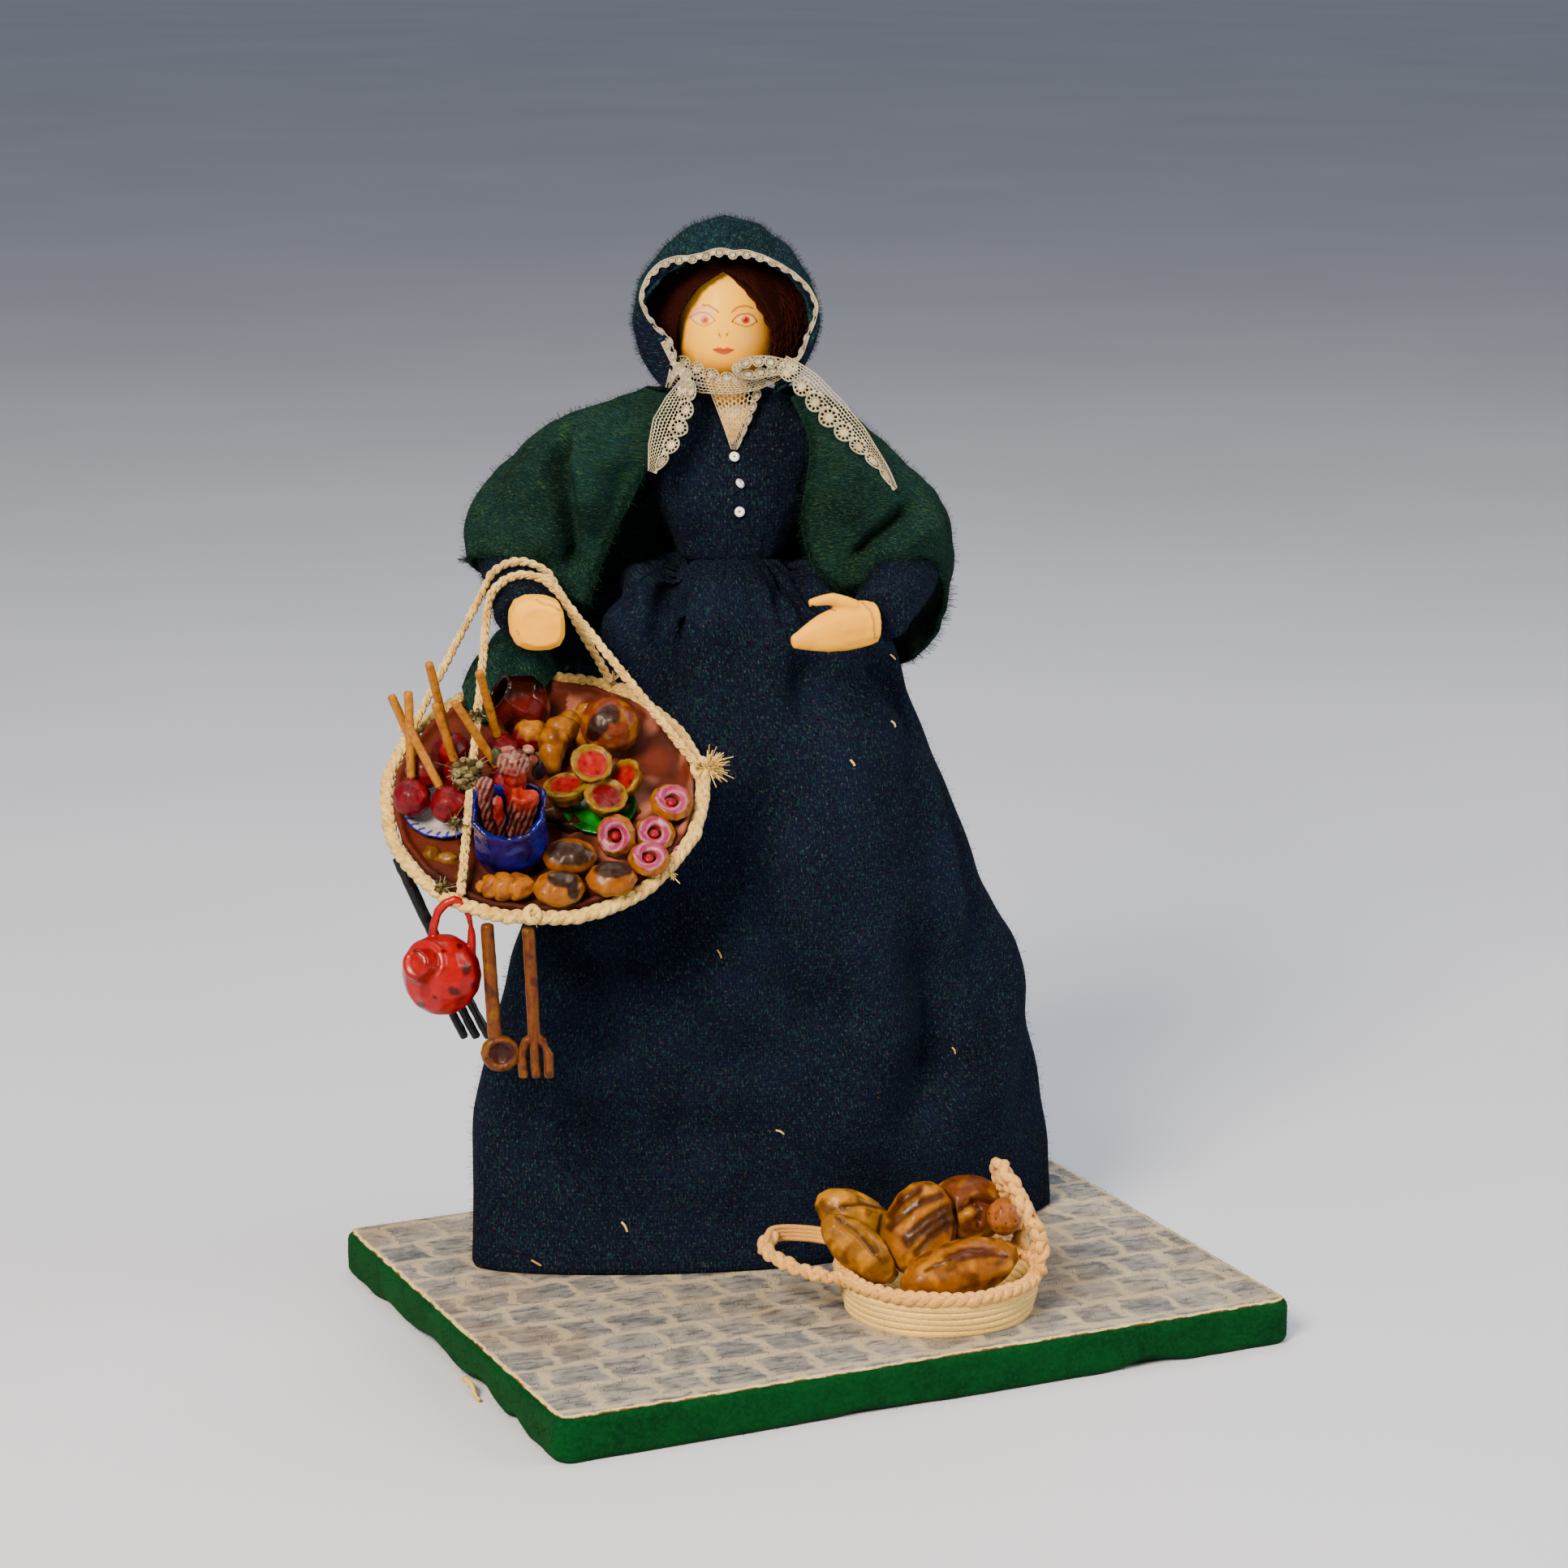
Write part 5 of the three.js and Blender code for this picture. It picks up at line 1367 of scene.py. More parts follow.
def coated(points, base, *layers):
    """A base colour under layers of paint. A layer is a colour and its amount, 0 to 1; four more numbers lay
    it in patches: where noise rises from low to high, the size of the patches, and a seed."""
    shades = colour_rows(len(points), base)
    for colour, amount, *patches in layers:
        if patches:
            low, high, size, seed = patches
            amount = amount * step_between(low, high, rough(points, size, seed))
        shades = brush(shades, colour, amount)
    return shades


def pixels_of(points):
    """Where doll-space points fall in the square photograph."""
    rays = (from_doll(points) - np.array(CAMERA_PLACE)) @ np.array(CAMERA_AXES)
    half = FRAME_PIXELS / 2
    across, down = (FOCAL_PIXELS * rays[:, k] / -rays[:, 2] for k in (0, 1))
    return np.stack([half + across, half - down], 1)


def stroke(places, line, width, soft=0.5):
    """1 on a brush stroke along pixels and 0 beyond its width, with a soft edge."""
    line = spline(line, 24) if len(line) > 2 else np.asarray(line, float)
    gap, share = along_line(places, line)
    return 1 - step_between(width * (1 - soft) / 2, width * (1 + soft) / 2, gap)


def spot(places, centre, reach, soft=0.4, turn=0.0):
    """1 inside an oval and 0 outside it, with a soft edge."""
    offset = np.asarray(places) - centre
    c, s = math.cos(turn), math.sin(turn)
    offset = np.stack([offset[:, 0] * c + offset[:, 1] * s, offset[:, 1] * c - offset[:, 0] * s], 1)
    return 1 - step_between(1 - soft, 1 + soft, np.linalg.norm(offset / reach, axis=1))


print("brushes ready")

# %% [markdown]
# ## The head
#
# Head and neck are turned in one from limewood: a ball drawn up into an egg. The face is painted thinly, in
# brown line with orange irises, and a smear of lilac shadow on her right eye. The points crowd together in
# front, where the brush lines are about half a millimetre wide.

# %% Turn the head
HEAD_MIDDLE, HEAD_RADIUS, HEAD_CROWN, NECK_RADIUS, NECK_FOOT = 271.5, 13.3, 19.0, 6.2, 250.8
HEAD_COLUMNS = 240
JAW_POWER = 3.1


def head_profile():
    start = math.asin((NECK_RADIUS / HEAD_RADIUS) ** (JAW_POWER / 2))
    rows = [(NECK_RADIUS + 0.5 * (1 - t) ** 2, NECK_FOOT + t * 8.0) for t in np.linspace(0, 1, 14)]
    for a in np.linspace(start + 0.12, math.pi - 0.02, 150):
        jaw = a < math.pi / 2
        power, drop = (2 / JAW_POWER, HEAD_RADIUS) if jaw else (1, HEAD_CROWN)
        rise = math.cos(a) ** power
        rows.append((HEAD_RADIUS * math.sin(a) ** power, HEAD_MIDDLE - drop * rise))
    return rows


sweep = np.linspace(-math.pi, math.pi, HEAD_COLUMNS, endpoint=False)
sweep = sweep - 0.62 * np.sin(sweep)
rows = [(r * np.sin(sweep), -r * np.cos(sweep), np.full(HEAD_COLUMNS, z)) for r, z in head_profile()]
grid = np.array([np.stack(row, 1) for row in rows])
points = grid.reshape(-1, 3)
faces = grid_faces(len(grid), HEAD_COLUMNS, loop_columns=True)
last = len(points) - HEAD_COLUMNS
faces.append(tuple(range(last, len(points))))
faces.append(tuple(range(HEAD_COLUMNS))[::-1])
head = object_from("limewood_head", from_doll(points), faces)

# %% Paint the face
# The warm skin colour is the hands' own warmer tone and also painted shade on the face; the pale one is only
# painted highlight and painted light.
SKIN, SKIN_WARM_AND_SHADE, SKIN_HIGHLIGHT = "#ECAA04", "#D88E00", "#F6BA16"
LINE, IRIS, IRIS_DARK, LILAC, LIP = "#4A140C", "#A42C10", "#5A0E04", "#D89AA4", "#A8340C"
places = pixels_of(points)
front = points[:, 1] < 0
face = coated(
    points,
    SKIN,
    # Painted shade: darker and warmer towards the sides of the face, and under the chin down the neck.
    (SKIN_WARM_AND_SHADE, 0.7 * step_between(7, 13, np.abs(points[:, 0] + 1))),
    (SKIN_WARM_AND_SHADE, 0.5 * step_between(268, 258, points[:, 2])),
    # Painted highlights: a pale patch over the left cheek and eye, and a fainter one on the forehead.
    (SKIN_HIGHLIGHT, 0.6 * spot(places, (868, 400), (26, 36), 0.8)),
    (SKIN_HIGHLIGHT, 0.35 * spot(places, (896, 350), (20, 26), 0.8)),
    ("#DEA86B", 0.3 * spot(places, (924, 416), (16, 12), 0.9)),
    (LILAC, 0.5 * spot(places, (866, 387), (15, 9), 0.5, -0.25)),
    ("#B8688C", 0.75 * stroke(places, [(850, 390), (858, 381), (869, 378)], 2.2, 0.8)),
    ("#E4995F", 0.55 * spot(places, (921, 390), (13, 8), 0.6, 0.15)),
)
for centre, strong in (((868.5, 394.5), 0.75), ((918.7, 394.2), 1.0)):
    face = brush(face, "#E9DAC6", 0.2 * spot(places, centre, (11, 5), 0.3))
    face = brush(face, IRIS, strong * spot(places, centre, (5.2, 4.8), 0.2))
    face = brush(face, IRIS_DARK, strong * 0.9 * spot(places, centre, (2.0, 2.0), 0.4))
    # The small pale spot up and to the left in each iris is a painted highlight.
    face = brush(face, "#DD936B", 0.6 * spot(places, np.add(centre, (-2.2, -2)), (1.3, 1.2), 0.4))
FACE_LINES = [
    ([(865.5, 375.5), (873, 376.5), (880, 380.5), (885.5, 385)], 1.7, 0.9),
    ([(901.5, 385), (908, 379.3), (918, 376.8), (928, 380)], 1.7, 0.9),
    ([(850, 391.5), (860, 385.5), (871, 385.8), (881, 394.9)], 1.6, 0.65),
    ([(881, 394.9), (875, 399), (868, 401.6), (858, 397.6), (850, 391.5)], 1.4, 0.7),
    ([(902, 396.2), (908, 389.6), (918, 386.6), (927, 388.5), (933, 396)], 1.7, 0.9),
    ([(933, 396), (926, 400.6), (918, 401.9), (909, 399.4), (902, 396.2)], 1.5, 0.85),
    ([(886.2, 412.2), (887.6, 414.2)], 2.0, 0.9),
    ([(894.8, 413.8), (896.4, 411.8)], 2.0, 0.9),
    ([(883, 411), (885, 408.6)], 1.2, 0.25),
    ([(899, 410.6), (897.4, 408.4)], 1.2, 0.25),
]
for line, width, strong in FACE_LINES:
    face = brush(face, LINE, strong * stroke(places, line, width, 0.6))
MOUTH = [
    (876.8, 430.4), (885.8, 427.8), (891.8, 429.4), (896.5, 427.6), (905.4, 431.3), (897, 436),
    (891.4, 437.3), (884, 435),
]
inside = np.zeros(len(places))
for (x0, y0), (x1, y1) in zip(MOUTH, MOUTH[1:] + MOUTH[:1]):
    crosses = (y0 > places[:, 1]) != (y1 > places[:, 1])
    beyond = places[:, 0] < (x1 - x0) * (places[:, 1] - y0) / (y1 - y0 + 1e-9) + x0
    inside = np.where(crosses & beyond, 1 - inside, inside)
face = brush(face, LIP, 0.95 * inside * front)
face = brush(face, "#873116", 0.8 * stroke(places, [(879, 430.8), (891.5, 431.8), (903.5, 431.6)], 1.6, 0.7))
paint(head, np.where(front[:, None], face, colour_rows(len(points), SKIN)))
finish_piece(head, "painted_limewood", "painted_wood", "head")

# %% [markdown]
# ## The hair
#
# A wig of combed dark wool, parted over the brow and drawn down each side of the face. Fine locks run from
# the parting to the jaw and fan out into the bonnet's shadow.

# %% Locks of hair
def hair_material():
    """Dark red-brown wool: each lock its own shade, with a painted sheen of lighter red-brown along its
    fibres.
    """
    tree, shader = new_material("combed_wool_hair")
    fibres = add(tree, "ShaderNodeTexNoise", Vector=weave_place(tree), Scale=3.0, Detail=3.0).outputs[0]
    colour = ramp(tree, own_shade(tree), (0.0, "#050100"), (0.5, "#120402"), (1.0, "#2A0B04"))
    # Painted sheen: lighter red-brown streaks along the fibres.
    colour = stain(tree, colour, fibres, 0.4, 0.7, 0.5, "#401408")
    surface(tree, shader, colour, fibres, 0.08, Roughness=0.85, Specular_IOR_Level=0.05)


hair_material()
wig = refined("hair", "hair_ground", 0.7, 4)
box_uv(wig)
finish_piece(wig, "combed_wool_hair", "hair_wool", "hair")
# Locks lie on an egg-shaped guide that fills the bonnet, a little proud of the brow.
GUIDE_MIDDLE, GUIDE_REACH = (0.5, 4, 272), (24, 16, 22)
ball = []
for a in np.linspace(0.05, 3.09, 50):
    for b in np.linspace(-1.9, 1.9, 60):
        ball.append((math.sin(a) * math.sin(b), -math.sin(a) * math.cos(b), -math.cos(a)))
guide = np.array(ball) * GUIDE_REACH + GUIDE_MIDDLE
wig_tree = tree_from(guide, grid_faces(50, 60))
HAIR_SIDES = [
    (
        [(884, 333), (862, 347), (845, 366), (835, 392), (831, 420), (834, 448)],
        [(889, 318), (838, 324), (804, 350), (796, 388), (806, 424), (826, 456)],
    ),
    (
        [(892, 332), (908, 346), (928, 368), (944, 394), (954, 421), (957, 448)],
        [(899, 318), (944, 326), (984, 350), (1000, 386), (994, 420), (970, 456)],
    ),
]
LOCKS, LOCK_STEPS = 130, 42
LOCK_WAVES = np.linspace(0, 44, LOCK_STEPS)
draw = np.random.default_rng(12)
locks = []
for near_face, outer in HAIR_SIDES:
    inner_line, outer_line = spline(near_face, LOCK_STEPS), spline(outer, LOCK_STEPS)
    for k in range(LOCKS):
        share = (k + draw.uniform(-0.6, 0.6)) / (LOCKS - 1)
        wave = np.sin(LOCK_WAVES + draw.uniform(0, 6)) * np.linspace(0.5, 2.6, LOCK_STEPS)
        pixels = inner_line + (outer_line - inner_line) * share
        pixels[:, 0] += wave + draw.normal(0, 0.5)
        line = seen(wig_tree, pixels)
        line[:, 1] -= draw.uniform(0.0, 0.8) + 0.4 * np.sin(LOCK_WAVES + draw.uniform(0, 6))
        locks.append(tube(spline(line, LOCK_STEPS + 6), draw.uniform(0.2, 0.38), 5))
joined("hair_locks", locks, from_doll, "combed_wool_hair", "hair_wool")

# %% [markdown]
# ## Hands and beads
#
# The hands are carved from the same wood: one closed on a dowel, with a crack across the knuckles, and one
# like a mitten with its thumb laid on top. Three pearly seed beads button the dress.

# %% Hands
def detail(piece, lines):
    """Carves lines into a piece: pixels along each, half width and height in millimetres."""
    points = to_doll(coordinates(piece))
    way = unit(outward_of(piece))
    points = press_folds(points, way, tree_from(points, faces_of(piece)), lines)
    move_points(piece, from_doll(points))
    return points


HAND_LINES = {
    "hand_right": [
        ([(661, 739), (669, 744), (679, 746), (690, 752)], 0.35, -0.8, 0.1, 0.2),
        ([(637, 779), (640, 783)], 0.3, -0.6, 0.0, 0.0),
    ],
    "hand_left": [
        ([(1000, 747), (1016, 749), (1030, 752)], 0.4, -0.9, 0.0, 0.2),
        ([(1062, 742), (1074, 756), (1078, 786)], 0.8, 0.3, 0.2, 0.2),
    ],
}
for node, lines in HAND_LINES.items():
    hand = refined(node, f"limewood_{node}", 0.42, 6)
    points = detail(hand, lines)
    way = unit(outward_of(hand))
    points += way * (0.25 * rough(points, 5, 6) + 0.08 * rough(points, 1.6, 4))[:, None]
    move_points(hand, from_doll(points))
    places = pixels_of(points)
    # Each carved line is painted dark brown along its length.
    dark_carved_lines = [("#6E4224", 0.8 * stroke(places, line, 2.2, 0.6)) for line, *_ in lines]
    warm = (SKIN_WARM_AND_SHADE, 0.45 + 0.5 * rough(points, 6, 2))
    # Painted light: surfaces that face upwards are painted paler.
    pale = (SKIN_HIGHLIGHT, 0.35 * step_between(0, 0.9, way[:, 2]))
    paint(hand, coated(points, SKIN, warm, pale, *dark_carved_lines))
    finish_piece(hand, "painted_limewood", "painted_wood", node)


# %% Beads
def bead_material():
    """Pearly glass: almost white, bright coat, a little light passing in."""
    tree, shader = new_material("pearly_seed_bead")
    cloud = clouds(tree, object_place(tree), 1.5, 2.0)
    colour = ramp(tree, cloud, (0.3, "#C8D2D4"), (0.7, "#F2F4EE"))
    surface(tree, shader, colour, cloud, 0.04, Roughness=0.18, Coat_Weight=0.7)
    set_shader(shader, Subsurface_Weight=0.2, Subsurface_Scale=0.5 * MM)


bead_material()
bodice_points = to_doll(coordinates(bodice))
bodice_tree = tree_from(bodice_points, faces_of(bodice))
BEADS = [((905, 562), (0.2, -0.9, 0.6)), ((912, 595), (0.7, -0.35, 0.6)), ((911.5, 630), (0.15, -1.0, 0.2))]
BEAD_RADIUS, BEAD_TUBE = 0.82, 0.62
rings = []
for pixel, axis in BEADS:
    place = seen(bodice_tree, [pixel])[0] + (0, -0.9, 0)
    matrix = Vector(axis).normalized().to_track_quat("Z", "Y").to_matrix()
    line = circle(full_turn(28), BEAD_RADIUS) @ np.array(matrix).T + place
    rings.append(tube(line, BEAD_TUBE, 16, True))
joined("seed_bead_buttons", rings, from_doll, "pearly_seed_bead", "china")

# %% [markdown]
# ## Cotton lace
#
# Machine lace is a thin net of cotton thread with woven pads in it. The strip here is drawn flat first: a
# scalloped edge, and along it a row of round pads, each ringed by small holes. A fine grid is cut along the
# edges of those holes, so light really passes through. Then it is laid along a line on the doll, and a
# corded outline is sewn round the scallops and pads.

# %% Cotton finish
def lace_material(name, aged, clean, shaded, thread_mm):
    """Cotton: fine ribs of thread, yellower where it is old, light shining through."""
    tree, shader = new_material(name)
    split = add(tree, "ShaderNodeSeparateXYZ", _0=weave_place(tree))
    rows, ribs = (waves(tree, split.outputs[k], thread_mm) for k in (0, 1))
    thread = sums(tree, "MULTIPLY_ADD", ribs, 0.6, sums(tree, "MULTIPLY", rows, 0.4))
    colour = ramp(tree, clouds(tree, object_place(tree), 5, 3.0), (0.35, aged), (0.65, clean))
    shade = ramp(tree, sums(tree, "MULTIPLY_ADD", thread, 0.5, 0.5), (0.0, shaded), (0.5, "#FFFFFF"))
    colour = mix(tree, 0.55, colour, shade, "MULTIPLY")
    surface(tree, shader, colour, thread, 0.12, Roughness=0.8, Sheen_Weight=0.15)
    set_shader(shader, Subsurface_Weight=0.15, Subsurface_Scale=0.8 * MM)


lace_material("cream_cotton_lace", "#C4B48E", "#E2D6B4", "#8E7E5C", 0.42)
lace_material("golden_cotton_lace", "#DDA03E", "#F4D28C", "#A8661E", 1.5)
LACE_STEP, NET_PITCH = 0.2, 0.95


def cut_at_zero(points, field, faces):
    """Keeps the part of each face where the field is above zero, cut along straight lines."""
    kept, extra, cache = [], [], {}
    count = len(points)

    def crossing(a, b):
        key = (min(a, b), max(a, b))
        if key not in cache:
            share = field[a] / (field[a] - field[b])
            cache[key] = count + len(extra)
            extra.append(points[a] + (points[b] - points[a]) * share)
        return cache[key]

    for face in faces:
        inside = [field[i] > 0 for i in face]
        if all(inside):
            kept.append(face)
            continue
        if not any(inside):
            continue
        ring = []
        for k, i in enumerate(face):
            j = face[(k + 1) % len(face)]
            if inside[k]:
                ring.append(i)
            if inside[k] != inside[(k + 1) % len(face)]:
                ring.append(crossing(i, j))
        if len(ring) > 2:
            kept.append(tuple(ring))
    every = np.vstack([points, extra]) if extra else points
    used = sorted({i for face in kept for i in face})
    place = {old: new for new, old in enumerate(used)}
    return every[used], [tuple(place[i] for i in face) for face in kept]


def lace_pattern(long, wide, pitch, ground, net=NET_PITCH):
    """The cotton of a flat strip: above zero is thread, below is a hole. Also the cords sewn on it."""
    reach = min(0.47 * pitch, 0.48 * wide)
    pad_at = wide - reach - 0.05
    s = np.arange(0, long + LACE_STEP, LACE_STEP)
    t = np.linspace(0, wide, max(8, int(wide / LACE_STEP)))
    grid = np.array([(a, b) for a in s for b in t])

    def scallop(along):
        off = np.abs((along / pitch) % 1 - 0.5) * pitch
        return pad_at + np.sqrt(np.maximum(reach**2 - off**2, (0.25 * reach) ** 2))

    field = np.minimum(scallop(grid[:, 0]) - grid[:, 1], 1.0)
    holes, cords = [], []
    for middle in np.arange(0.5 * pitch, long, pitch):
        for k in range(10):
            a = 2 * math.pi * (k + 0.5) / 10
            out = 0.72 * reach
            holes.append((middle + out * math.cos(a), pad_at + out * math.sin(a), 0.17 * reach))
        turns = np.linspace(0, 2 * math.pi, 25)
        for share in (0.94, 0.5):
            cords.append(circle(turns, share * reach)[:, :2] + (middle, pad_at))
    for i, across in enumerate(np.arange(0.45, wide - 0.3, net) if ground else ()):
        for along in np.arange(0.4 + net / 2 * (i % 2), long, net):
            off = abs((along / pitch) % 1 - 0.5) * pitch
            if math.hypot(off, across - pad_at) > reach + 0.15:
                holes.append((along, across, 0.44 * net))
    for x, y, radius in holes:
        near = np.abs(grid[:, 0] - x) < 2 * radius + 0.3
        gap = np.hypot(grid[near, 0] - x, grid[near, 1] - y) - radius
        field[near] = np.minimum(field[near], gap)
    cords.append(np.stack([s, scallop(s) - 0.1], 1))
    cords.append(np.stack([s, np.full(len(s), 0.1)], 1))
    faces = grid_faces(len(s), len(t))
    flat, faces = cut_at_zero(grid, field, faces)
    return flat, faces, cords


def laid_strip(flat, line, across, widths, wide, wave=(0.0, 4.0)):
    """Carries flat strip points onto a line: s along it, t across it between -half and +half width."""
    along = lengths_along(line)
    s = np.clip(flat[:, 0], 0, along[-1])
    place = read_at(s, along, line)
    way = unit(read_at(s, along, across))
    width = np.interp(s / along[-1], np.linspace(0, 1, len(widths)), widths)
    outward = unit(np.cross(read_at(s, along, np.gradient(line, axis=0)), way))
    swing = wave[0] * np.sin(flat[:, 0] / wave[1] * 2 * math.pi + flat[:, 1] * 0.6)
    return place + way * ((flat[:, 1] / wide - 0.5) * width)[:, None] + outward * swing[:, None], outward


def lace_ribbon(
    name, route, widths, across=(0, -1, 0), pitch=4.6, ground=True, wave=(0.25, 7.0), flip=1, cord_mm=0.2,
    steps=80, net=NET_PITCH, stands_for=(),
):
    """A lace ribbon along a route in doll millimetres; across is the direction it faces."""
    line = spline(route, steps)
    facing = np.broadcast_to(np.asarray(across, float), line.shape)
    tangent = unit(np.gradient(line, axis=0))
    side = unit(np.cross(facing, tangent)) * flip
    wide = max(widths)
    flat, faces, cords = lace_pattern(length_of(line), wide, pitch, ground, net)
    points, outward = laid_strip(flat, line, side, widths, wide, wave)
    parts = [thick_lace(points, faces, flat, outward * flip)]
    for cord in cords:
        cord = cord[(cord[:, 0] >= 0) & (cord[:, 0] <= length_of(line))]
        if len(cord) > 3:
            laid, out = laid_strip(cord, line, side, widths, wide, wave)
            parts.append(tube(laid + out * 0.12 * flip, cord_mm, 5))
    points, faces, values = gather(parts)
    piece = object_from(name, from_doll(points), faces, values)
    print(name, "flat", round(length_of(line), 1), "x", round(wide, 1), "mm")
    return finish_piece(piece, "cream_cotton_lace", "lace", *stands_for), length_of(line)


LACE_THICK = 0.28


def thick_lace(points, faces, flat, outward):
    """Front, back and edges of cut lace, its faces turned to look outwards."""
    first, second, third = (points[[face[k] for face in faces]] for k in range(3))
    facing = np.cross(second - first, third - first) * outward[[face[0] for face in faces]]
    if facing.sum() < 0:
        faces = [face[::-1] for face in faces]
    count = len(points)
    back = points - outward * LACE_THICK
    edges = {}
    for face in faces:
        for a, b in zip(face, face[1:] + face[:1]):
            edges[(a, b)] = True
    rim = [(b, a, a + count, b + count) for a, b in edges if (b, a) not in edges]
    every = faces + [tuple(i + count for i in face[::-1]) for face in faces] + rim
    return np.vstack([points, back]), every, np.vstack([flat, flat])


# %% Lace on the doll
def shown(*places):
    """A route in doll space from (pixel x, pixel y, depth) triples."""
    return [at_depth([(x, y)], depth)[0] for x, y, depth in places]


LACES = {
    "lace_tail_right": dict(
        route=shown(
            (850, 468, -19.6), (840, 492, -21), (827, 522, -21.8), (817, 548, -22.6), (804, 582, -23.6),
        ),
        widths=[4.0, 8.2, 9.9, 7.4, 2.4], pitch=5.2, wave=(0.4, 8.0),
    ),
    "lace_tail_left": dict(
        route=shown(
            (962, 448, -18.8), (990, 470, -20.6), (1022, 505, -21.6), (1060, 545, -22.4), (1088, 578, -22.8),
            (1103, 603, -22.8),
        ),
        widths=[5.0, 7.6, 8.6, 7.0, 3.6, 1.2], pitch=5.6, wave=(0.35, 9.0), flip=-1,
    ),
    "lace_chin_band": dict(
        route=shown(
            (828, 448, -14.8), (850, 461, -14.6), (880, 470, -14.2), (908, 472, -14.1), (938, 466, -14.4),
            (968, 450, -15.6),
        ),
        widths=[7.0, 8.4, 6.4, 5.2, 5.0, 4.6], pitch=4.6, wave=(0.3, 2.4),
    ),
}
for node, given in LACES.items():
    lace_ribbon(f"cotton_{node}", stands_for=[node], **given)

# %% Lace round the brim
BRIM_WIDE, BRIM_TOP, BRIM_DEPTH, BRIM_MIDDLE, BRIM_FOOT = 24.3, 292.3, -17.0, 274.0, 250.5
BRIM_PIXELS = [
    (824, 478), (829, 452), (830, 432), (822, 415), (808, 402), (794, 380), (791, 364), (802, 339),
    (817, 326), (833, 321), (849, 320), (865, 317), (888, 311), (903, 314), (915, 313), (934, 317),
    (956, 326), (978, 339), (997, 358), (1005, 377), (1002, 396), (994, 415), (986, 436), (974, 450),
]


def brim_point(angle):
    """A point just inside the bonnet's front edge, which comes to a blunt point above."""
    c, s = math.cos(angle), math.sin(angle)
    reach = (abs(c) ** 1.85 + s**1.85) ** (-1 / 1.85) if s > 0 else 1
    tall = BRIM_TOP - BRIM_MIDDLE if s > 0 else BRIM_MIDDLE - BRIM_FOOT
    return (BRIM_WIDE * c * reach, BRIM_DEPTH + 0.4, BRIM_MIDDLE + tall * s * reach)


edge_line = spline(at_depth(BRIM_PIXELS, BRIM_DEPTH - 0.9), 180)
BRIM_LACE_WIDTHS = [1.6, 1.3, 1.1, 1.3, 2.3, 2.5, 2.3, 1.5, 1.1, 1.1, 1.5]
lace_ribbon(
    "cotton_brim_lace", edge_line, BRIM_LACE_WIDTHS, pitch=3.7, ground=False,
    wave=(0.35, 4.6), flip=-1, steps=180, stands_for=["bonnet_lace"],
)
ring = np.array([brim_point(a) for a in np.radians(np.linspace(228, -48, 180))])
strip = np.array([ring + (edge_line + (0, 0.5, 0) - ring) * share for share in np.linspace(0, 1, 5)])
side = 1.0 if grid_normals(strip)[..., 1].mean() < 0 else -1.0
facing = thick_cloth("tweed_brim_facing", strip, 0.6, side)
finish_piece(facing, "navy_brushed_tweed", "dress_tweed")
print("bonnet cloth:", round(cloth_area_of(bonnet), 5), "square metres")

# %% Lace in the neckline
chemisette = refined("chemisette_lace", "chemisette_ground", 0.4, 2)
box_uv(chemisette)
finish_piece(chemisette, "golden_cotton_lace", "lace", "chemisette_lace")
NECK_ROUTE = shown((907, 466, -10.6), (907, 512, -13.0), (905, 554, -14.3))
NECK_WIDTHS = [17, 9.5, 1.6]
panel, panel_length = lace_ribbon(
    "neck_lace", NECK_ROUTE, NECK_WIDTHS, (0, -1, 0.1), 3.2, wave=(0.2, 3.0), cord_mm=0.16, steps=60, net=1.45
)

# %% Bow and knots
BOW_LOOP = shown(
    (972, 452, -17), (948, 446, -17.6), (920, 447, -18.4), (908, 454, -18.2), (918, 461, -17.2),
    (944, 458, -16.8), (970, 452, -16.6),
)
BOW_WIDTHS = [3.4, 3.2, 3.0, 2.6, 3.0, 3.4]
lace_ribbon("lace_bow_loop", BOW_LOOP, BOW_WIDTHS, (0, -0.95, 0.3), 3.4, wave=(0.15, 5.0), cord_mm=0.18)
SIDE_LOOPS = [
    shown((818, 420, -18.2), (832, 446, -19), (846, 470, -19.8), (836, 488, -20.4)),
    shown((824, 470, -18.6), (838, 452, -19.4), (850, 466, -20), (846, 490, -20.2)),
]
for number, route in enumerate(SIDE_LOOPS):
    name = f"lace_side_loop_{number}"
    lace_ribbon(name, route, [1.8, 2.4, 2.2], pitch=3.2, ground=False, wave=(0.1, 5.0))


def wound_knot(centre, reach, seed):
    """A small knot of lace: two ribbons' width of cord wound over each other."""
    draw = np.random.default_rng(seed)
    t = np.linspace(0, 5 * math.pi, 70)
    wobble = 0.8 + 0.2 * np.sin(t * 1.7 + seed)
    line = np.stack([np.cos(t) * wobble, np.sin(t * 0.9 + 1) * 0.8, np.sin(t) * wobble], 1) * reach
    return tube(line + centre, reach * draw.uniform(0.42, 0.5), 8)


knots = [wound_knot(shown((976, 452, -18.2))[0], 1.3, 1), wound_knot(shown((842, 478, -19.6))[0], 1.1, 2)]
joined("lace_knots", knots, from_doll, "cream_cotton_lace", "lace")

# %% [markdown]
# ## The tray
#
# A shallow dish of red clay, unglazed and rough inside, edged with a plaited jute cord that the slings are
# tied to. Dried grass is knotted into the cord here and there.

# %% A painted copy of a solid
SPACES = {
    "doll": (to_doll, from_doll, lambda p: p),
    "tray": (to_tray, from_tray, tray_to_doll),
    "basket": (to_basket, from_basket, lambda p: to_doll(from_basket(p))),
}
SLOT_FINISHES = {
    "tray_clay": "dry_clay", "china": "gloss_glaze", "green_glaze": "gloss_glaze",
    "blue_glaze": "gloss_glaze", "brown_glaze": "gloss_glaze", "carved_wood": "carved_boxwood",
    "black_iron": "stove_black_paint", "red_enamel": "red_stove_enamel",
}


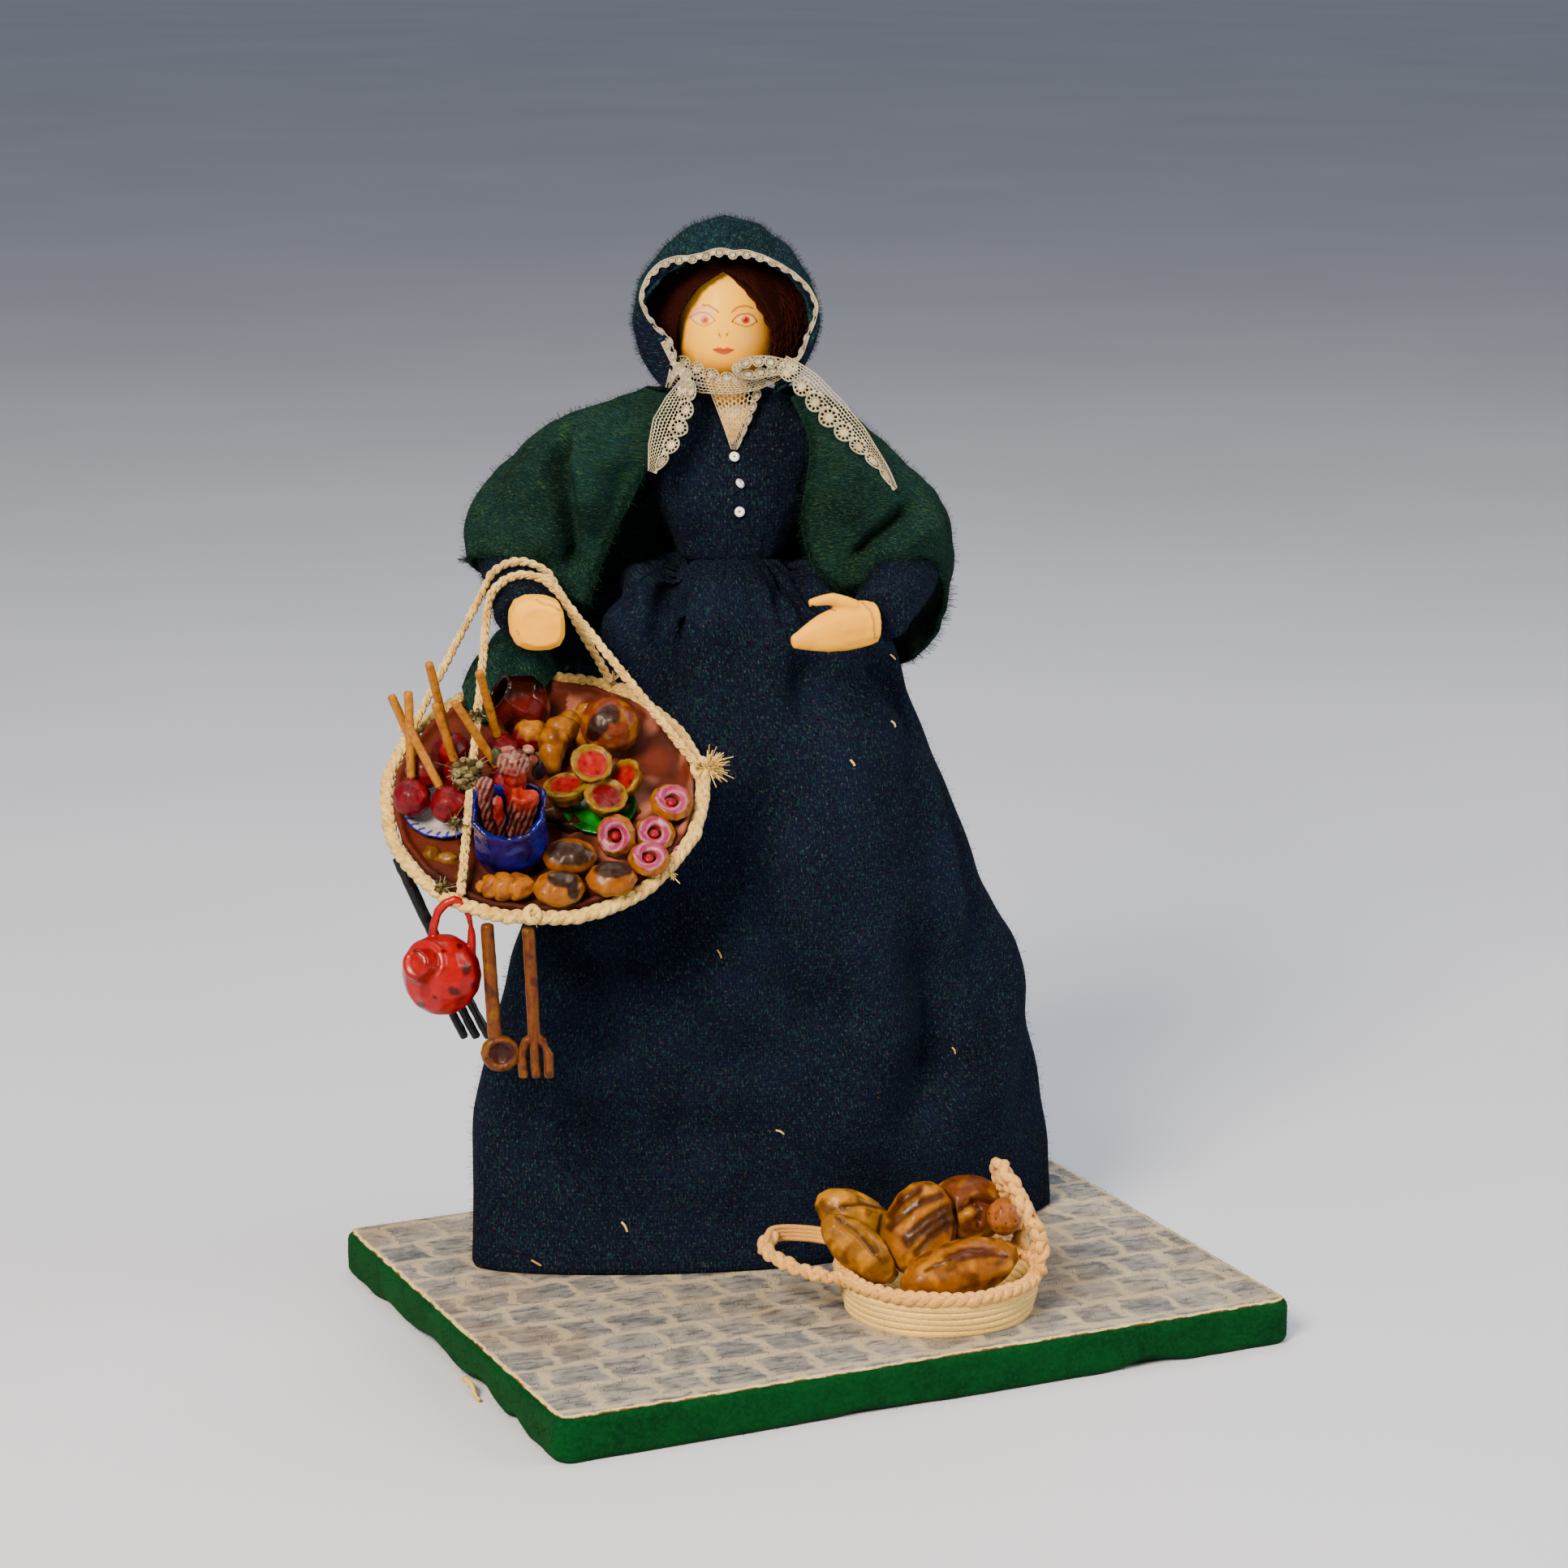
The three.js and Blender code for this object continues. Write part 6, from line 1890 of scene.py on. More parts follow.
def painted_copy(
    node, name, slot, colour, space="tray", voxel=0.45, smooth=3, shape=None, uneven=0.12, swell=1.0,
    shift=(0, 0, 0), puff=0.0,
):
    """A refined solid, reshaped and coloured by two functions of its own points in millimetres."""
    to_local, from_local, to_doll_space = SPACES[space]
    piece = refined(node, name, voxel, smooth)
    points = to_local(coordinates(piece))
    zero = to_local([(0, 0, 0)])
    way = unit(to_local(normals(piece)) - zero)
    middle = (points.min(0) + points.max(0)) / 2
    points = middle + (points - middle) * swell + shift + way * puff
    if shape:
        points = shape(points, way)
    points = points + way * (uneven * rough(points, 2.6, len(name)))[:, None]
    move_points(piece, from_local(points))
    way = unit(to_local(normals(piece)) - zero)
    shades = colour(points, pixels_of(to_doll_space(points)), way)
    paint(piece, shades)
    return finish_piece(piece, SLOT_FINISHES.get(slot, "varnished_clay"), slot, node)


def plain_colour(base, dark, light, size, seed):
    """Brushwork of one colour, darker in some patches and lighter in others."""
    layers = (dark, 0.8, 0.0, 0.5, size, seed), (light, 0.6, 0.05, 0.6, size * 1.4, seed + 9)
    return lambda points, places, way: coated(points, base, *layers)


def tray_colour(points, places, way):
    # The right half has pale pink patches, partly the clay's own patchy colour and partly painted light;
    # towards the front, above the floor, the clay is painted darker as painted shade.
    pink_patches_and_painted_light = 0.8 * step_between(-0.1, 0.4, rough(points, 6, 3)) * (points[:, 0] > 5)
    painted_shade_towards_front = 0.6 * step_between(-10, -34, points[:, 1]) * (points[:, 2] > 1)
    return coated(points, "#521B08", ("#A0604C", pink_patches_and_painted_light), ("#2A0B02", 0.8, 0.0, 0.5, 8, 8), ("#1D0701", painted_shade_towards_front))


painted_copy("tray", "clay_tray", "tray_clay", tray_colour, voxel=0.82, smooth=2, uneven=0.3)

# %% The plaited rim
RIM_TURNS = full_turn(540)
ring = circle(RIM_TURNS, RIM_RADIUS, RIM_MIDDLE)
ring[:, 2] += 0.25 * np.sin(7 * RIM_TURNS)
ring[:, :2] *= (1 + 0.006 * np.sin(5 * RIM_TURNS + 1) + 0.004 * np.sin(13 * RIM_TURNS))[:, None]
joined("jute_rim_plait", [plait(ring, 4.1, True, 4.6, 4)], from_tray, "plaited_jute", "jute", "tray_rim_cord")


def tuft(centre, way, count, long, thick, spread, seed, curl=0.3):
    """Short bent fibres from one point, leaning about a direction."""
    draw = np.random.default_rng(seed)
    parts = []
    for _ in range(count):
        aim = np.asarray(way, float) + draw.normal(0, spread, 3)
        aim /= np.linalg.norm(aim)
        reach = long * draw.uniform(0.5, 1.1)
        bend = draw.normal(0, curl, 3)
        t = np.linspace(0, 1, 5)[:, None]
        start = np.asarray(centre) + draw.normal(0, thick * 1.5, 3)
        parts.append(tube(start + aim * reach * t + bend * reach * t * t, thick * draw.uniform(0.6, 1.2), 5))
    return parts


def ring_point(degrees, out, up):
    return tray_to_doll(circle(np.radians([degrees]), RIM_RADIUS + out, RIM_MIDDLE + up))[0]


parts = tuft(ring_point(11, 2.0, 2.0), (1.0, -0.2, 0.3), 150, 4.8, 0.14, 0.6, 1)
parts += tuft(ring_point(-38, 1.0, 0.5), (0.6, -0.4, -0.3), 16, 2.2, 0.12, 0.5, 2)
parts += tuft(ring_point(-92, 0.5, 1.5), (0.2, -0.8, 0.1), 24, 2.4, 0.13, 0.8, 3)
parts += tuft(ring_point(66, 0.5, 2.5), (0.2, 0.3, 0.9), 18, 3.0, 0.12, 0.6, 4)
parts += tuft(ring_point(151, 0.5, 2.5), (-0.6, 0.1, 0.8), 16, 2.6, 0.12, 0.6, 5)
parts.append(wound_knot(ring_point(11, 0.6, 1.8), 2.2, 3))
parts.append(wound_knot(ring_point(-92, -0.2, 1.6), 1.8, 5))
joined("jute_knots_and_ends", parts, from_doll, "jute_fibre", "jute")


# %% Dried grass tufts
def pebble(centre, reach, sides, seed, uneven=0.12):
    """A small lump: a ball of points, a little uneven, in the same space as its centre."""
    levels = np.linspace(0.02, math.pi - 0.02, sides // 2 + 3)
    flat = np.vstack([circle(full_turn(sides), np.sin(a), np.cos(a)) for a in levels])
    flat = flat * (1 + uneven * rough(flat * 3, 2.0, seed))[:, None]
    faces = [face[::-1] for face in grid_faces(len(levels), sides, loop_columns=True)]
    count = len(flat)
    faces.append(tuple(range(sides)))
    faces.append(tuple(range(count - sides, count))[::-1])
    return flat * reach + centre, faces, np.zeros((count, 2))


def grass_material():
    """Dried grey-brown grass heads: each blade its own shade, quite matt."""
    tree, shader = new_material("dried_grass_heads")
    shades = (0.0, "#1C170B"), (0.4, "#42391F"), (0.8, "#675E3E"), (1.0, "#8C8160")
    grain = clouds(tree, object_place(tree), 0.4, 2.0)
    colour = ramp(tree, own_shade(tree), *shades)
    surface(tree, shader, colour, grain, 0.1, Roughness=0.9, Specular_IOR_Level=0.1)


grass_material()
sling_line = spline(SLINGS["sling_front"][0], 200)
sling_pixels = pixels_of(sling_line)


def on_sling(pixel_y):
    """The point of the front sling's left strand that shows at this height of the photograph."""
    rising = np.arange(len(sling_line)) < 90
    return sling_line[np.argmin(np.abs(sling_pixels[:, 1] - pixel_y) + 1e4 * ~rising)]


def grass_head(centre, size, count, seed):
    """A dried flower head: a ball of small seed lumps with a few short bent stalks."""
    draw = np.random.default_rng(seed)
    parts = tuft(centre, (0, -0.3, 0.2), count // 2, size * 0.95, 0.13, 1.6, seed, 0.8)
    for number in range(count):
        away = unit(draw.normal(0, 1, (1, 3)))[0] * size * draw.uniform(0.3, 0.85)
        parts.append(pebble(centre + away, draw.uniform(0.13, 0.28, 3) * size, 8, number, 0.3))
    return parts


parts = grass_head(on_sling(952) + (-1.2, -1.2, 0.0), 4.8, 130, 1)
parts += grass_head(on_sling(880) + (-0.4, -1.2, 0.0), 2.3, 50, 2)
parts += grass_head(on_sling(1015) + (-3.4, -1.0, 0.3), 2.2, 50, 3)
parts += grass_head(ring_point(-128, -0.5, 1.5), 2.4, 50, 4)
joined("dried_grass_tufts", parts, from_doll, "dried_grass_heads", "jute")

# %% [markdown]
# ## Sweets and pastries
#
# Eight toffee apples on wooden sticks stand on a white plate; jam tarts lie on a green one; between them
# are iced rings, chocolate buns and rolls. Jam, icing and chocolate are painted on, so they follow rules of
# place: jam fills the hollow of a tart, chocolate runs down from the top of a bun.

# %% Plates, apples, jug
APPLE_PLATE, APPLE_PLATE_RADIUS = (-26.0, -5.0), 11.6


def plate_colour(points, places, way):
    offset = points[:, :2] - APPLE_PLATE
    out = np.linalg.norm(offset, axis=1) / APPLE_PLATE_RADIUS
    turn = np.arctan2(offset[:, 1], offset[:, 0])
    curls = np.sin(26 * turn + 9 * out) * step_between(0.74, 0.8, out)
    painted = 0.9 * step_between(0.25, 0.6, curls)
    return coated(points, "#9B999B", ("#030F89", painted), ("#00007E", step_between(0.93, 0.96, out)))


painted_copy("apple_plate", "blue_rimmed_plate", "china", plate_colour, voxel=0.32, smooth=2, uneven=0.05)
green = plain_colour("#004F00", "#002800", "#008629", 3.0, 2)
painted_copy("tart_plate", "green_plate", "green_glaze", green, voxel=0.36, smooth=2, uneven=0.1)

APPLES = [
    (-34.1, -8, 10.6), (-24.2, -10.4, 10.6), (-31.4, 1.6, 10.6), (-22.2, 1.8, 7.8),
    (-25, 11.2, 7.7), (-11.5, 10.6, 7.7), (-3.8, 16.6, 7.7), (-9.6, 0, 8.2),
]
APPLE_RADIUS = 5.4


def apple_colour(start, number):
    def colour(points, places, way):
        middle = points[points[:, 2] < np.percentile(points[:, 2], 60)].mean(0)
        centre = start + (0, 0, np.clip((middle - start)[2], -2, 2))
        reach = np.linalg.norm(points - centre, axis=1) / APPLE_RADIUS
        return coated(
            points,
            "#5A0010",
            ("#86000A", 0.6, 0, 0.5, 4, number),
            ("#300006", 0.7, 0.1, 0.5, 3, number + 20),
            ("#400200", 0.8 * step_between(1.02, 1.1, reach)),
            ("#96600E", step_between(1.12, 1.2, reach)),
            ("#6A3A04", 0.5 * (reach > 6 / APPLE_RADIUS), 0.1, 0.5, 1.5, 4),
        )

    return colour


for number, start in enumerate(np.array(APPLES)):
    node = f"toffee_apple_{number + 1}"
    painted_copy(node, f"red_{node}", "toffee", apple_colour(start, number), voxel=0.36, smooth=2, puff=0.4)


def jug_shape(points, way):
    """The rim's two front corners are pulled up and the front wall is dented."""
    places = pixels_of(tray_to_doll(points))
    high = step_between(8, 14, points[:, 2])
    corners = spot(places, (584, 995), (16, 22), 0.9) + 1.3 * spot(places, (668, 1000), (14, 22), 0.9)
    points[:, 2] += 2.2 * high * corners
    return points - way * (1.2 * spot(places, (632, 1020), (12, 30), 0.9) * (1 - high))[:, None]


blue = plain_colour("#04004E", "#02002C", "#08037A", 5.0, 3)
painted_copy(
    "jug", "blue_jug", "blue_glaze", blue, voxel=0.42, smooth=7, shape=jug_shape, uneven=0.3,
    swell=(1.14, 1.1, 1.04), shift=(0.9, -0.5, 0),
)


def sweets_colour(points, places, way):
    stripes = np.sin(places[:, 0] * 0.9 + places[:, 1] * 0.35 + 2 * rough(points, 3, 1))
    rose = spot(places, (640, 936), (24, 20), 0.3)
    return coated(
        points,
        "#581000",
        ("#80605A", 0.8 * step_between(0.2, 0.7, stripes)),
        ("#300000", 0.8 * step_between(0.1, 0.6, -stripes)),
        ("#780800", 0.95 * spot(places, (621, 980), (9, 36), 0.2, 0.25)),
        ("#861A00", 0.95 * spot(places, (648, 975), (19, 24), 0.3)),
        ("#640000", 0.7 * stroke(places, [(636, 960), (640, 985), (642, 1000)], 5)),
        ("#806054", 0.9 * rose, -0.2, 0.5, 1.3, 5),
        ("#4A1600", 0.7 * rose, 0.1, 0.5, 1.2, 15),
    )


painted_copy(
    "jug_sweets", "barley_sugar_bunch", "sugar", sweets_colour, voxel=0.4, uneven=0.5,
    swell=(1.12, 1.1, 1.12), shift=(0.6, 0, 1.6),
)


# %% Tarts and rings
def own_axes(points, tilt_x, tilt_y):
    """A tilted thing's points in its own axes, from its middle."""
    middle = (points.min(0) + points.max(0)) / 2
    a, b = math.radians(tilt_x), math.radians(tilt_y)
    about_x = np.array(((1, 0, 0), (0, math.cos(a), -math.sin(a)), (0, math.sin(a), math.cos(a))))
    about_y = np.array(((math.cos(b), 0, math.sin(b)), (0, 1, 0), (-math.sin(b), 0, math.cos(b))))
    return (points - middle) @ (about_y @ about_x)


def tart_colour(tilts, jam, seed):
    def colour(points, places, way):
        own = own_axes(points, *tilts)
        out = np.linalg.norm(own[:, :2], axis=1) + 0.35 * rough(points, 2, seed)
        filled = (1 - step_between(3.75, 3.95, out)) * step_between(0.3, 0.8, own[:, 2])
        return coated(
            points,
            "#663D00",
            ("#7A5B00", 0.85 * step_between(3.9, 4.6, out) * (own[:, 2] > 0)),
            ("#431D00", 0.8, 0, 0.5, 2.2, seed),
            (jam, filled),
            ("#330000", 0.6 * filled, 0.2, 0.6, 1.5, seed + 3),
        )

    return colour


def pastry(node, name, colour, swell, shift, uneven):
    """A tart or a ring, on a fine copy of its solid."""
    return painted_copy(node, name, "pastry", colour, "tray", 0.3, 2, None, uneven, swell, shift)


TARTS = [
    ((-18, -8), "#810000", 1.25, (0.6, -1.6, 0.4)), ((10, -34), "#7C0000", 1.12, (-0.8, 0.2, 0.3)),
    ((2, 8), "#580000", 1.2, (2.2, 2.2, 1.2)), ((14, 8), "#840000", 1.15, (0, 0, 0.3)),
]
for number, (tilts, jam, swell, shift) in enumerate(TARTS):
    node = f"jam_tart_{number + 1}"
    pastry(node, f"painted_{node}", tart_colour(tilts, jam, number), swell, shift, 0.35)


def ring_colour(tilts, seed):
    def colour(points, places, way):
        own = own_axes(points, *tilts)
        turn = np.arctan2(own[:, 1], own[:, 0])
        out = np.linalg.norm(own[:, :2], axis=1)
        iced = step_between(0.35, 0.8, own[:, 2])
        iced = iced * (1 - step_between(4.2, 4.5, out + 0.3 * np.sin(3 * turn + seed)))
        streak = np.sin(2.5 * turn + 3.2 * out + seed)
        return coated(
            points,
            "#7E4500",
            ("#8B6500", 0.6, 0, 0.5, 2, seed),
            ("#572100", 0.7, 0.1, 0.5, 1.8, seed + 4),
            ("#881C4D", iced),
            ("#906B74", 0.85 * iced * step_between(0.2, 0.8, streak)),
        )

    return colour


RINGS = [
    ((38, -26), 1.15, (0.6, 0.3, 1.2)), ((12, 4), 1.12, (0.6, -0.6, 0.6)),
    ((8, 8), 1.18, (0.4, 0.2, 0.8)), ((6, 4), 1.12, (1.0, -0.4, 0.4)),
]
hearts = []
for number, (tilts, swell, shift) in enumerate(RINGS):
    node = f"iced_ring_{number + 1}"
    ring = pastry(node, f"pink_{node}", ring_colour(tilts, number), swell, shift, 0.25)
    spread = to_tray(coordinates(ring))
    hearts.append((spread.min(0) + spread.max(0)) / 2)


def painted_lumps(name, lumps, slot, place_in):
    """Several lumps as one piece; each brings its own colour."""
    points, faces, values = gather([lump for lump, colour in lumps])
    shades = np.vstack([colour_rows(len(lump[0]), colour) for lump, colour in lumps])
    shades = brush(shades, "#260D00", 0.4 * step_between(0.1, 0.6, rough(points, 1.2, 6)))
    piece = object_from(name, place_in(points), faces)
    paint(piece, shades)
    return finish_piece(piece, "varnished_clay", slot)


lumps = [(pebble(middle, (1.5, 1.5, 1.1), 16, 3), "#810015") for middle in hearts]
painted_lumps("ring_hearts", lumps, "sugar", from_tray)


# %% Buns and rolls
def bun_colour(base, dark, blots, gleams=()):
    """A baked lump with painted blots given as pixel ovals: centre, reach, turn. Gleams are painted
    highlights, as pixel ovals: centre, reach.
    """
    def colour(points, places, way):
        wobbly = places + 2.2 * rough(points, 1.6, 5)[:, None]
        crust = ("#8A5A00", 0.6, 0, 0.5, 3.2, 3), ("#6C3000", 0.7, 0.1, 0.6, 2.4, 13)
        glaze = [(dark, 0.95 * spot(wobbly, centre, reach, 0.15, turn)) for centre, reach, turn in blots]
        # Painted highlights on the glaze.
        painted_highlights = [("#6B605B", 0.45 * spot(wobbly, centre, reach, 0.4)) for centre, reach in gleams]
        return coated(points, base, *crust, *glaze, *painted_highlights)

    return colour


CHOCOLATE = "#160703"
# Each bun: crust colour, glaze colour, swell, shift, glaze blots, and the ovals of its painted highlights.
BUNS = {
    "chocolate_bun_1": (
        "#6E3A00", CHOCOLATE, 1.2, (1.9, -0.6, 0.5),
        [((702, 1052), (30, 15), 0.1)],
        [((684, 1062), (5, 2.5))],
    ),
    "chocolate_bun_2": (
        "#7C4600", CHOCOLATE, 1.18, (0.6, -1.6, 0.5),
        [((694, 1083), (20, 11), 0.1), ((706, 1096), (8, 14), -0.2)],
        [((701, 1082), (5, 5)), ((706, 1110), (3, 3)), ((680, 1078), (3, 2))],
    ),
    "chocolate_bun_3": (
        "#7E4500", CHOCOLATE, 1.15, (1.8, -2.0, 0.4),
        [((756, 1070), (25, 12), -0.05)],
        [((740, 1084), (5, 4))],
    ),
    "glazed_bun": (
        "#5E2404", "#1E0A06", 1.2, (-3.2, 1.6, 1.0),
        [((738, 893), (12, 20), 0.5), ((752, 880), (14, 12), 0.3), ((730, 905), (8, 9), 0)],
        [((737, 891), (2.5, 2)), ((750, 909), (4, 1.6))],
    ),
}
for node, (base, dark, swell, shift, blots, gleams) in BUNS.items():
    slot = "crust" if node == "glazed_bun" else "pastry"
    colour = bun_colour(base, dark, blots, gleams)
    painted_copy(node, f"painted_{node}", slot, colour, "tray", 0.36, 4, None, 0.3, swell, shift)


def plaited_shape(points, way):
    middle = (points.min(0) + points.max(0)) / 2
    own = points - middle
    groove = np.abs(np.sin((own[:, 0] * 0.62 + np.abs(own[:, 2]) * 0.35 + np.abs(own[:, 1]) * 0.5) * 1.1))
    return points - way * (0.75 * (1 - groove) ** 2)[:, None]


def crescent_shape(points, way):
    along = points[:, 0] * 0.4 + points[:, 1]
    groove = np.abs(np.sin(along * 0.62))
    return points - way * (0.55 * (1 - groove) ** 3)[:, None]


gold = plain_colour("#8C5100", "#572900", "#9E7400", 2.4, 5)
mustard = plain_colour("#7A4700", "#492200", "#946600", 3.0, 6)
painted_copy(
    "pastry_roll", "plaited_roll", "pastry", gold, voxel=0.34, shape=plaited_shape,
    swell=(1.1, 1.3, 1.4), shift=(0.4, -0.6, 0.6),
)
painted_copy(
    "crescent_rolls", "folded_rolls", "pastry", mustard, voxel=0.4, shape=crescent_shape,
    uneven=0.3, puff=1.3, shift=(-0.4, 0.5, 0.8),
)


def chestnut(points, places, way):
    shades = plain_colour("#4B0700", "#220300", "#691500", 5.0, 7)(points, places, way)
    return brush(shades, "#070100", 0.9 * step_between(872, 850, places[:, 1] + 0.25 * (places[:, 0] - 640)))


painted_copy(
    "brown_pot", "chestnut_pot", "brown_glaze", chestnut, voxel=0.42, smooth=8, uneven=0.1,
    swell=(1.08, 1.1, 1.25), shift=(-3.0, -1.0, 0.8),
)

# %% Small bits between the sweets
def on_plane(pixel, height, to_local):
    """The point at a height in a local space, in millimetres, that a pixel shows."""
    start, way = sight(*pixel)
    near, far = to_local(from_doll([start, start + way]))
    return near + (far - near) * ((height - near[2]) / (far[2] - near[2]))


BITS = [
    ((749, 959), 6.0, (4.8, 3.6, 1.8), "#4A2C06"), ((738, 957), 7.6, (3.2, 1.2, 0.9), "#94700E"),
    ((762, 962), 7.2, (1.2, 1.0, 0.9), "#8E7A58"), ((766, 966), 7.0, (0.9, 0.9, 0.8), "#7C6848"),
    ((757, 967), 7.4, (0.9, 0.8, 0.7), "#9A8866"), ((769, 998), 2.5, (4.4, 1.8, 1.8), "#5E3806"),
    ((532, 1052), 1.8, (2.4, 2.6, 1.8), "#5C3A08"), ((551, 1058), 1.8, (3.4, 2.0, 1.8), "#6A470A"),
    ((573, 1079), 1.5, (3.2, 2.2, 1.5), "#4E3006"), ((683, 1001), 3.0, (4.4, 3.2, 3.0), "#3A1E04"),
    ((703, 1016), 2.5, (3.6, 2.6, 2.2), "#2C1503"), ((668, 930), 3.0, (4.0, 3.4, 3.2), "#2E1604"),
    ((612, 934), 15.0, (2.0, 1.6, 3.2), "#38402E"), ((664, 948), 13.0, (1.8, 1.6, 3.8), "#12141F"),
    ((626, 925), 17.0, (1.8, 1.2, 1.6), "#8C5A50"), ((640, 930), 18.0, (1.6, 1.4, 1.8), "#3A1410"),
    ((651, 924), 17.0, (1.8, 1.2, 1.5), "#94685A"), ((656, 938), 16.5, (1.5, 1.3, 1.7), "#5C2A1C"),
]


def scattered(bits, to_local, sides, uneven):
    """Lumps where pixels show them: each bit is a pixel, a height, the lump's reach and its colour."""
    lumps = []
    for number, (pixel, height, reach, colour) in enumerate(bits):
        lumps.append((pebble(on_plane(pixel, height, to_local), reach, sides, number, uneven), colour))
    return lumps


painted_lumps("pastry_bits", scattered(BITS, to_tray, 20, 0.3), "pastry", from_tray)

RING_PIXEL, RING_REACH, RING_THICK = (821, 1054), 2.7, 1.5
turns = full_turn(40)
line = circle(turns, RING_REACH, 0.25 * np.sin(3 * turns)) + on_plane(RING_PIXEL, 1.6, to_tray)
points, faces, values = tube(line, RING_THICK, 14, True)
last_ring = object_from("pink_iced_ring_5", from_tray(points), faces, values)
paint(last_ring, coated(points, "#6A3F06", ("#8A2C50", step_between(0.3, 0.7, points[:, 2] - line[0, 2]))))
finish_piece(last_ring, "varnished_clay", "pastry")

# %% [markdown]
# ## What hangs from the tray
#
# A carved spoon and fork of boxwood, dark with varnish in their hollows, an iron fork, and a round kettle
# of red enamel, chipped down to black where it has knocked against them.

# %% Tools and kettle
def wood_colour(seed):
    def colour(points, places, way):
        grain = rough(points * (1.6, 1.6, 0.22), 1.0, seed)
        worn = 0.6 * step_between(138, 146, points[:, 2]) * step_between(-0.1, 0.3, grain)
        return coated(
            points,
            "#5E3000",
            ("#4B1800", 0.75 * step_between(0, 0.45, grain)),
            ("#704A00", 0.5, 0.1, 0.5, 4, seed + 2),
            ("#2B0A00", 0.75, 0.1, 0.45, 2.6, seed + 7),
            ("#5F502C", worn),
        )

    return colour


def spoon_colour(points, places, way):
    shades = wood_colour(3)(points, places, way)
    bowl = spot(places, (619, 1297), (17, 14), 0.12, -0.3)
    return brush(shades, "#240100", 0.92 * bowl * (way[:, 1] < 0.2))


painted_copy("wooden_spoon", "boxwood_spoon", "carved_wood", spoon_colour, "doll", 0.34, puff=0.5)
painted_copy("wooden_fork", "boxwood_fork", "carved_wood", wood_colour(5), "doll", 0.32, puff=0.45)
iron = plain_colour("#040407", "#0C0909", "#1B1B24", 2.0, 2)
painted_copy("iron_fork", "iron_fork_black", "black_iron", iron, "doll", 0.34, uneven=0.2, puff=0.35)
KETTLE_PIXEL = (523, 1186)
CHIPS = [
    ((575, 1194), (5, 8), 0.2), ((560, 1222), (8, 5), 0.3), ((513, 1172), (4, 3), 0),
    ((519, 1238), (6, 3), 0.4), ((546, 1172), (3, 2), 0), ((583, 1214), (3, 4), 0),
    ((536, 1229), (3, 2), 0.5), ((566, 1166), (4, 3), 0.6),
]


def kettle_colour(points, places, way):
    wobbly = places + 1.8 * rough(points, 1.0, 5)[:, None]
    chips = [("#0C0404", 0.85 * spot(wobbly, centre, reach, 0.3, turn)) for centre, reach, turn in CHIPS]
    ring = np.abs(np.linalg.norm((places - KETTLE_PIXEL) / (1, 0.95), axis=1) - 17)
    shadow = 0.6 * (1 - step_between(1, 3.5, ring)) * (points[:, 1] < -92)
    return coated(points, "#8C0002", ("#5E0000", 0.6, 0.1, 0.5, 5, 3), *chips, ("#680000", shadow))


def kettle_shape(points, way):
    """Rounder than the solid: stretched up from its foot, with a raised ring on its front."""
    foot = points[:, 2].min()
    middle = points[:, 0].mean()
    points[:, 2] = foot + (points[:, 2] - foot) * 1.12
    points[:, 0] = middle + (points[:, 0] - middle) * 1.04
    ring = np.linalg.norm(pixels_of(points) - KETTLE_PIXEL, axis=1) - 24
    return points + way * (0.45 * np.exp(-((ring / 4) ** 2)) * (points[:, 2] < foot + 26))[:, None]


painted_copy(
    "red_kettle", "red_enamel_kettle", "red_enamel", kettle_colour, "doll", 0.42, 9, kettle_shape, puff=0.3
)

# %% [markdown]
# ## The basket
#
# Coils of pale straw are sewn one on another, the rim is a plait, and each handle is a flat plait of the
# same straw, one folded down on her right and one standing up. The loaves are painted clay again, slashed
# and creased before they dried.

# %% Coiled straw
def straw_material(name, pale, middle, dark):
    """Pale straw: long fine fibres along each coil, with brown between the pale ones."""
    tree, shader = new_material(name)
    drawn = add(tree, "ShaderNodeMapping", _0=weave_place(tree), Scale=(4.0, 0.5, 1)).outputs[0]
    fibre = add(tree, "ShaderNodeTexNoise", Vector=drawn, Scale=2.0, Detail=4.0).outputs[0]
    colour = ramp(tree, fibre, (0.3, dark), (0.45, middle), (0.62, pale))
    colour = stain(tree, colour, clouds(tree, object_place(tree), 6, 3.0), 0.4, 0.7, 0.5, middle)
    surface(tree, shader, colour, fibre, 0.15, Roughness=0.5, Specular_IOR_Level=0.35, Sheen_Weight=0.1)


straw_material("pale_coiled_straw", "#EBCF84", "#DCB75C", "#9A7226")
straw_material("worn_plaited_straw", "#E4B466", "#CE9440", "#6E4416")
BASKET_FOOT, BASKET_RIM, BASKET_HIGH = 25.3, 27.5, 11.0
COILS = 6
parts = []
for k in range(COILS):
    share = (k + 0.5) / COILS
    turns = full_turn(160)
    reach = BASKET_FOOT + (BASKET_RIM - BASKET_FOOT) * share - 1.0 + 0.12 * np.sin(6 * turns + k)
    level = BASKET_HIGH * share + 0.15 * np.sin(4 * turns + 2 * k)
    parts.append(tube(circle(turns, reach, level), 1.25, 10, True))
turns = np.linspace(0, 2 * math.pi * 12, 800)
parts.append(tube(circle(turns, turns / turns[-1] * 24, 1.1)[8:], 1.05, 6))
joined("basket_coils", parts, from_basket, "pale_coiled_straw", "cane", "basket")

turns = full_turn(360)
reach = BASKET_RIM - 0.9 + 0.2 * np.sin(9 * turns)
ring = circle(turns, reach, BASKET_HIGH + 0.2)
joined("basket_rim_plait", [plait(ring, 4.4, True, 5.0, 9)], from_basket, "worn_plaited_straw", "cane")

FOLDED = [
    (-24, 12, 14.2), (-35, 12.5, 16.2), (-45, 8, 17.6), (-47, -1, 16.8), (-38, -9.5, 14), (-24.5, -10, 11),
]
UPRIGHT = [(26, -5, 11), (27, -6, 20), (22, -5, 31), (17, 2, 38), (17, 8, 33), (22, 13, 20), (23, 12, 11)]


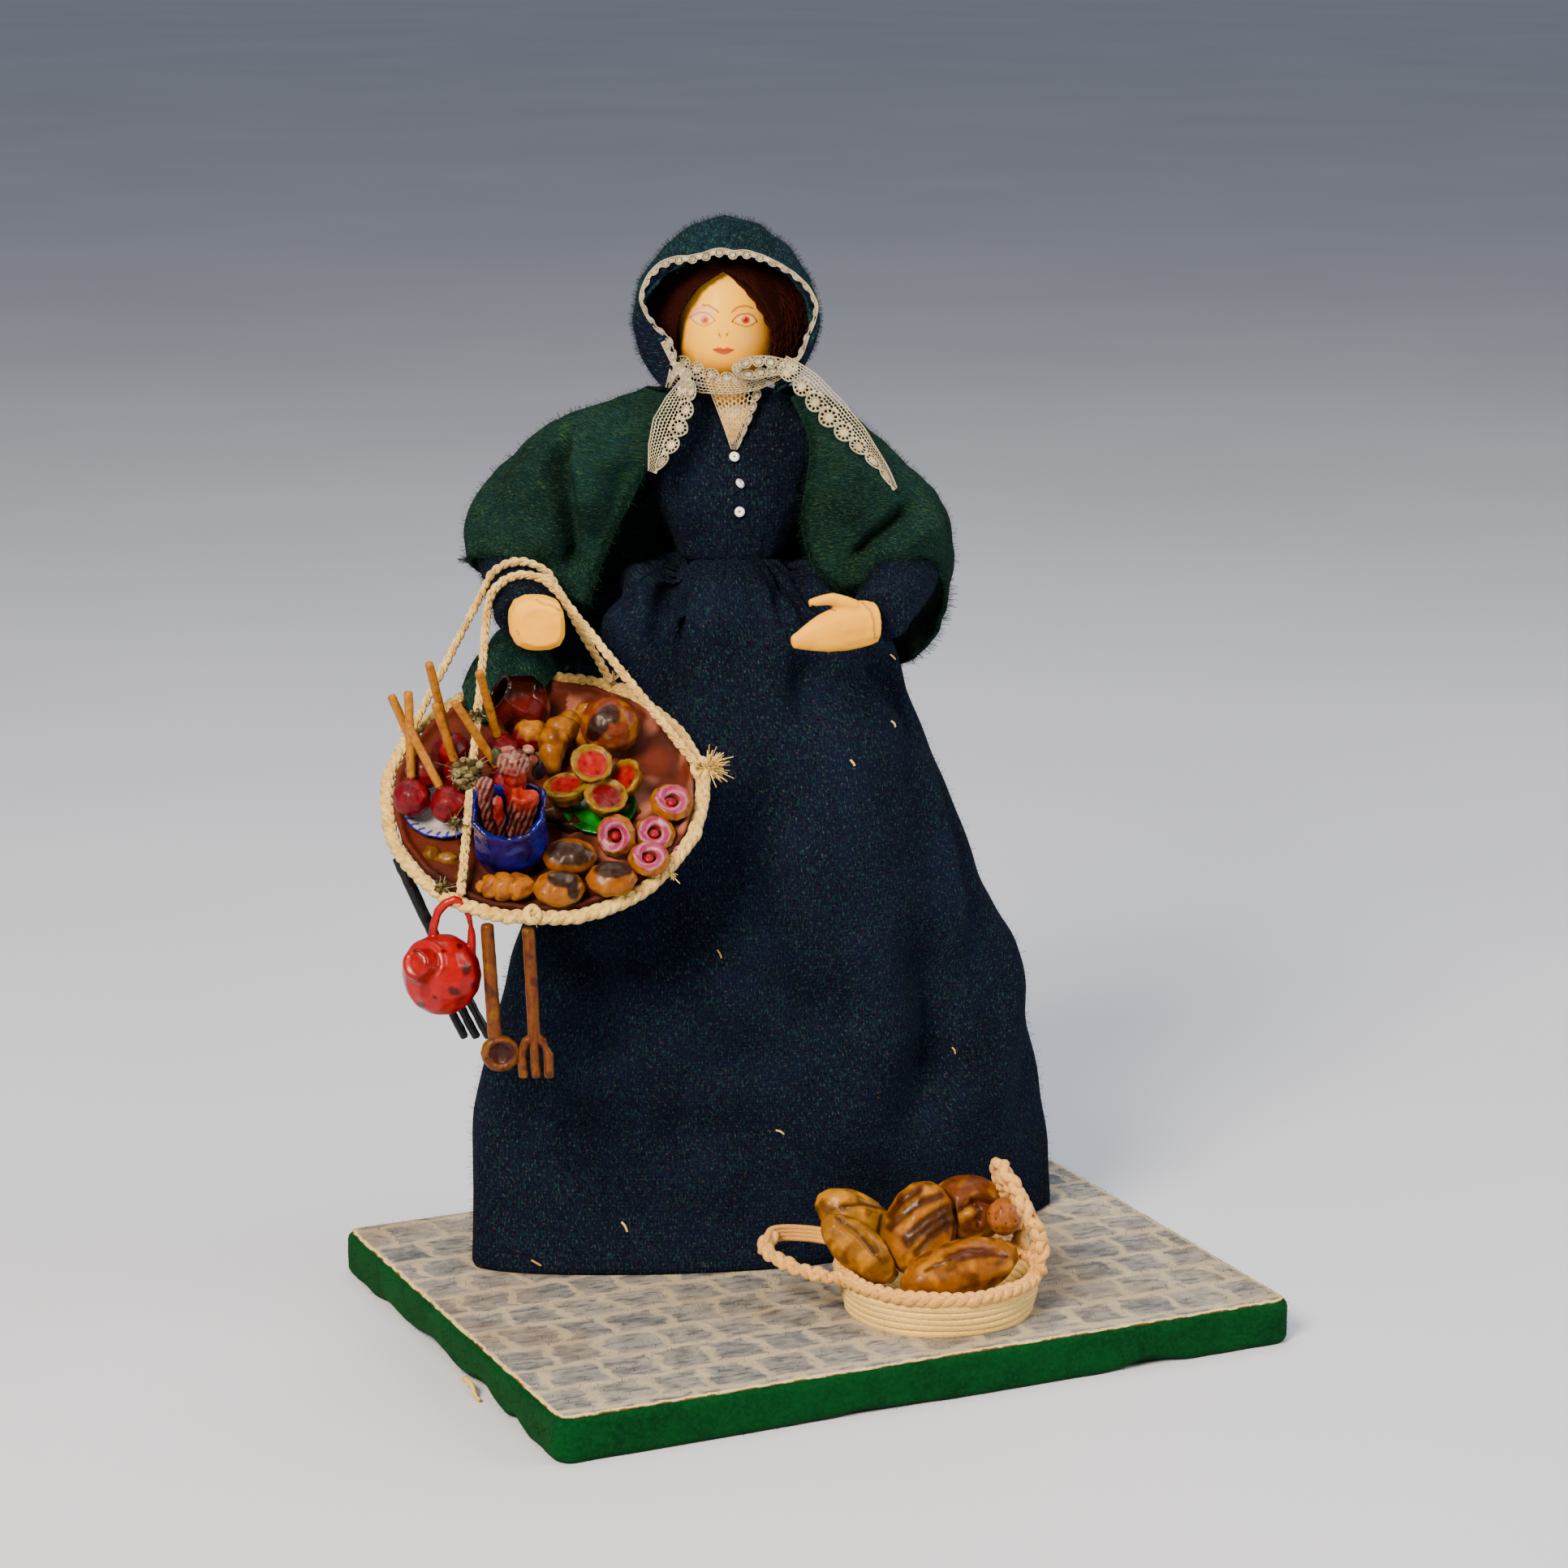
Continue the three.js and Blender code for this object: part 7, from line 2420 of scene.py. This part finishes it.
def flat_plait(route, width, yarn, strands, pitch, steps, facing):
    """A flat plait: strands that sway across it side by side, over and under."""
    line = spline(route, steps)
    tangent = unit(np.gradient(line, axis=0))
    side = unit(np.cross(np.broadcast_to(np.asarray(facing, float), line.shape), tangent))
    out = np.cross(tangent, side)
    along = lengths_along(line)
    plaits = []
    for k in range(strands):
        phase = 2 * math.pi * (along / pitch / 2 + k / strands)
        sway = (width / 2 - yarn) * np.sin(phase)
        dip = yarn * 0.7 * np.sin(2 * phase + k)
        path = line + side * sway[:, None] + out * dip[:, None]
        plaits.append(tube(path, yarn, 7, flat=0.8))
    return plaits


parts = flat_plait(FOLDED[2:], 4.6, 1.15, 3, 4.4, 110, (0, -0.4, 0.9))
for k in range(4):
    lane = [(x, y + 0.2 * k, z - 1.5 + 1.0 * k) for x, y, z in FOLDED[:4]]
    parts.append(tube(spline(lane, 50), 0.95, 7, flat=0.8))
parts += flat_plait(UPRIGHT, 8.0, 1.4, 4, 6.2, 150, (1, 0.2, 0.3))
joined("basket_handles", parts, from_basket, "worn_plaited_straw", "cane")


# %% Loaves
def loaf_colour(base, dark, cuts, wide, ridge):
    """A crust in patches, painted dark along its cuts and dark where it caught the heat."""
    def colour(points, places, way):
        wobbly = places + 2 * rough(points, 2, 4)[:, None]
        crust = ("#BD8000", 0.6, 0, 0.5, 4.5, 3), (dark, 0.7, 0.05, 0.5, 3.5, 11)
        slits = [(dark, 0.9 * stroke(places, line, wide, 0.6)) for line in cuts]
        burnt = [("#421800", 0.9 * spot(wobbly, centre, reach, 0.3, turn)) for centre, reach, turn in ridge]
        return coated(points, base, *crust, *slits, *burnt)

    return colour


def slashed(cuts, half_width, depth):
    """Presses lines into a loaf, from pixels along each."""
    def shape(points, way):
        places = pixels_of(to_doll(from_basket(points)))
        total = np.zeros(len(points))
        for line in cuts:
            gap, share = along_line(places, line)
            ends = step_between(0, 0.12, share) * (1 - step_between(0.88, 1, share))
            total -= depth * np.exp(-((gap / half_width) ** 2)) * ends
        return points + way * total[:, None]

    return shape


SLASHES = [
    [(1097, 1498), (1112, 1480), (1133, 1466)],
    [(1096, 1512), (1126, 1487), (1158, 1473)],
    [(1115, 1526), (1142, 1502), (1168, 1487)],
    [(1119, 1533), (1148, 1510), (1175, 1494)],
    [(1129, 1544), (1152, 1520), (1175, 1505)],
]
LOAVES = {
    "loaf_slashed": ("#8A5406", "#2E1200", 1.08, (-0.6, 0, 1.6), SLASHES, 11.5, 0.35, 4.0, ()),
    "loaf_front": (
        "#7E4A08", "#3A1800", (1.25, 1.1, 1.3), (-1.4, 0, 2.2),
        [[(1140, 1566), (1190, 1545), (1240, 1548)]], 5.5, -0.9, 7.0, [((1195, 1545), (34, 8), -0.1)],
    ),
    "loaf_left_low": (
        "#7E5206", "#3E2200", 1.08, (-4.6, 0, 2.2),
        [[(1030, 1500), (1058, 1520), (1084, 1552)]], 4.5, 1.1, 4.5, (),
    ),
    "loaf_left_high": (
        "#80570A", "#412300", (1, 1, 1.25), (-3.6, 0, 1.0),
        [[(1034, 1488), (1062, 1484), (1090, 1490)]], 4.5, 1.1, 4.5, (),
    ),
    "loaf_back": (
        "#5E2E02", "#261000", 1.12, (0.4, 0, 2.4),
        [[(1180, 1492), (1205, 1480), (1232, 1486)], [(1196, 1476), (1208, 1495), (1204, 1510)]],
        5.0, 1.2, 5.0, [((1210, 1478), (18, 8), 0)],
    ),
}
for node, (base, dark, swell, shift, cuts, wide, depth, half, ridge) in LOAVES.items():
    colour = loaf_colour(base, dark, cuts, wide, ridge)
    shape = slashed(cuts, half, depth)
    painted_copy(node, f"painted_{node}", "crust", colour, "basket", 0.42, 6, shape, 0.15, swell, shift)

seeds = []
for turn in range(1, 9):
    reach = 7 * turn**0.5
    middle = (1232 + reach * math.cos(turn * 2.4), 1497 + reach * math.sin(turn * 2.4))
    seeds.append((middle, (1.6, 1.3), turn))
seeded = bun_colour("#8C5220", "#3A1A0A", seeds)
painted_copy(
    "seeded_bun", "painted_seeded_bun", "crust", seeded, "basket", 0.42, 4, None, 0.15, 0.88, (0, 0, 1.8)
)

# %% Small things in the basket
SCRAPS = [
    ((1187, 1518), 17.0, (1.9, 1.7, 1.6), "#8A3A0A"), ((1262, 1512), 17.5, (0.7, 1.6, 4.2), "#B9A47C"),
    ((1257, 1519), 17.0, (0.6, 1.4, 4.0), "#5A2408"), ((1062, 1560), 12.5, (3.6, 2.4, 1.6), "#4A2604"),
]
scraps = scattered(SCRAPS, to_basket, 18, 0.2)
painted_lumps("basket_scraps", scraps, "crust", from_basket)

# %% [markdown]
# ## Loose straw
#
# Bits of straw have caught in the tweed of the skirt, and one sticks out from under the lifted felt.

# %% Loose straw
skirt_tree = tree_from(to_doll(coordinates(skirt)), faces_of(skirt))
FLECKS = [
    ((1097, 806), (1103, 812)), ((1098, 888), (1103, 895)), ((1048, 936), (1053, 943)),
    ((1173, 1290), (1177, 1298)), ((655, 1552), (667, 1559)), ((766, 1505), (773, 1517)),
    ((884, 1170), (889, 1180)), ((956, 1392), (966, 1397)),
]
parts = []
for number, pair in enumerate(FLECKS):
    ends = seen(skirt_tree, pair) + (0, -0.5, 0)
    middle = ends.mean(0) + (0.2, -0.3, 0.3 * (number % 2))
    parts.append(tube(spline([ends[0], middle, ends[1]], 8), 0.22 + 0.06 * (number % 3), 6))
felt_straw = []
for pixel in ((573, 1699), (581, 1706), (586, 1720), (591, 1732)):
    near, far = from_doll(np.array(sight(*pixel)) + [(0, 0, 0), sight(*pixel)[0]]) / MM
    place = near + (far - near) * ((-BOARD_HALF[0] - 2.2 - near[0]) / (far[0] - near[0]))
    felt_straw.append((*place[:2], max(place[2], 1.0)))
print("straw under the felt:", np.round(felt_straw, 1).tolist())
felt_straw = to_doll(np.array(felt_straw) * MM)
parts.append(tube(spline(felt_straw, 16), np.linspace(0.9, 0.5, 16), 8))
joined("loose_straw", parts, from_doll, "jute_fibre", "jute")
